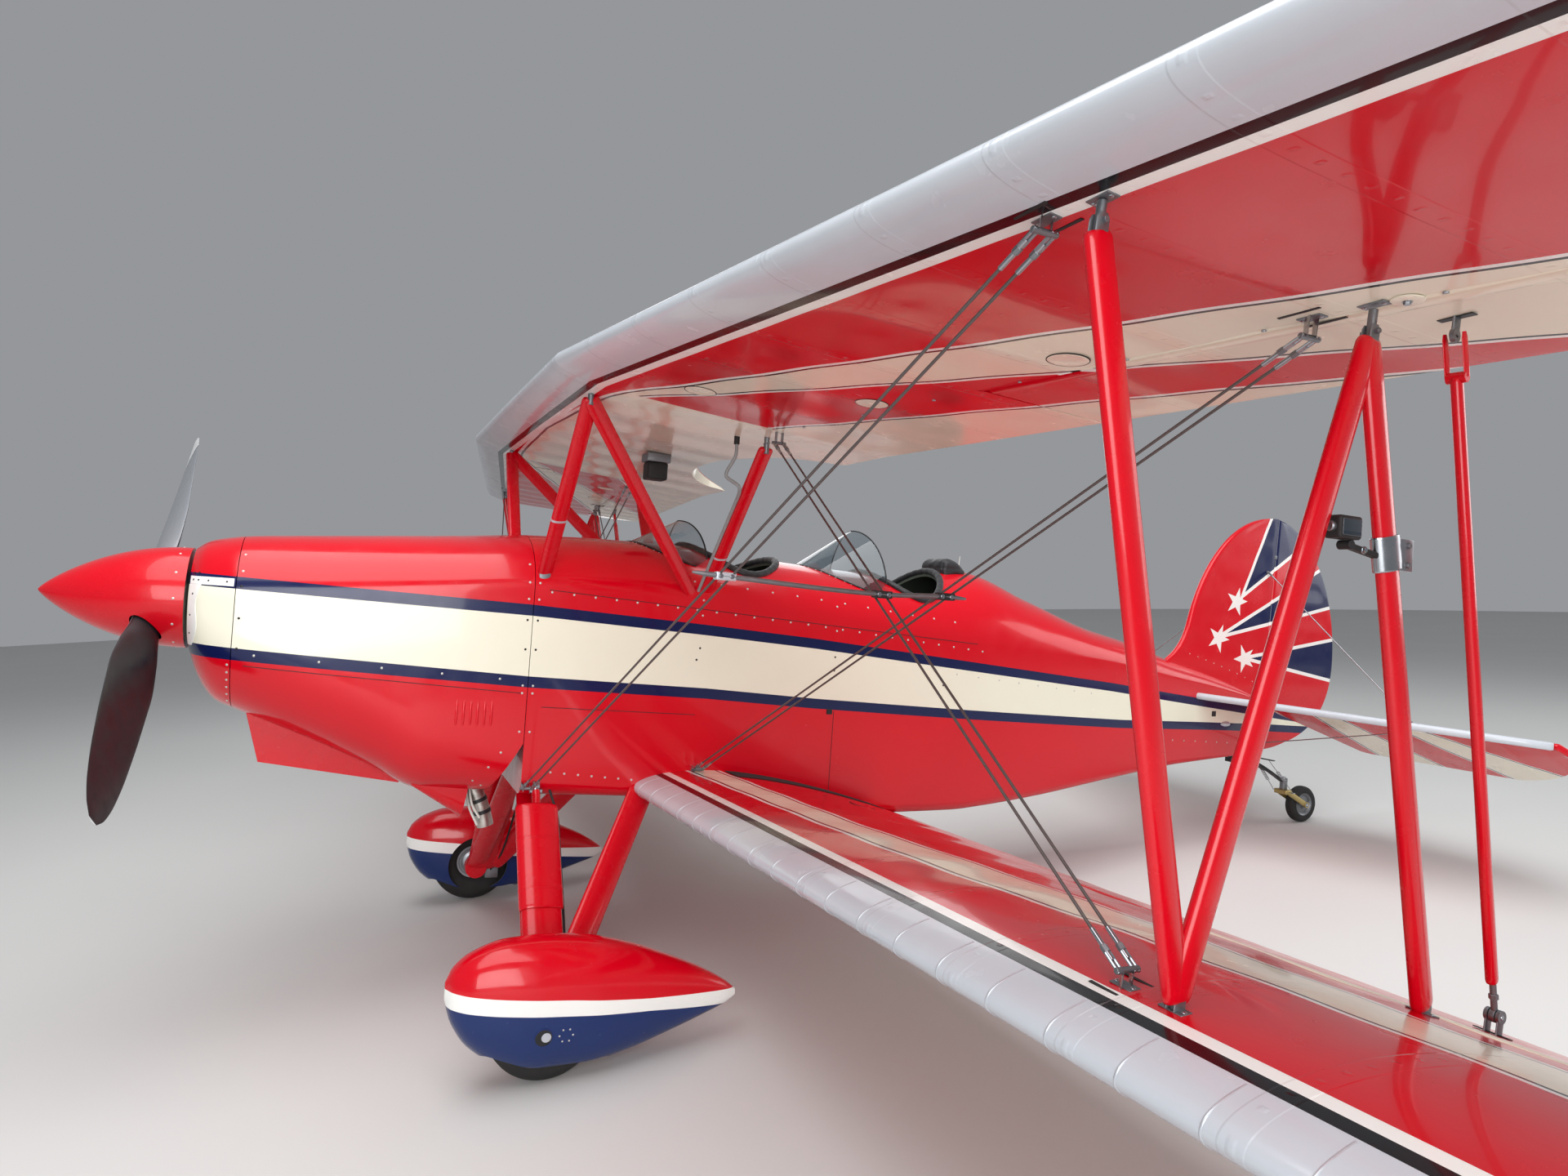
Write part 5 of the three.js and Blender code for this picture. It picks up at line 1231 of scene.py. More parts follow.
# rubber: nearly black, dusty in the grooves
tyreRubber = newMaterial("worn tyre rubber", ("#1c1b1a", 0.25, 18), (0.7, 0.85), (1.2, 0.08))
rimHalf = [(0.0176, 0.044), (0.03, 0.044), (0.034, 0.036), (0.052, 0.028), (0.06, 0.03), (0.066, 0.044),
           (0.073, 0.047), (0.0745, 0.045), (0.072, 0.038)]
rimPart = lathe(bothHalves(rimHalf), gear["wheel"], (1, 0, 0), 72, loop=True)
turns = np.arange(6) * np.pi / 3
rimBolt = {"out": 0.0285, "ring": 0.048}
boltAt = np.column_stack([
    np.full(6, gear["wheel"][0] + rimBolt["out"]), gear["wheel"][1] + rimBolt["ring"] * np.cos(turns),
    gear["wheel"][2] + rimBolt["ring"] * np.sin(turns)])
bolts = scatter(hexHead(0.006, 0.005), boltAt, (1, 0, 0))
disc = lathe(
    [(0.052, -0.0435), (0.064, -0.0435), (0.064, -0.04), (0.052, -0.04)], gear["wheel"], (1, 0, 0),
    48, loop=True)
wheel = build(
    "wheel_tyre_left",
    [(tyrePart, tyreRubber), (rimPart, silverPaint), (bolts, dullMetal), (disc, dullMetal)],
    "wheel_left", "tyre_rubber", "wheel_left")
twin(wheel)
axleRound = [(0.0165, 0), (0.017, 0.001), (0.017, 0.196), (0.0165, 0.197)]
axlePart = lathe(axleRound, (gear["axleFrom"], *gear["wheel"][1:]), (1, 0, 0), 40)
buildPair("axle_tube_left", [(axlePart, brightSteel)], replaces="axle_left")


def strutPart(start, end, chord, thick, ends=((0, 1, 1), (1, 1, 1)), out=(1, 0, 0), count=24, blunt=0.28):
    # streamlined tube along a line: c/2 cos t fore and aft, t/2 sin t (1 - b cos t) across, and rows of
    # (share, chord factor, thickness factor) for its shaped ends
    start, end = np.asarray(start, float), np.asarray(end, float)
    rows = np.asarray(ends, float)
    share = np.unique(np.concatenate([rows[:, 0], np.linspace(rows[0, 0], rows[-1, 0], count)]))
    size = np.column_stack([np.interp(share, rows[:, 0], rows[:, k]) for k in (1, 2)])
    way = unit(end - start)
    side, across = frameAlong(way[None], np.asarray(out, float))
    side = side * np.sign(side[0, 1])
    t = np.linspace(0, 2 * np.pi, 32, endpoint=False)[None, :, None]
    section = (chord / 2 * np.cos(t) * size[:, :1, None] * side[None]
               + thick / 2 * np.sin(t) * (1 - blunt * np.cos(t)) * size[:, 1:, None] * across[None])
    return skin((start + share[:, None] * (end - start))[:, None] + section)


def rounding(length, radius, steps=5):
    # rows that round both ends of a tube of that length over the radius
    t = np.linspace(0, np.pi / 2, steps)
    near = radius * (1 - np.cos(t)) / length
    size = 0.75 + 0.25 * np.sin(t)
    rows = [(a, b, b) for a, b in zip(near, size)]
    return rows + [(1 - a, b, b) for a, b, b in rows[::-1]]


def apart(start, end):
    # distance between two points
    return float(np.linalg.norm(np.subtract(end, start)))


def rodPart(start, end, radius, sides=20, edge=0.0008):
    # round rod along a line with eased ends
    length = apart(start, end)
    profile = [(radius - edge, 0), (radius, edge), (radius, length - edge), (radius - edge, length)]
    return lathe(profile, start, np.subtract(end, start), sides)


def between(a, b, share):
    # the point a share of the way from a to b
    return np.asarray(a) + share * np.subtract(b, a)


frontTop, frontFoot = np.array(gear["frontTop"]), np.array(gear["frontFoot"])
shroudStart, shroudEnd = (between(frontTop, frontFoot, share) for share in gear["shroud"])
shroudRows = [
    (0, 0.93, 0.8), (0.008, 0.97, 0.92), (0.025, 1, 1), (0.97, 1, 1), (0.99, 0.985, 0.97), (1, 0.97, 0.93)]
shroud = strutPart(shroudStart, shroudEnd, 0.15, 0.064, shroudRows)
lower = strutPart(shroudEnd, frontFoot, 0.134, 0.046, [(-0.08, 1, 1), (0.95, 1, 1), (1, 0.96, 0.9)])
core = rodPart(frontTop, shroudEnd, 0.015)
rearLeg = strutPart(gear["rearTop"], gear["rearFoot"], 0.1, 0.034, rounding(0.7, 0.03))
innerLeg = strutPart(gear["innerTop"], gear["knuckle"], 0.09, 0.034)
knuckle = lathe(
    [(0.044, 0), (0.048, 0.004), (0.048, 0.056), (0.044, 0.06)], (gear["knuckleFrom"], *gear["wheel"][1:]),
    (1, 0, 0), 48)
buildPair(
    "landing_gear_legs_left",
    [(part, redEnamel) for part in (shroud, lower, core, rearLeg, innerLeg, knuckle)], slot="red_paint",
    replaces="landing_gear_left")
print("landing gear built")

# Struts of the wings, their end fittings and the wires
strutX, wireX = 2.8, 2.695
upperShape, lowerShape = wing["upper"], wing["lower"]


def wingAt(shape, x, share, height):
    # one point of a wing
    return onWing(shape, np.array(x), share, height)


ends = {
    "topFront": wingAt(upperShape, strutX, wing["frontSpar"], -0.091),
    "topRear": wingAt(upperShape, strutX, wing["rearSpar"], -0.084),
    "footFront": wingAt(lowerShape, strutX, wing["frontSpar"], 0.092),
    "footRear": wingAt(lowerShape, strutX, wing["rearSpar"], 0.082),
}


def wingStrut(start, end, radius=0.016):
    # streamlined strut of 54 by 24 mm with rounded ends, red
    return strutPart(start, end, 0.054, 0.024, rounding(apart(start, end), radius)), redEnamel


def lugParts(end, shape, share, rise):
    # forked steel fitting between a strut's end and the wing: a plate either side, a bolt and a stem
    root = wingAt(shape, float(end[0]), share, rise)
    way = unit(root - end)
    stem = rodPart(end - 0.02 * way, root, 0.0075)
    side = unit(np.cross(way, (0, 1, 0)))
    plates = [
        strutPart(
            end - 0.014 * way + k * side, end + 0.026 * way + k * side, 0.024, 0.004,
            [(0, 0.6, 1), (0.2, 1, 1), (0.8, 1, 1), (1, 0.6, 1)], count=4, blunt=0)
        for k in (-0.008, 0.008)]
    bolt = rodPart(end + 0.014 * way - 0.017 * side, end + 0.014 * way + 0.017 * side, 0.005, 6)
    return [(part, dullMetal) for part in (stem, *plates, bolt)]


buildPair(
    "interplane_vee_tubes_left",
    [wingStrut(ends["topFront"], ends["footFront"]), wingStrut(ends["topRear"], ends["footFront"]),
     *lugParts(ends["topFront"], upperShape, wing["frontSpar"], -0.045),
     *lugParts(ends["footFront"], lowerShape, wing["frontSpar"], 0.06)],
    slot="red_paint", replaces="interplane_vee_left")
buildPair(
    "interplane_rear_tube_left",
    [wingStrut(ends["topRear"], ends["footRear"]),
     *lugParts(ends["topRear"], upperShape, wing["rearSpar"], -0.03),
     *lugParts(ends["footRear"], lowerShape, wing["rearSpar"], 0.05)],
    slot="red_paint", replaces="interplane_strut_rear_left")

cabane = {
    "frontTop": (0.798, 1.147, 0.731), "rearTop": (0.798, 1.764, 0.652),
    "frontFoot": (0.318, 1.131, 0.169), "middleFoot": (0.322, 1.708, 0.114),
    "rearFoot": (0.314, 1.745, 0.121)}


def spigotParts(top):
    # the pin on which a strut's head stands, and its cross bolt
    top = np.array(top)
    return [(rodPart(top - (0, 0, 0.02), top + (0, 0, 0.055), 0.0095), dullMetal),
            (rodPart(top + (-0.02, 0, 0.016), top + (0.02, 0, 0.016), 0.005, 6), dullMetal)]


buildPair(
    "cabane_vee_tubes_left",
    [wingStrut(cabane["frontTop"], cabane["frontFoot"], 0.014),
     wingStrut(cabane["frontTop"], cabane["middleFoot"], 0.014), *spigotParts(cabane["frontTop"])],
    slot="red_paint", replaces="cabane_vee_left")
buildPair(
    "cabane_rear_tube_left",
    [wingStrut(cabane["rearTop"], cabane["rearFoot"], 0.014), *spigotParts(cabane["rearTop"])],
    slot="red_paint", replaces="cabane_strut_rear_left")

wires = {"radius": 0.0031, "half": 0.017}
# tie rods in a steel darker than the bright fittings on them: painted shade
shadedWireSteel = newMaterial("waxed tie rod steel", ("#6a6361", 0.06, 200), (0.42, 0.52, 80), Metallic=0.7)


def wirePair(inner, innerRoot, outer, outerRoot):
    # two streamlined wires: threaded end, fork and pin at each end, and a lug to the structure
    parts = []
    inner, outer = np.array(inner, float), np.array(outer, float)
    way = unit(outer - inner)
    for sign in (-1, 1):
        shift = np.array([0, sign * wires["half"], 0])
        a, b = inner + shift, outer + shift
        # the rod itself takes the darker steel, a painted shade
        parts.append((rodPart(a + 0.07 * way, b - 0.07 * way, wires["radius"], 12), shadedWireSteel))
        for end, back in ((a, way), (b, -way)):
            parts.append((rodPart(end + 0.02 * back, end + 0.085 * back, 0.0048, 12), brightSteel))
            parts.append((rodPart(end + 0.036 * back, end + 0.05 * back, 0.0068, 6), dullMetal))
            for k in (-0.0045, 0.0045):
                tine = end + (0, k, 0)
                parts.append((rodPart(tine - 0.006 * back, tine + 0.036 * back, 0.0032, 8), brightSteel))
    reach = np.array([0, 1.45 * wires["half"], 0])
    for end, root in ((inner, np.array(innerRoot, float)), (outer, np.array(outerRoot, float))):
        parts.append((rodPart(end - reach, end + reach, 0.0055, 12), dullMetal))
        for k in (-0.011, 0.011):
            lug = strutPart(
                end + (0, k, 0), root + (0, k, 0), 0.003, 0.022, out=(0.2, 0, 1), count=2, blunt=0)
            parts.append((lug, brightSteel))
    return parts


for name, inner, innerRoot, shape, spar, height, rise in (
    ("front_flying", (0.384, 1.112, -0.594), (0.33, 1.112, -0.588), upperShape, "frontSpar", -0.062, -0.035),
    ("rear_flying", (0.39, 1.744, -0.528), (0.345, 1.744, -0.528), upperShape, "rearSpar", -0.058, -0.02),
    ("landing", (0.93, 1.752, 0.652), (0.93, 1.752, 0.705), lowerShape, "frontSpar", 0.104, 0.06)):
    outer, outerRoot = (wingAt(shape, wireX, wing[spar], up) for up in (height, rise))
    buildPair(f"{name}_wires_rods_left", wirePair(inner, innerRoot, outer, outerRoot),
              replaces=f"{name}_wires_left")
print("struts and wires built")

# Cockpits: leather rolls, seats, headrest, panels and screens
# black leather: fine grain of about 1.5 mm, creases, a soft sheen where it is rubbed
def leatherGrain(mat):
    # cell distance plus three times a noise
    grain = addNode(mat, "TexVoronoi", {"Vector": place(mat, 1000 / 1.6), "Scale": 1})
    creases = addNode(mat, "Math", {0: noise(mat, 26, 4, 0.6), 1: 3}, operation="MULTIPLY")
    return addNode(mat, "Math", {0: grain, 1: creases}, operation="ADD")


leather = newMaterial(
    "black grained leather", ("#17161a", 0.25, 40), (0.42, 0.62, 35), (leatherGrain, 0.35),
    Sheen_Weight=0.12)
# clear cast acrylic with a light smoke tint and polished edges
acrylic = newMaterial(
    "smoked clear acrylic", ("#c9d3d8", 0.01, 300), (0.015, 0.05, 120), Transmission_Weight=1,
    IOR=1.49)


def applied(piece):
    # puts the mesh that the piece's modifiers give in place of its own
    mesh = bpy.data.meshes.new_from_object(piece.evaluated_get(bpy.context.evaluated_depsgraph_get()))
    bpy.context.scene.frame_set(1)
    piece.modifiers.clear()
    piece.data = mesh
    return mesh


def pointsOf(mesh):
    # a mesh's points as rows
    flat = np.empty(len(mesh.vertices) * 3)
    mesh.vertices.foreach_get("co", flat)
    return flat.reshape(-1, 3)


def puff(piece, cap, voxel=0.0064, frames=20):
    # inflates a closed cushion: even remesh, cloth under pressure with no gravity, move held to a cap
    grid = piece.modifiers.new("remesh", "REMESH")
    grid.mode, grid.voxel_size = "VOXEL", voxel
    rest = pointsOf(applied(piece))
    cloth = piece.modifiers.new("cloth", "CLOTH")
    cloth.settings.quality = 4
    cloth.settings.use_pressure = True
    cloth.settings.uniform_pressure_force = 4
    cloth.settings.effector_weights.gravity = 0
    cloth.collision_settings.use_collision = False
    for step in range(1, frames + 1):
        bpy.context.scene.frame_set(step)
    swollen = applied(piece)
    push = pointsOf(swollen) - rest
    length = np.linalg.norm(push, axis=1, keepdims=True)
    held = rest + push * np.minimum(1, cap / np.maximum(length, 1e-9))
    swollen.vertices.foreach_set("co", held.ravel())


def sew(piece, depthOf):
    # presses seams and channels in: every point moves in along its normal by depthOf(own frame point)
    mesh = piece.data
    world, normals = pointsOf(mesh), np.empty(len(mesh.vertices) * 3)
    mesh.vertex_normals.foreach_get("vector", normals)
    depth = depthOf((world - moved) @ tipped)[:, None]
    mesh.vertices.foreach_set("co", (world - normals.reshape(-1, 3) * depth).ravel())
    mesh.update()
    soft = piece.modifiers.new("smooth", "SUBSURF")
    soft.levels = soft.render_levels = 1
    final = applied(piece)
    final.materials.clear()
    final.materials.append(leather)
    final.shade_smooth()


def groove(distance, width, depth):
    # depth of a channel: a bell curve across it
    return depth * np.exp(-(distance / width) ** 2)


screenSize = {"sheet": 0.003, "sweep": 80, "corner": 0.04}
seatSize = {"half": 0.18, "front": -0.055, "back": 0.143, "channel": 0.06}
# dials as (across, up, radius)
gaugeSpots = {
    "front": [
        (-0.15, 0.1, 0.04), (-0.05, 0.13, 0.04), (0.05, 0.13, 0.04), (0.15, 0.1, 0.04),
        (-0.1, 0.03, 0.028), (0, 0.035, 0.028), (0.1, 0.03, 0.028)],
    "rear": [
        (-0.16, 0.06, 0.04), (-0.055, 0.09, 0.04), (0.055, 0.09, 0.04), (0.16, 0.06, 0.04),
        (-0.11, -0.02, 0.028), (0, -0.01, 0.028), (0.11, -0.02, 0.028)]}


def dialPattern(mat):
    # round dial: black face, a ring of white marks and one white hand
    x, z = mapPair(mat, "dial")
    radius = addNode(
        mat, "VectorMath", {0: addNode(mat, "UVMap", uv_map="dial")}, operation="LENGTH"
    ).outputs["Value"]
    turn = addNode(mat, "Math", {0: x, 1: z}, operation="ARCTAN2")
    wheel = addNode(mat, "Math", {0: turn, 1: math.pi / 12}, operation="PINGPONG")
    marks = band(mat, wheel, -1, 0.035, band(mat, radius, 0.76, 0.93))
    hand = band(mat, x, -0.035, 0.035, band(mat, z, -0.1, 0.7))
    return painted(mat, vary(mat, "#0e0e10", 0.1, 20), ("#e9e6dc", marks), ("#e9e6dc", hand))


dialFace = newMaterial("printed instrument dial", dialPattern, 0.35, Coat_Weight=1, Coat_Roughness=0.02)
# crackle-free dark grey paint of the panels
panelPaint = newMaterial("grey textured panel paint", ("#2c2d30", 0.12, 50), (0.5, 0.65), (0.9, 0.04))

for name, spot in cockpits.items():
    seatY, pan = spot["y"], spot["panZ"]
    rollX, rollY = spot["halfWidth"] + 0.006, spot["halfLength"] + 0.006
    ring = np.linspace(0, 2 * np.pi, 220, endpoint=False)
    x, y = rollX * np.cos(ring), seatY + rollY * np.sin(ring)
    z = deckAt(x, y) + 0.003
    radius = 0.0152 + 0.0006 * np.sin(ring * 38) + 0.0004 * np.sin(ring * 91)
    roll = build(
        f"{name}_coaming_roll", [(tube(np.column_stack([x, y, z]), radius, 20, loop=True), leather)],
        slot="black_leather", replaces=f"{name}_coaming")
    puff(roll, 0.0016, 0.005, 12)
    sew(
        roll,
        lambda p: groove(
            np.abs(np.hypot(p[:, 0] / rollX, (p[:, 1] - seatY) / rollY) - 1.045), 0.008, 0.0014))
    wide = seatSize["half"]
    seatBox = roundBox(
        (-wide, seatY + seatSize["front"], pan - 0.025), (wide, seatY + seatSize["back"], pan - 0.001),
        0.011, 6)
    backBox = roundBox(
        (-wide + 0.01, seatY + 0.1515, pan + 0.012), (wide - 0.01, seatY + 0.1735, 0.036), 0.01, 6)
    for kind, part, cap, depth, shown in (
        ("seat", seatBox, 0.007, 0.0035, lambda p: p[:, 2] > p[:, 2].mean()),
        ("seat_back", backBox, 0.006, 0.003, lambda p: p[:, 1] < p[:, 1].mean())):
        pad = build(f"{name}_{kind}_cushion", [(part, leather)], slot="black_leather")
        puff(pad, cap)
        sew(pad, lambda p: groove((p[:, 0] + 0.03) % seatSize["channel"] - 0.03, 0.005, depth) * shown(p))
    floorZ = float(smoothTable(body["fuselage"], np.array([seatY]))[0, 3]) + body["wall"] + 0.002
    panPart = roundBox((-0.186, seatY - 0.058, pan - 0.03), (0.186, seatY + 0.172, pan - 0.0262), 0.0015)
    boxPart = roundBox((-0.118, seatY - 0.018, floorZ), (0.118, seatY + 0.138, pan - 0.0305), 0.012)
    posts = [
        rodPart((x, seatY + 0.1625, pan - 0.028), (x, seatY + 0.1625, 0.03), 0.008)
        for x in (-0.176, 0.176)]
    build(
        f"{name}_seat_frame",
        [(panPart, bareSheet), (boxPart, primer), (posts[0], dullMetal), (posts[1], dullMetal)],
        slot="black_leather", replaces=f"{name}_seat")

    panelY = seatY - spot["halfLength"] - 0.024
    arc = np.linspace(0, np.pi, 60)
    rings = []
    for k, grow in ((0, 0.026), (0.0015, 0.0245), (0.0105, 0.0245), (0.012, 0.026)):
        half, top, shoulder = smoothTable(body["fuselage"], np.array([panelY + k]))[0, :3]
        x = np.concatenate([[half - grow], (half - grow) * np.cos(arc), [grow - half]])
        z = np.concatenate([[-0.08], shoulder + (top - shoulder - grow) * np.sin(arc), [-0.08]])
        z[0], z[-1] = -0.08 + grow - 0.0245, -0.08 + grow - 0.0245
        rings.append(np.column_stack([x, np.full(len(x), panelY + k), z]))
    parts, chart = [(skin(np.array(rings)), panelPaint)], [np.zeros((len(rings) * len(x) + 2, 2))]
    for gx, gz, r in gaugeSpots[name]:
        centre = (gx, panelY + 0.012, gz)
        bezelRows = [(0.88, 0.002), (0.9, 0.006), (1, 0.006), (1.06, 0.001), (1.06, -0.002), (0.88, -0.002)]
        bezel = lathe(np.array(bezelRows) * (r, 1), centre, (0, 1, 0), 40, loop=True)
        face = lathe([(0.3 * r, 0.0012), (0.89 * r, 0.0012), (0.89 * r, -0.001)], centre, (0, 1, 0), 40)
        local = (face[0] - centre)[:, [0, 2]] / r
        parts += [(bezel, dullMetal), (face, dialFace)]
        chart += [np.zeros((len(bezel[0]), 2)), local]
    build(f"{name}_panel_board", parts, slot="black_enamel", replaces=f"{name}_instrument_panel",
          maps={"dial": np.vstack(chart)})

    # Screen: straight lines from a curved foot on the deck to an arched rim, thin sheet
    turn = np.linspace(-screenSize["sweep"], screenSize["sweep"], 61) * degree
    cornerY = spot["rimY"] + screenSize["corner"]
    cornerZ = float(deckAt(np.array([spot["halfWidth"]]), np.array([cornerY]))[0])
    x = spot["halfWidth"] * np.sin(turn)
    footY = cornerY - (cornerY - spot["screenFront"]) * np.cos(turn)
    foot = np.column_stack([x, footY, deckAt(x, footY) - screenSize["sheet"]])
    rim = np.column_stack([
        x, spot["rimY"] + screenSize["corner"] * np.abs(np.sin(turn)),
        cornerZ + (spot["rimTop"] - cornerZ - 0.002) * np.cos(turn)])
    sideways = np.gradient(foot, axis=0)
    inward = unit(np.cross(rim - foot, sideways))
    inward = inward * -np.sign(inward[:, 2:])
    up = np.linspace(0, 1, 14)[None, :, None]
    outer = foot[:, None] + up * (rim - foot)[:, None]
    rings = np.concatenate([outer, outer[:, ::-1] + screenSize["sheet"] * inward[:, None]], 1)
    build(
        f"{name}_screen_sheet", [(skin(rings), acrylic)], slot="clear_acrylic",
        replaces=f"{name}_windshield")
    strip = foot + (0, 0, 0.0035)
    edging = [(tube(strip, 0.0075, 10, flat=0.45), blackRubber),
              (tube(rim + screenSize["sheet"] / 2 * inward, 0.0034, 10), blackRubber)]
    at = np.linspace(1, len(foot) - 2, 24).astype(int)
    rivets = foot[at] + (0, -0.01, 0.0035)
    rivets[:, 2] = deckAt(rivets[:, 0], rivets[:, 1]) + 0.0002
    edging.append((scatter(dome(0.0032, 0.0016), rivets, (0, 0, 1), up=(0, 1, 0)), paleScrew))
    build(f"{name}_screen_edging", edging, slot="black_enamel")
print("cockpits built")

# Headrest: its outline in (y, z), drawn in towards both ends
side = np.array([
    (2.971, 0.27), (2.967, 0.3), (2.968, 0.335), (2.976, 0.368), (3.004, 0.38), (3.05, 0.371),
    (3.085, 0.347), (3.108, 0.326), (3.108, 0.29), (3.104, 0.27)])
side = smoothPath(np.column_stack([np.vstack([side, side[:1]]), np.zeros(11)]), 60)[:-1, :2]
middle = side.mean(0)
padHalf = 0.103
x = padHalf * np.sin(np.linspace(-0.5, 0.5, 40) * np.pi)
shrink = 1 - 0.3 * np.abs(x / padHalf) ** 8
rings = np.array([
    np.column_stack([np.full(len(side), a), middle + (side - middle) * b]) for a, b in zip(x, shrink)])
deckUnder = deckAt(rings[..., 0].ravel(), rings[..., 1].ravel()).reshape(rings.shape[:2])
rings[..., 2] = np.maximum(rings[..., 2], deckUnder - 0.01)
headrest = build("headrest_pad", [(skin(rings), leather)], slot="black_leather", replaces="headrest")
puff(headrest, 0.005, 0.005)
sew(headrest, lambda p: groove(np.abs(p[:, 0]) - 0.088, 0.004, 0.0025) + groove(p[:, 2] - 0.338, 0.004, 0.002)
    + 0.0012 * np.sin(p[:, 0] * 95 + 40 * p[:, 1]) * np.sin(p[:, 2] * 130))

# Exhaust: pipe with a turned-in end and two dark heat bands
def stainPattern(mat):
    # brown where a noise passes a half
    stain = addNode(mat, "MapRange", {0: noise(mat, 45, 4), 1: 0.5, 2: 0.75, 3: 0, 4: 0.7})
    return painted(mat, vary(mat, "#bcb8b2", 0.1, 30), ("#6d645c", stain))


# mild steel that heat has browned in patches
heatedSteel = newMaterial(
    "heat stained exhaust steel", stainPattern, (0.3, 0.55, 20), (2, 0.04), Metallic=1)
route = smoothPath(
    [
        (0.07, 0.84, -0.4005), (0.078, 0.85, -0.47), (0.095, 0.9, -0.56), (0.105, 0.962, -0.64),
        (0.11, 0.998, -0.715), (0.113, 1.019, -0.784)],
    48)
pipePath = np.vstack([route, route[::-1][:8]])
pipeRadius = np.concatenate([np.full(47, 0.0308), [0.0302], [0.0284], np.full(7, 0.028)])
ahead = np.gradient(route, axis=0)
way = unit(np.vstack([ahead, ahead[::-1][:8]]))
acrossA, acrossB = frameAlong(way, np.array((1, 0, 0)))
t = np.linspace(0, 2 * np.pi, 40, endpoint=False)
rings = pipePath[:, None] + pipeRadius[:, None, None] * (
    np.cos(t)[None, :, None] * acrossA[:, None] + np.sin(t)[None, :, None] * acrossB[:, None])
bands = []
for k in (36, 41):
    hoop = [(0.03, -0.007), (0.0328, -0.0065), (0.0328, 0.0065), (0.03, 0.007)]
    bands.append((lathe(hoop, route[k], unit(route[k + 1] - route[k - 1]), 40), blackEnamel))
build("exhaust_stack", [(skin(rings), heatedSteel)] + bands, replaces="exhaust_pipe")


def strap(path, width, thick, across=(1, 0, 0)):
    # flat bar with eased corners carried along a path
    path = np.asarray(path, float)
    way = unit(np.gradient(path, axis=0))
    a = np.broadcast_to(np.asarray(across, float), way.shape)
    n = np.cross(way, a)
    e = min(width, thick) * 0.2
    w, h = width / 2, thick / 2
    corners = [
        (w - e, h), (w, h - e), (w, e - h), (w - e, -h), (e - w, -h), (-w, e - h), (-w, h - e), (e - w, h)]
    return skin(np.stack([path + c * a + d * n for c, d in corners], 1))


spring = smoothPath(
    [(0, 4.968, -0.553), (0, 5.12, -0.556), (0, 5.2, -0.585), (0, 5.295, -0.628), (0, 5.416, -0.69)],
    40)
# y of the steering pin, and (y, z) of the axle
steerY, axleAt = 5.418, ownPlaces["tailWheel"][1:]
springEye = [(0.0195, 0), (0.02, 0.001), (0.02, 0.059), (0.0195, 0.06), (0.011, 0.06), (0.011, 0)]
springBolts = [(0, 5, -0.573), (0, 5.09, -0.574)]
build(
    "tail_spring_leaves",
    [
        (roundBox((-0.0195, 4.962, -0.546), (0.0195, 5.128, -0.512), 0.003), blackEnamel),
        (strap(spring, 0.038, 0.009), blackEnamel),
        (strap(spring[:26] - (0, 0, 0.0085), 0.038, 0.007), blackEnamel),
        (strap(spring[:15] - (0, 0, 0.0155), 0.038, 0.006), blackEnamel),
        (lathe(springEye, (0, steerY, -0.728), (0, 0, 1), 40, loop=True), dullMetal),
        (scatter(hexHead(0.007, 0.006), springBolts, (0, 0, -1), up=(1, 0, 0)), dullMetal)],
    replaces="tail_spring")
# gold zinc finish of the tail fork, cream where it catches the light
goldPlate = newMaterial(
    "yellow zinc plate", ("#b9a56e", 0.15, 20), (0.35, 0.55, 20), (2, 0.03), Metallic=0.8)
bossRound = [(0.0165, 0), (0.017, 0.0008), (0.017, 0.0112), (0.0165, 0.012)]
forkParts = [
    (roundBox((-0.041, 5.392, -0.756), (0.041, 5.444, -0.7295), 0.006), goldPlate),
    (rodPart((0, steerY, -0.737), (0, steerY, -0.661), 0.0095), brightSteel),
    (scatter(hexHead(0.01, 0.007), [(0, steerY, -0.6655)], (0, 0, 1), up=(1, 0, 0)), brightSteel)]
for sx in (-1, 1):
    arm = strutPart((sx * 0.036, 5.424, -0.746), (sx * 0.036, *axleAt), 0.03, 0.009, blunt=0.05)
    boss = lathe(bossRound, (sx * 0.038 - 0.006, *axleAt), (1, 0, 0), 32)
    horn = strap([(sx * 0.04, 5.425, -0.742), (sx * 0.066, 5.425, -0.742)], 0.02, 0.004, across=(0, 1, 0))
    forkParts += [
        (arm, goldPlate), (boss, goldPlate),
        (scatter(hexHead(0.009, 0.006), [(sx * 0.0435, *axleAt)], (sx, 0, 0)), brightSteel),
        (horn, brightSteel)]
forkParts.append((rodPart((-0.043, *axleAt), (0.043, *axleAt), 0.0078), brightSteel))
build("tail_fork_frame", forkParts, "tail_wheel_fork", "steel", "tail_wheel_fork")
tailTyre = lathe(
    bothHalves([
        (0.062, 0.0245), (0.086, 0.0255), (0.095, 0.0225), (0.1, 0.0165), (0.1019, 0.0075), (0.1021, 0)
    ]),
    ownPlaces["tailWheel"], (1, 0, 0), 72, loop=True)
tailRim = lathe(
    bothHalves([
        (0.0088, 0.0255), (0.022, 0.0255), (0.026, 0.016), (0.05, 0.013), (0.056, 0.022),
        (0.0635, 0.0248)]),
    ownPlaces["tailWheel"], (1, 0, 0), 60, loop=True)
build(
    "tail_wheel_tyre", [(tailTyre, tyreRubber), (tailRim, dullMetal)], "tail_wheel", "tyre_rubber",
    "tail_wheel")

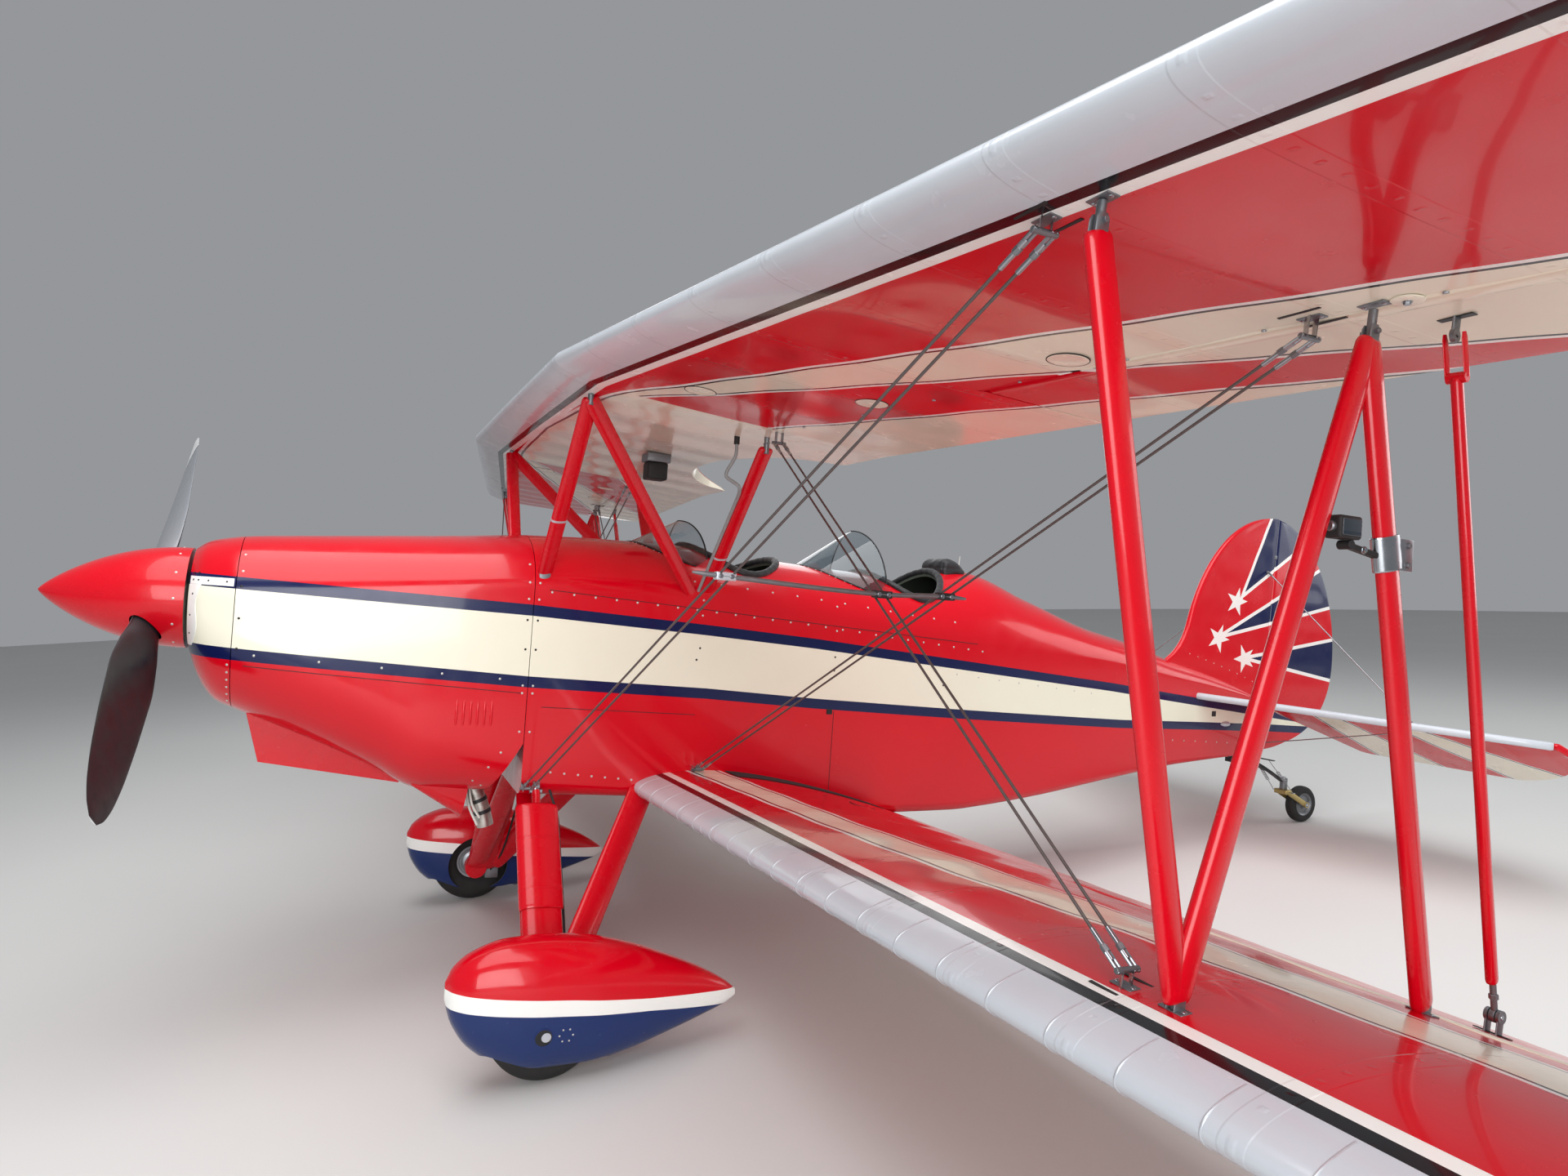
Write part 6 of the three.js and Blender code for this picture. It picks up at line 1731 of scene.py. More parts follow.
# Tail brace wires, and the strut that ties the ailerons together
# bolt through the tailplane at (x, run), the rods' ends as (y, z) on the fin and the keel
brace = {"x": 0.95, "run": 0.53, "fin": (5.16, 0.486), "keel": (5.085, -0.462), "skin": 0.0178}
boltTop, boltFoot = (onTail(brace["x"], brace["run"], up) for up in (0.03, -0.03))
finEnd, keelEnd = np.array((0.028, *brace["fin"])), np.array((0.062, *brace["keel"]))
braceParts = [(rodPart(boltFoot, boltTop, 0.004), dullMetal)]
for a, b in ((boltTop, finEnd), (boltFoot, keelEnd)):
    way = unit(b - a)
    braceParts += [(rodPart(a + 0.03 * way, b - 0.03 * way, 0.0028, 12), brightSteel)]
    for end, back in ((a, way), (b, -way)):
        braceParts += [
            (rodPart(end, end + 0.035 * back, 0.0055, 6), dullMetal),
            (rodPart(end + 0.03 * back, end + 0.075 * back, 0.0042, 10), brightSteel)]
washer = [(0.0115, 0), (0.012, 0.0007), (0.012, 0.005), (0.008, 0.0055)]
for sign in (-1, 1):
    washerAt = onTail(brace["x"], brace["run"], sign * brace["skin"])
    way = onTail(0, 0, sign) - onTail(0, 0, 0)
    braceParts.append((lathe(washer, washerAt, way, 24), brightSteel))
braceParts += [
    (rodPart(finEnd, (brace["skin"], *brace["fin"]), 0.0075), dullMetal),
    (rodPart(keelEnd, (0.03, *brace["keel"]), 0.0075), dullMetal)]
buildPair("tail_brace_rods_left", braceParts, replaces="tail_brace_left")

hornX = 2.848
hornShare = {"lower": 0.755, "upper": 0.765}
lowerPin, lowerRoot = (wingAt(lowerShape, hornX, hornShare["lower"], up) for up in (0.088, 0.02))
upperPin, upperRoot = (wingAt(upperShape, hornX, hornShare["upper"], up) for up in (-0.046, 0.01))


def hingeWay(shape):
    # direction of the aileron's hinge line
    first, last = (
        wingAt(shape, wing[end], wing["hinge"], wing["hingeUp"])
        for end in ("aileronFrom", "aileronTo"))
    return unit(last - first)


lowerWay, upperWay = hingeWay(lowerShape), hingeWay(upperShape)
slaveWay = unit(upperPin - lowerPin)
slaveFoot, slaveHead = lowerPin + 0.06 * slaveWay, upperPin - 0.072 * slaveWay
pinEye = [
    (0.0055, -0.0048), (0.0115, -0.0048), (0.012, -0.004), (0.012, 0.004), (0.0115, 0.0048),
    (0.0055, 0.0048)]
slaveParts = [
    (strutPart(slaveFoot, slaveHead, 0.028, 0.017, rounding(apart(slaveFoot, slaveHead), 0.01)), redEnamel),
    (rodPart(lowerPin + 0.006 * slaveWay, lowerPin + 0.075 * slaveWay, 0.0055), dullMetal),
    (rodPart(lowerPin + 0.03 * slaveWay, lowerPin + 0.04 * slaveWay, 0.0078, 6), dullMetal),
    (lathe(pinEye, lowerPin, lowerWay, 32, loop=True), dullMetal),
    (rodPart(slaveHead - 0.016 * upperWay, slaveHead + 0.016 * upperWay, 0.01), redEnamel)]
for offset in (-0.015 * upperWay, 0.015 * upperWay):
    tine = strutPart(
        slaveHead + offset, upperPin + offset, 0.016, 0.004, [(0, 1, 1), (0.9, 1, 1), (1.06, 0.6, 1)],
        blunt=0)
    slaveParts.append((tine, redEnamel))
buildPair("aileron_strut_tube_left", slaveParts, "aileron_strut_left", "red_paint", "aileron_strut_left")


def cheekParts(pin, root, way, offset, thick):
    # a plate on the aileron with an eye at its end
    pin, root = pin + offset * way, root + offset * way
    eyeRound = [(0.0045, -thick / 2), (0.012, -thick / 2), (0.012, thick / 2), (0.0045, thick / 2)]
    return [(lathe(eyeRound, pin, way, 28, loop=True), dullMetal),
            (strutPart(pin, root, 0.02, thick * 0.96, count=2, blunt=0), dullMetal)]


buildPair(
    "aileron_horn_lower_left",
    [*cheekParts(lowerPin, lowerRoot, lowerWay, -0.01, 0.006),
     *cheekParts(lowerPin, lowerRoot, lowerWay, 0.01, 0.006),
     (rodPart(lowerPin - 0.0135 * lowerWay, lowerPin + 0.0135 * lowerWay, 0.0045, 16), brightSteel)],
    "lower_aileron_left")
buildPair(
    "aileron_horn_upper_left", cheekParts(upperPin, upperRoot, upperWay, 0, 0.008), "upper_aileron_left")
hingePlate = {"inset": 0.17, "reach": 0.052, "apart": 0.01, "pin": 0.014}
for name, shape, way in (("upper", upperShape, upperWay), ("lower", lowerShape, lowerWay)):
    fixed, moving = [], []
    for x in (wing["aileronFrom"] + hingePlate["inset"], wing["aileronTo"] - hingePlate["inset"]):
        pin = wingAt(shape, x, wing["hinge"], wing["hingeUp"])
        ahead = wingAt(shape, x, wing["hinge"] - hingePlate["reach"], wing["hingeUp"]) - pin
        flatWise = {"out": (0, 0, 1), "count": 2, "blunt": 0}
        for k in (-hingePlate["apart"], hingePlate["apart"]):
            plate = strutPart(pin + k * way, pin + ahead + k * way, 0.003, 0.02, **flatWise)
            fixed.append((plate, dullMetal))
        moving += [
            (strutPart(pin, pin - 0.5 * ahead, 0.004, 0.02, **flatWise), dullMetal),
            (rodPart(pin - hingePlate["pin"] * way, pin + hingePlate["pin"] * way, 0.004), brightSteel)]
    buildPair(f"aileron_hinge_plates_{name}_left", fixed)
    buildPair(f"aileron_hinge_pins_{name}_left", moving, f"{name}_aileron_left")
print("tail and aileron fittings built")

# Small fittings, rows of screws and plates, from the nose back
def pointsOn(table, rows, out=0):
    # port points and normals of the side for (y, z) pairs
    rows = np.asarray(rows, float)
    return sideAt(table, rows[:, 0], rows[:, 1], out)


def bothSides(part):
    # a port part and its mirror image in one
    return joinParts([part, mirrorPart(part)])


def lineOf(start, end, pitch):
    # points on a straight line, about a pitch apart
    count = max(2, int(round(np.hypot(*np.subtract(end, start)) / pitch)) + 1)
    return np.linspace(start, end, count)


def along(name, start, end, offset, pitch=0.075):
    # places along a stripe edge, a little above or below it
    y = np.linspace(start, end, int((end - start) / pitch) + 1)
    return np.column_stack([y, np.interp(y, *np.array(stripes[name]).T) + offset])


screw = dome(0.0042, 0.0017, 12)
joint = body["bowlEnd"]
jointRows = {True: [0.2, 0.135, 0.075, -0.235, -0.262, -0.4], False: [0, -0.105]}
paleRows = {
    "cowl": [
        lineOf((joint - 0.01, -0.335), (joint - 0.01, -0.205), 0.026),
        [(joint + 0.016, 0.105), (joint + 0.016, 0.16)], along("bottom", 0.22, 1, 0.022, 0.195),
        [(1.08, z) for z in jointRows[True]],
        [(0.985, -0.53), (1.022, -0.475), (0.94, -0.585), (0.972, -0.605)]],
    "fuselage": [
        along("top", 1.16, 3.05, 0.052, 0.078), along("top", 1.7, 2.9, 0.16, 0.1),
        [(1.116, z) for z in jointRows[True]], lineOf((1.2, -0.545), (1.8, -0.6), 0.052),
        [(1.734, 0.114), (1.734, 0.055), (2.315, 0.125), (2.315, 0.026)],
        lineOf((2.8, -0.12), (3.75, -0.2), 0.12), lineOf((4.1, -0.42), (4.95, -0.46), 0.09)],
}
darkRows = {
    "cowl": [
        [(joint + 0.016, z) for z in (0.055, -0.05, -0.15)], [(1.08, z) for z in jointRows[False]]],
    "fuselage": [
        [(1.116, z) for z in jointRows[False]],
        [(1.732, -0.07), (1.721, -0.115), (2.315, -0.08), (2.315, -0.135), (2.85, -0.18)]],
}
screwParts = []
for table in ("cowl", "fuselage"):
    for rows, finish in ((paleRows[table], paleScrew), (darkRows[table], darkScrew)):
        places, normals = pointsOn(body[table], np.vstack(rows))
        screwParts.append((bothSides(scatter(screw, places, normals)), finish))
build("side_panel_screws", screwParts)

# Seams between the side panels: narrow beads of sealer that lie a hair proud
# flexible sealer in panel joints, duller than the paint
sealer = newMaterial("dark panel joint sealer", ("#3a1015", 0.2, 30), 0.6)
seams = []
for table, start, end in (
    ("fuselage", (1.15, 0.113), (3.02, 0.005)), ("fuselage", (1.15, -0.31), (1.73, -0.325)),
    ("cowl", (0.19, -0.206), (1.075, -0.262)), ("fuselage", (2.325, -0.3), (2.325, -0.68))):
    path, normals = pointsOn(body[table], lineOf(start, end, 0.03), 0.0002)
    seams.append((bothSides(tube(path, 0.0013, 6, up=(1, 0.1, 0.1))), sealer))
build("side_panel_seams", seams, slot="red_paint")

# Small plates on the sides: a dark slot, a dark window near the tail and a cable fairing behind it
fairing = lathe(
    [(0.0015, -0.045), (0.01, -0.03), (0.0135, -0.005), (0.0135, 0.02), (0.011, 0.03), (0.006, 0.034)],
    axis=(1, 0, 0), sides=24)
plateParts = []
for spot, part, finish in (
    ((2.305, -0.302), roundBox((-0.013, -0.011, -0.002), (0.013, 0.011, 0.0025), 0.002), blackEnamel),
    ((4.72, -0.3), roundBox((-0.018, -0.014, -0.003), (0.018, 0.014, 0.0018), 0.0015), blackEnamel),
    ((4.83, -0.355), (fairing[0] * (1, 1, 0.8), fairing[1]), silverPaint)):
    plateParts.append((bothSides(scatter(part, *pointsOn(body["fuselage"], [spot]))), finish))
build("side_hatch_plates", plateParts, slot="black_enamel")

# Cowl louvres, drain tubes and the belly lamp
slat = lathe(
    [(0.0005, -0.046), (0.0044, -0.036), (0.005, 0), (0.0044, 0.036), (0.0005, 0.046)], axis=(0, 1, 0),
    sides=12)
louvreParts = []
for k in range(6):
    vent, ventWay = pointsOn(body["cowl"], [(0.862 + 0.0235 * k, -0.338)])
    louvreParts.append((bothSides(scatter((slat[0] * (1, 1, 0.6), slat[1]), vent, ventWay)), redEnamel))
# clear vinyl gone milky
paleTube = newMaterial("milky vinyl tube", ("#dcdbd4", 0.05, 20), 0.35, Specular_IOR_Level=0.5)
for route in (
    [(0.135, 0.93, -0.6), (0.138, 0.95, -0.7), (0.142, 0.985, -0.775)],
    [(0.15, 0.94, -0.6), (0.154, 0.958, -0.69), (0.16, 0.99, -0.745)]):
    louvreParts.append((tube(smoothPath(route, 16), 0.0045, 12, up=(1, 0, 0)), paleTube))
build("cowl_louvres_and_drains", louvreParts, slot="red_paint")
# ground glass, milky white under a soft gloss
frosted = newMaterial("frosted lamp glass", "#e9e7df", 0.25, Coat_Weight=0.6)
bezel = [(0.03, -0.001), (0.03, 0.006), (0.027, 0.012), (0.024, 0.012), (0.024, -0.001)]
bowl = [(0.024, 0), (0.023, 0.012), (0.016, 0.018), (0.006, 0.021)]
lampAt = (0.06, 1.3, -0.637)
build(
    "belly_lamp",
    [(lathe(bezel, lampAt, (0, 0, -1), 40, loop=True), silverPaint),
     (lathe(bowl, lampAt, (0, 0, -1), 40), frosted)])

# White plate behind the spinner: an upright with a waved rear edge and an arm back to the joint
nosePlate = {"front": 0.014, "foot": -0.15, "armFoot": 0.052, "top": 0.078, "armTo": 0.146, "proud": 0.0014}


def sidePatch(front, back, z):
    # thin sheet on the cowl side: rows at each z from front to back, its top proud of the skin
    s = np.linspace(0, 1, 16)
    rings = []
    for frontY, backY, level in zip(front, back, z):
        y = frontY + s * (backY - frontY)
        top, n = sideAt(body["cowl"], y, np.full(16, level), nosePlate["proud"])
        rings.append(np.vstack([top, top[::-1] - 2 * nosePlate["proud"] * n[::-1]]))
    return skin(np.array(rings))


z = np.linspace(nosePlate["foot"], nosePlate["armFoot"], 24)
t = (z - z[0]) / np.ptp(z)
waved = nosePlate["front"] + 0.016 + 0.02 * t + 0.008 * np.sin(2 * np.pi * t)
arm = np.linspace(nosePlate["armFoot"] + 0.0004, nosePlate["top"], 8)
whiteEnamel = newMaterial("white sprayed enamel", (paint["white"], 0.03, 60), (0.25, 0.4), **glossyCoat)
rivetRows = [
    (0.024, 0.088), (0.04, 0.09), (0.024, 0.066), (0.04, 0.066), (0.07, 0.066), (0.125, 0.066),
    (0.026, 0.02), (0.022, -0.05), (0.022, -0.11)]
plateRivets, plateWay = pointsOn(body["cowl"], rivetRows, nosePlate["proud"])
upright = sidePatch(np.full(24, nosePlate["front"]), waved, z)
armPart = sidePatch(np.full(8, nosePlate["front"]), np.full(8, nosePlate["armTo"]), arm)
build(
    "nose_side_plates",
    [(bothSides(upright), whiteEnamel), (bothSides(armPart), whiteEnamel),
     (bothSides(scatter(dome(0.0034, 0.0014), plateRivets, plateWay)), darkScrew)])

# Ring of twelve screws round the spinner's foot
angle = np.arange(0, 360, 30) * degree
r = prop["spinnerRadius"] * math.sin((1 - 0.03 / prop["spinnerLength"]) ** 0.8 * math.pi / 2)
places = np.column_stack([r * np.cos(angle), np.full(len(angle), -0.032), r * np.sin(angle)])
build(
    "spinner_screws", [(scatter(screw, places, places * (1, 0, 1), up=(0, 1, 0)), paleScrew)], "propeller")

# Wheel fairing: a round access hole, drawn as a black disc of painted shade with a silver cap in it, and a
# ring of six rivets beside it
def spatSide(y, z):
    # the superellipse solved for x at a height
    half, top, bottom = smoothTable(gear["spat"], np.atleast_1d(y)).T
    tall = np.clip(np.abs(z - (top + bottom) / 2) / ((top - bottom) / 2), 0, 0.999)
    x = gear["wheel"][0] + half * (1 - tall ** (2 / gear["fuller"])) ** (gear["fuller"] / 2)
    return np.column_stack([x, np.broadcast_to(y, x.shape), np.broadcast_to(z, x.shape)])


def spatNormal(y, z):
    # outward normal: small steps aft and up, crossed
    d = 0.004
    alongY, alongZ = spatSide(y + d, z) - spatSide(y - d, z), spatSide(y, z + d) - spatSide(y, z - d)
    n = np.cross(alongY, alongZ)
    return unit(n * np.sign(n[:, :1]))


holeSpot = {"y": 1.097, "z": -1.195, "radius": 0.025, "rivetRing": 0.02, "rivetsAft": 0.066}
holeAt, holeWay = spatSide(holeSpot["y"], holeSpot["z"]), spatNormal(holeSpot["y"], holeSpot["z"])
rivetAt = np.column_stack([
    holeSpot["y"] + holeSpot["rivetsAft"] + holeSpot["rivetRing"] * np.cos(turns),
    holeSpot["z"] + holeSpot["rivetRing"] * np.sin(turns)])
r = holeSpot["radius"]
# the hole is a black disc on the skin: painted shade of the fairing's inside
hole = lathe([(r, -0.002), (r, 0.0006)], sides=40)
capPart = lathe([(0.6 * r, 0), (0.55 * r, 0.0014)], sides=32)
rimRound = [(r, -0.001), (r, 0.0012), (r + 0.0028, 0.0008), (r + 0.0028, -0.001)]
rivets = scatter(dome(0.003, 0.0014), spatSide(*rivetAt.T), spatNormal(*rivetAt.T))
buildPair(
    "wheel_spat_fittings_left",
    [(scatter(hole, holeAt, holeWay), blackRubber),
     (scatter(capPart, holeAt + (0, 0.3 * r, 0), holeWay), silverPaint),
     (scatter(lathe(rimRound, sides=40, loop=True), holeAt, holeWay), spatFinish), (rivets, paleScrew)])

# Brake unit, its hose and clips on the front leg, and the clevis at the leg's head
legWay = unit(frontFoot - frontTop)
clevisAt = frontTop - 0.02 * legWay
hosePath = [between(frontTop, frontFoot, share) + offset for share, offset in (
    (0.02, (-0.03, 0.05, 0.02)), (0.2, (-0.045, 0.082, 0)), (0.55, (-0.04, 0.08, 0)),
    (0.85, (-0.02, 0.072, 0)))]
hosePath = smoothPath([*hosePath, (0.792, 1.19, -1.205)], 40)
legParts = [
    (tube(hosePath, 0.0045, 12, up=(1, 0, 0)), blackRubber),
    (roundBox((0.79, 1.165, -1.245), (0.85, 1.225, -1.195), 0.006), dullMetal),
    (rodPart(frontTop - 0.055 * legWay, frontTop + 0.045 * legWay, 0.0135), brightSteel),
    (rodPart(frontTop + (0, -0.022, 0), frontTop + (0, 0.022, 0), 0.0095, 6), brightSteel),
    (rodPart(clevisAt + (0, -0.012, 0), clevisAt + (0, 0.012, 0), 0.02, 24), brightSteel)]
for share in (0.25, 0.5):
    ringAt = between(frontTop, frontFoot, share)
    ring = strutPart(
        ringAt, ringAt + 0.01 * legWay, 0.1525, 0.0665,
        [(0, 0.985, 0.97), (0.2, 1, 1), (0.8, 1, 1), (1, 0.985, 0.97)], count=2)
    legParts.append((ring, redEnamel))
buildPair("gear_leg_fittings_left", legParts)


def skinPoint(shape, x, share, side, out=0):
    # a point and normal on the wing's skin, from the section's own slope
    x, share = np.broadcast_arrays(
        np.atleast_1d(np.asarray(x, float)), np.atleast_1d(np.asarray(share, float)))
    at = []
    for s in (share, share + 0.004):
        middle, half = aerofoil(s, wing["chord"], wing["thick"])
        at.append(onWing(shape, x, s, middle + side * half))
    n = np.cross(at[1] - at[0], np.array([1, 0, 0]))
    n = unit(n * np.sign(n[:, 2:]) * side)
    return at[0] + out * n, n


# False ribs under the lower leading edge's sheet: a soft bead round the nose at each, proud by a millimetre
beads = {"pitch": 0.152, "from": 0.42, "radius": 0.0028, "proud": 0.0009, "top": 0.064, "foot": 0.05}
beadParts = []
for x in np.arange(beads["from"], wing["semiSpan"] - wing["tip"], beads["pitch"]):
    s = np.concatenate([
        np.linspace(beads["foot"] ** 0.5, 0, 12) ** 2, np.linspace(0, beads["top"] ** 0.5, 14)[1:] ** 2
    ])
    side = np.where(np.arange(25) < 12, -1, 1)
    middle, half = aerofoil(s, wing["chord"], wing["thick"])
    path = onWing(lowerShape, np.full(25, x), s, middle + side * (half + beads["proud"] - beads["radius"]))
    path[:, 1] += (beads["radius"] - beads["proud"]) * np.clip(1 - s / 0.004, 0, 1)
    beadParts.append((tube(path, beads["radius"], 10, up=(1, 0, 0)), silverPaint))
buildPair("leading_edge_beads_left", beadParts)

# Grit walkway at the lower root, inspection covers, drain eyelets and the fittings' slots
grit = newMaterial("black anti-slip grit", ("#1d1d1f", 0.25, 4), 0.92, (1.4, 0.5))


def wingPatch(shape, fromX, toX, start, end, thick):
    # thin sheet that follows the skin: rings of its top from start to end and back below
    s = np.linspace(start, end, 24)
    rings = []
    for x in np.linspace(fromX, toX, 12):
        top, n = skinPoint(shape, np.full(24, x), s, 1, thick)
        rings.append(np.vstack([top, top[::-1] - 1.8 * thick * n[::-1]]))
    return skin(np.array(rings))


buildPair(
    "wing_walk_left", [(wingPatch(lowerShape, 0.36, 0.5, 0.3, 0.86, 0.0012), grit)],
    slot="black_enamel")
# cover plates carry the cream of the wing round them
creamDope = newMaterial("cream dope", (paint["cream"], 0.03, 80), (0.2, 0.34), **glossyCoat)
coverRing = lathe([(0.046, -0.001), (0.046, 0.0009), (0.0478, 0.0009), (0.0478, -0.001)], sides=48, loop=True)
cover = lathe(
    [(0.0455, -0.001), (0.0455, 0.0008), (0.043, 0.0016), (0.038, 0.0012), (0.003, 0.0012)], sides=48)
eyelet = lathe([(0.0018, -0.001), (0.0018, 0.0012), (0.0045, 0.0012), (0.0055, -0.001)], sides=16, loop=True)
coverParts = []
for shape, side, spots in (
    (upperShape, -1, [(1.513, 0.6), (2.2, 0.6), (1.2, 0.3)]),
    (lowerShape, -1, [(1.4, 0.55), (2.45, 0.6)]), (lowerShape, 1, [(0.8, 0.62)])):
    x, share = np.array(spots).T
    at, n = skinPoint(shape, x, share, side)
    coverParts.append((scatter(cover, at, n, up=(0, 1, 0)), redEnamel if side > 0 else creamDope))
    coverParts.append((scatter(coverRing, at, n, up=(0, 1, 0)), blackRubber))
drainX = np.arange(1.07, 3.5, 0.305)
for shape in (upperShape, lowerShape):
    at, n = skinPoint(shape, drainX, 0.66, -1)
    coverParts.append((scatter(eyelet, at, n, up=(0, 1, 0)), brightSteel))
buildPair("wing_covers_left", coverParts)

# Plates on the skin where struts, wires and the aileron strut enter: bevelled, with two screws each
plateShape = roundBox((-0.024, -0.012, -0.001), (0.024, 0.012, 0.002), 0.0015)
slotShape = roundBox((-0.042, -0.0035, -0.001), (0.042, 0.0035, 0.0008), 0.0006)
entries, entrySlots, entryScrews = [], [], []
at, n = skinPoint(upperShape, strutX + 0.045, wing["rearSpar"] + 0.01, -1)
cap = scatter(lathe([(0.026, -0.001), (0.026, 0.0012), (0.023, 0.002), (0.004, 0.0024)], sides=40), at, n)
entryScrews.append(scatter(hexHead(0.006, 0.005), at + 0.0028 * n, n))
strutSpots = [(strutX, wing["frontSpar"]), (strutX, wing["rearSpar"]), (wireX, wing["frontSpar"])]
for shape, side, spots in (
    (upperShape, -1, [*strutSpots, (wireX, wing["rearSpar"])]), (lowerShape, 1, strutSpots)):
    for x, share in spots:
        at, n = skinPoint(shape, x, share, side)
        entries.append(scatter(plateShape, at, n))
        entryScrews.append(scatter(screw, np.vstack([at - (0.018, 0, 0), at + (0.018, 0, 0)]) + 0.002 * n, n))
        if x == wireX:
            entrySlots += [scatter(slotShape, *skinPoint(shape, x, share + k, side)) for k in (-0.03, 0.03)]
hornSlot = roundBox((-0.03, -0.0075, -0.001), (0.03, 0.0075, 0.0009), 0.0007)
for shape, side, node in ((upperShape, -1, "upper"), (lowerShape, 1, "lower")):
    slotPart = scatter(hornSlot, *skinPoint(shape, hornX, hornShare[node], side))
    buildPair(
        f"aileron_slot_{node}_left", [(slotPart, blackEnamel)], f"{node}_aileron_left", "black_enamel")
buildPair(
    "wing_entry_plates_left",
    [(joinParts(entries), dullMetal), (cap, creamDope), (joinParts(entrySlots), blackRubber),
     (joinParts(entryScrews), brightSteel)])

# Rod that steadies the wires where they cross, with clamps on each pair
rodPath = np.array([
    (1.735, 1.205, 0.1815), (1.739, 1.2874, 0.1771), (1.7375, 1.7167, 0.163), (1.747, 1.8992, 0.17),
    (1.748, 1.96, 0.168)])
rodRadius = np.interp(np.linspace(0, 1, 40), [0, 0.04, 0.96, 1], [0.003, 0.0062, 0.0062, 0.003])
steady = [(tube(smoothPath(rodPath + (0.01, 0, 0), 40), rodRadius, 16, up=(1, 0, 0)), dullMetal)]
for k, finish in ((1, silverPaint), (2, blackRubber), (3, blackRubber)):
    centre = rodPath[k] + (0.004, 0, 0)
    bolts = scatter(
        hexHead(0.0045, 0.004), [centre + (0.012, -0.014, 0), centre + (0.012, 0.014, 0)], (1, 0, 0))
    steady += [
        (roundBox(centre - (0.012, 0.026, 0.01), centre + (0.012, 0.026, 0.01), 0.004), finish),
        (bolts, brightSteel)]
buildPair("wire_steady_rod_left", steady)

# dark cover glass, blue grey where it mirrors the sky
darkGlass = newMaterial("dark cover glass", ("#1d2732", 0.1, 20), 0.08, Coat_Weight=1, Coat_Roughness=0.02)
# Clamp with a small camera on the port rear strut
clampAt = between(ends["topRear"], ends["footRear"], 0.3085)
strutWay = unit(ends["footRear"] - ends["topRear"])
sleeve = strutPart(
    clampAt - 0.03 * strutWay, clampAt + 0.03 * strutWay, 0.066, 0.032,
    [(0, 0.98, 0.96), (0.04, 1, 1), (0.96, 1, 1), (1, 0.98, 0.96)], blunt=0.1)
foldAt = clampAt + (0, 0.044, 0)
foldBolts = [foldAt + (0.006, 0.004, 0.017), foldAt + (0.006, 0.004, -0.017)]
armFrom, armTo = clampAt + (0, -0.03, -0.006), clampAt + (0, -0.105, 0.006)
armBolt = [between(armFrom, armTo, 0.5) + (0.007, 0, 0)]
lensRound = [(0.009, 0), (0.009, 0.006), (0.007, 0.008)]
clampParts = [
    (sleeve, brightSteel),
    (roundBox(foldAt - (0.006, 0.018, 0.028), foldAt + (0.006, 0.018, 0.028), 0.0015), brightSteel),
    (scatter(hexHead(0.005, 0.004), foldBolts, (1, 0, 0)), dullMetal),
    (strap(np.linspace(armFrom, armTo, 6), 0.014, 0.01), blackRubber),
    (rodPart(armTo + (-0.012, 0, 0), armTo + (0.012, 0, 0), 0.008, 20), blackRubber),
    (scatter(hexHead(0.005, 0.004), armBolt, (1, 0, 0)), brightSteel),
    (roundBox(armTo + (-0.016, -0.036, 0.008), armTo + (0.016, 0.02, 0.048), 0.006), blackRubber),
    (roundBox(armTo + (0.0155, -0.031, 0.014), armTo + (0.0172, 0.015, 0.042), 0.0008), darkGlass),
    (lathe(lensRound, armTo + (0, -0.036, 0.028), (0, -1, 0), 28), dullMetal)]
build("strut_camera_clamp", clampParts, slot="black_enamel")

# Under the centre section: a hanging gauge, a hose down a cabane strut, and clips on the struts
gauge = [
    (roundBox((-0.04, 1.566, 0.592), (0.04, 1.652, 0.664), 0.01), blackRubber),
    (roundBox((-0.044, 1.56, 0.664), (0.044, 1.66, 0.7), 0.004), dullMetal),
    (roundBox((-0.02, 1.59, 0.7), (0.02, 1.63, 0.732), 0.003), dullMetal)]
build("hanging_gauge", gauge, slot="black_enamel")
top, foot = np.array(cabane["rearTop"]), np.array(cabane["rearFoot"])
hose = smoothPath(
    [
        (0.7, 1.69, 0.712), (0.7, 1.692, 0.64), (0.676, 1.668, 0.56), (0.7, 1.712, 0.52),
        between(top, foot, 0.32) + (0.012, -0.034, 0), between(top, foot, 0.6) + (0.006, -0.033, 0),
        between(top, foot, 0.97) + (0.008, -0.034, 0)],
    60)
hoseParts = [
    (tube(hose, 0.0062, 14, up=(1, 0.2, 0)), greyHose),
    (rodPart((0.7, 1.69, 0.735), (0.7, 1.691, 0.668), 0.01, 20), blackRubber)]
for a, b, share in ((top, foot, 0.7), (np.array(cabane["frontTop"]), np.array(cabane["frontFoot"]), 0.66)):
    at = between(a, b, share)
    clip = strutPart(at, at + 0.008 * unit(b - a), 0.0575, 0.0275, [(0, 1, 1), (1, 1, 1)], count=2)
    hoseParts.append((clip, silverPaint))
build("cabane_hose_and_clips", hoseParts, slot="black_enamel")
footBolts = []
for spot in ("frontFoot", "middleFoot", "rearFoot"):
    at = np.array(cabane[spot])
    bolt = scatter(hexHead(0.0075, 0.006), [at + (0.014, -0.004, 0.02)], (1, 0, 0.25))
    plate = strutPart(
        at + (0.01, 0, 0.04), at + (0.012, 0, -0.02), 0.04, 0.006, rounding(0.06, 0.015), count=4, blunt=0)
    footBolts += [(bolt, brightSteel), (plate, dullMetal)]
buildPair("cabane_foot_bolts_left", footBolts)

# Thin post behind the headrest, and the steering springs and plate of the tail wheel
deckTop = float(deckAt(np.array([0]), np.array([3.125]))[0])
boot = [(0.012, -0.003), (0.012, 0.002), (0.006, 0.008), (0.0035, 0.01)]
build(
    "aerial_post",
    [(rodPart((0, 3.122, deckTop - 0.004), (0, 3.128, 0.404), 0.0028, 12), paleScrew),
     (lathe(boot, (0, 3.122, deckTop), (0, 0, 1), 24), blackRubber)])


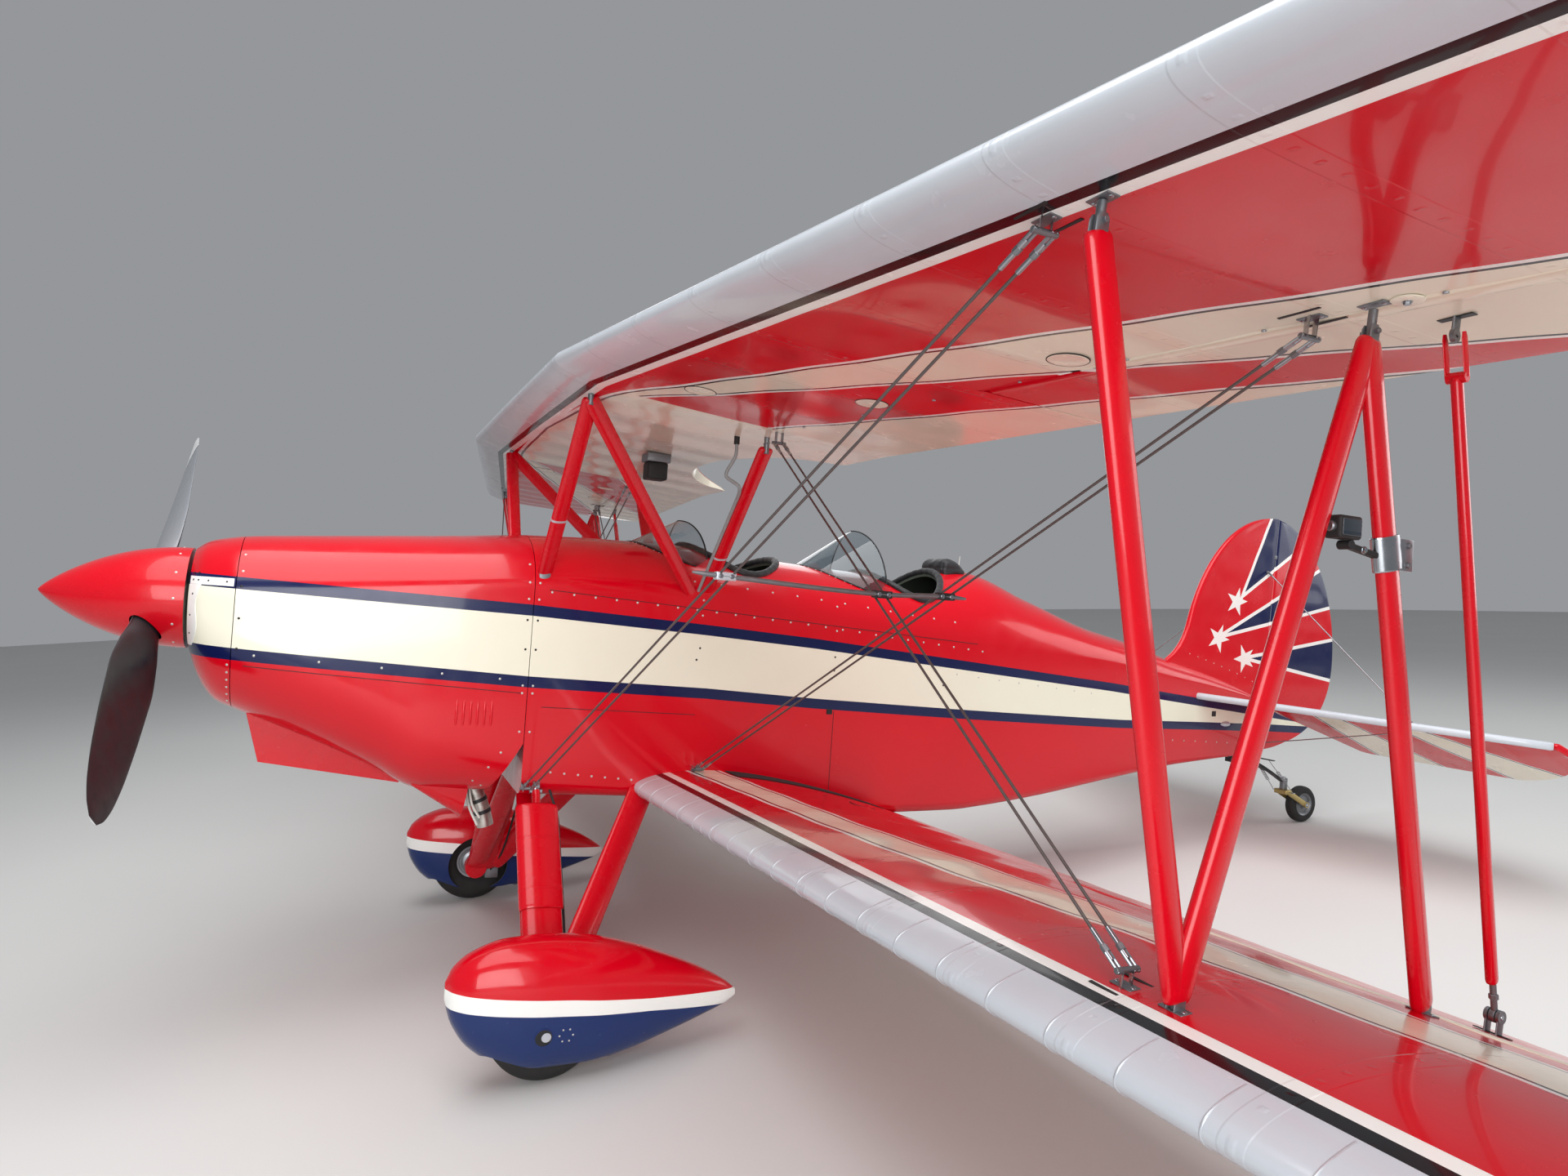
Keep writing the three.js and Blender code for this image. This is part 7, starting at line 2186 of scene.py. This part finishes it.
def coil(start, end, radius, wireRadius, turnsCount):
    # helix round a line: start + s way + r (cos w, sin w)
    start, end = np.asarray(start, float), np.asarray(end, float)
    s = np.linspace(0, 1, turnsCount * 14 + 1)
    side, across = frameAlong(unit(end - start)[None], np.array((0, 0, 1)))
    w = 2 * np.pi * turnsCount * s
    path = start + s[:, None] * (end - start) + radius * (
        np.cos(w)[:, None] * side + np.sin(w)[:, None] * across)
    return tube(path, wireRadius, 8, up=unit(end - start))


barY = 5.235
springParts = []
for sx in (-1, 1):
    low, high = np.array((sx * 0.064, steerY, -0.741)), np.array((sx * 0.045, barY, -0.56))
    springParts += [
        (coil(between(low, high, 0.3), between(low, high, 0.66), 0.0075, 0.0016, 9), brightSteel),
        (rodPart(low, between(low, high, 0.31), 0.0018, 10), brightSteel),
        (rodPart(between(low, high, 0.65), high, 0.0018, 10), brightSteel)]
bar = strap([(-0.075, barY, -0.556), (0.075, barY, -0.556)], 0.022, 0.0045, across=(0, 1, 0))
build("tail_steering_springs", [*springParts, (bar, blackEnamel)])

# Hinge bolts and plates of the rudder, screws along the fin's foot, and the elevator's hinge pins
pins = []
for level in (0.12, 0.56, 1.08):
    z = tail["rudderFoot"][1] + level * (tail["rudderHead"][1] - tail["rudderFoot"][1]) / 1.2964
    y = float(hingeLine(z))
    head = scatter(hexHead(0.0055, 0.004), [(0, y, z + 0.012)], (0, 0, 1), up=(1, 0, 0))
    plate = roundBox((0.0165, y - 0.03, z - 0.01), (0.0182, y - 0.008, z + 0.01), 0.0008)
    pins += [(joinParts([rodPart((0, y, z - 0.012), (0, y, z + 0.012), 0.0048, 16), head]), brightSteel),
             (bothSides(plate), dullMetal)]
yRow = np.linspace(4.62, 5.1, 9)
finRow = np.column_stack([np.full(9, 0.0165), yRow, deckAt(np.zeros(9), yRow) + 0.075])
pins.append((bothSides(scatter(dome(0.003, 0.0014), finRow, (1, 0, 0))), paleScrew))
build("tail_hinge_hardware", pins)
hingePins = []
for x in (-1.08, -0.45, 0.45, 1.08):
    at = onTail(x, tail["hinge"], 0)
    head = scatter(hexHead(0.0055, 0.004), [at + (0.012, 0, 0)], (1, 0, 0))
    hingePins.append((
        joinParts([rodPart(at - (0.012, 0, 0), at + (0.012, 0, 0), 0.0048, 16), head]), brightSteel))
build("elevator_hinge_pins", hingePins)
print("fittings built")

# Camera at the photo's viewpoint, off the port wing tip, with the photo's field of view
view = {"place": (3.92054, 0.46289, 0.12228), "right": (0.410148, 0.909325, 0.070049),
        "up": (-0.014215, -0.070424, 0.997416), "ahead": (-0.911908, 0.410084, 0.015959), "lens": 22.587}
lens = bpy.data.cameras.new("photo view")
lens.sensor_fit, lens.sensor_width, lens.lens = "HORIZONTAL", 36, view["lens"]
lens.clip_start, lens.clip_end = 0.05, 200
camera = bpy.data.objects.new("photo view", lens)
bpy.context.scene.collection.objects.link(camera)
axes = tipped @ np.column_stack([view["right"], view["up"], -np.array(view["ahead"])])
spot = tipped @ np.array(view["place"]) + moved
camera.matrix_world = Matrix([(*axes[k], spot[k]) for k in range(3)] + [(0, 0, 0, 1)])
bpy.context.scene.camera = camera

# Plain pale floor, large soft lamps overhead and on the camera's side, pale surroundings
t = np.linspace(0, 2 * np.pi, 96, endpoint=False)
floorPart = skin(np.array([
    np.column_stack([r * np.cos(t), r * np.sin(t), 0 * t + z]) for r, z in ((26, -0.02), (26, 0), (8, 0))]))
studioFloor = newMaterial("pale studio floor", "#d4d4d2", (0.6, 0.75, 900))
floorMesh = meshFrom("studio floor", [((floorPart[0] @ tipped - moved @ tipped, floorPart[1]), studioFloor)])
floor = bpy.data.objects.new("studio floor", floorMesh)
bpy.context.scene.collection.objects.link(floor)
for name, spot, aim, size, power in (
    ("overhead lamp", (2, -1, 6.5), (0, -0.5, 0), 7, 520),
    ("side lamp", (9, -4, 3.2), (0, -1, 1), 5, 470), ("far lamp", (-8, 3, 4), (0, 0, 1), 5, 120),
    ("tail lamp", (3, 9, 3), (0, 1, 1), 4, 120)):
    lamp = bpy.data.lights.new(name, "AREA")
    lamp.energy, lamp.size = power, size
    lit = bpy.data.objects.new(name, lamp)
    bpy.context.scene.collection.objects.link(lit)
    lit.visible_transmission = False  # the screens don't show the lamps behind them
    back = unit(np.subtract(spot, aim).astype(float))
    side = unit(np.cross((0, 0, 1), back))
    top = np.cross(back, side)
    lit.matrix_world = Matrix([(side[k], top[k], back[k], spot[k]) for k in range(3)] + [(0, 0, 0, 1)])
surroundings = bpy.data.worlds.new("pale studio")
surroundings.use_nodes = True
backdrop = surroundings.node_tree.nodes["Background"]
backdrop.inputs["Color"].default_value = linear("#e6e9ee")
backdrop.inputs["Strength"].default_value = 0.38
bpy.context.scene.world = surroundings
bpy.context.scene.view_settings.view_transform = "Standard"
print("camera, floor and lamps set")
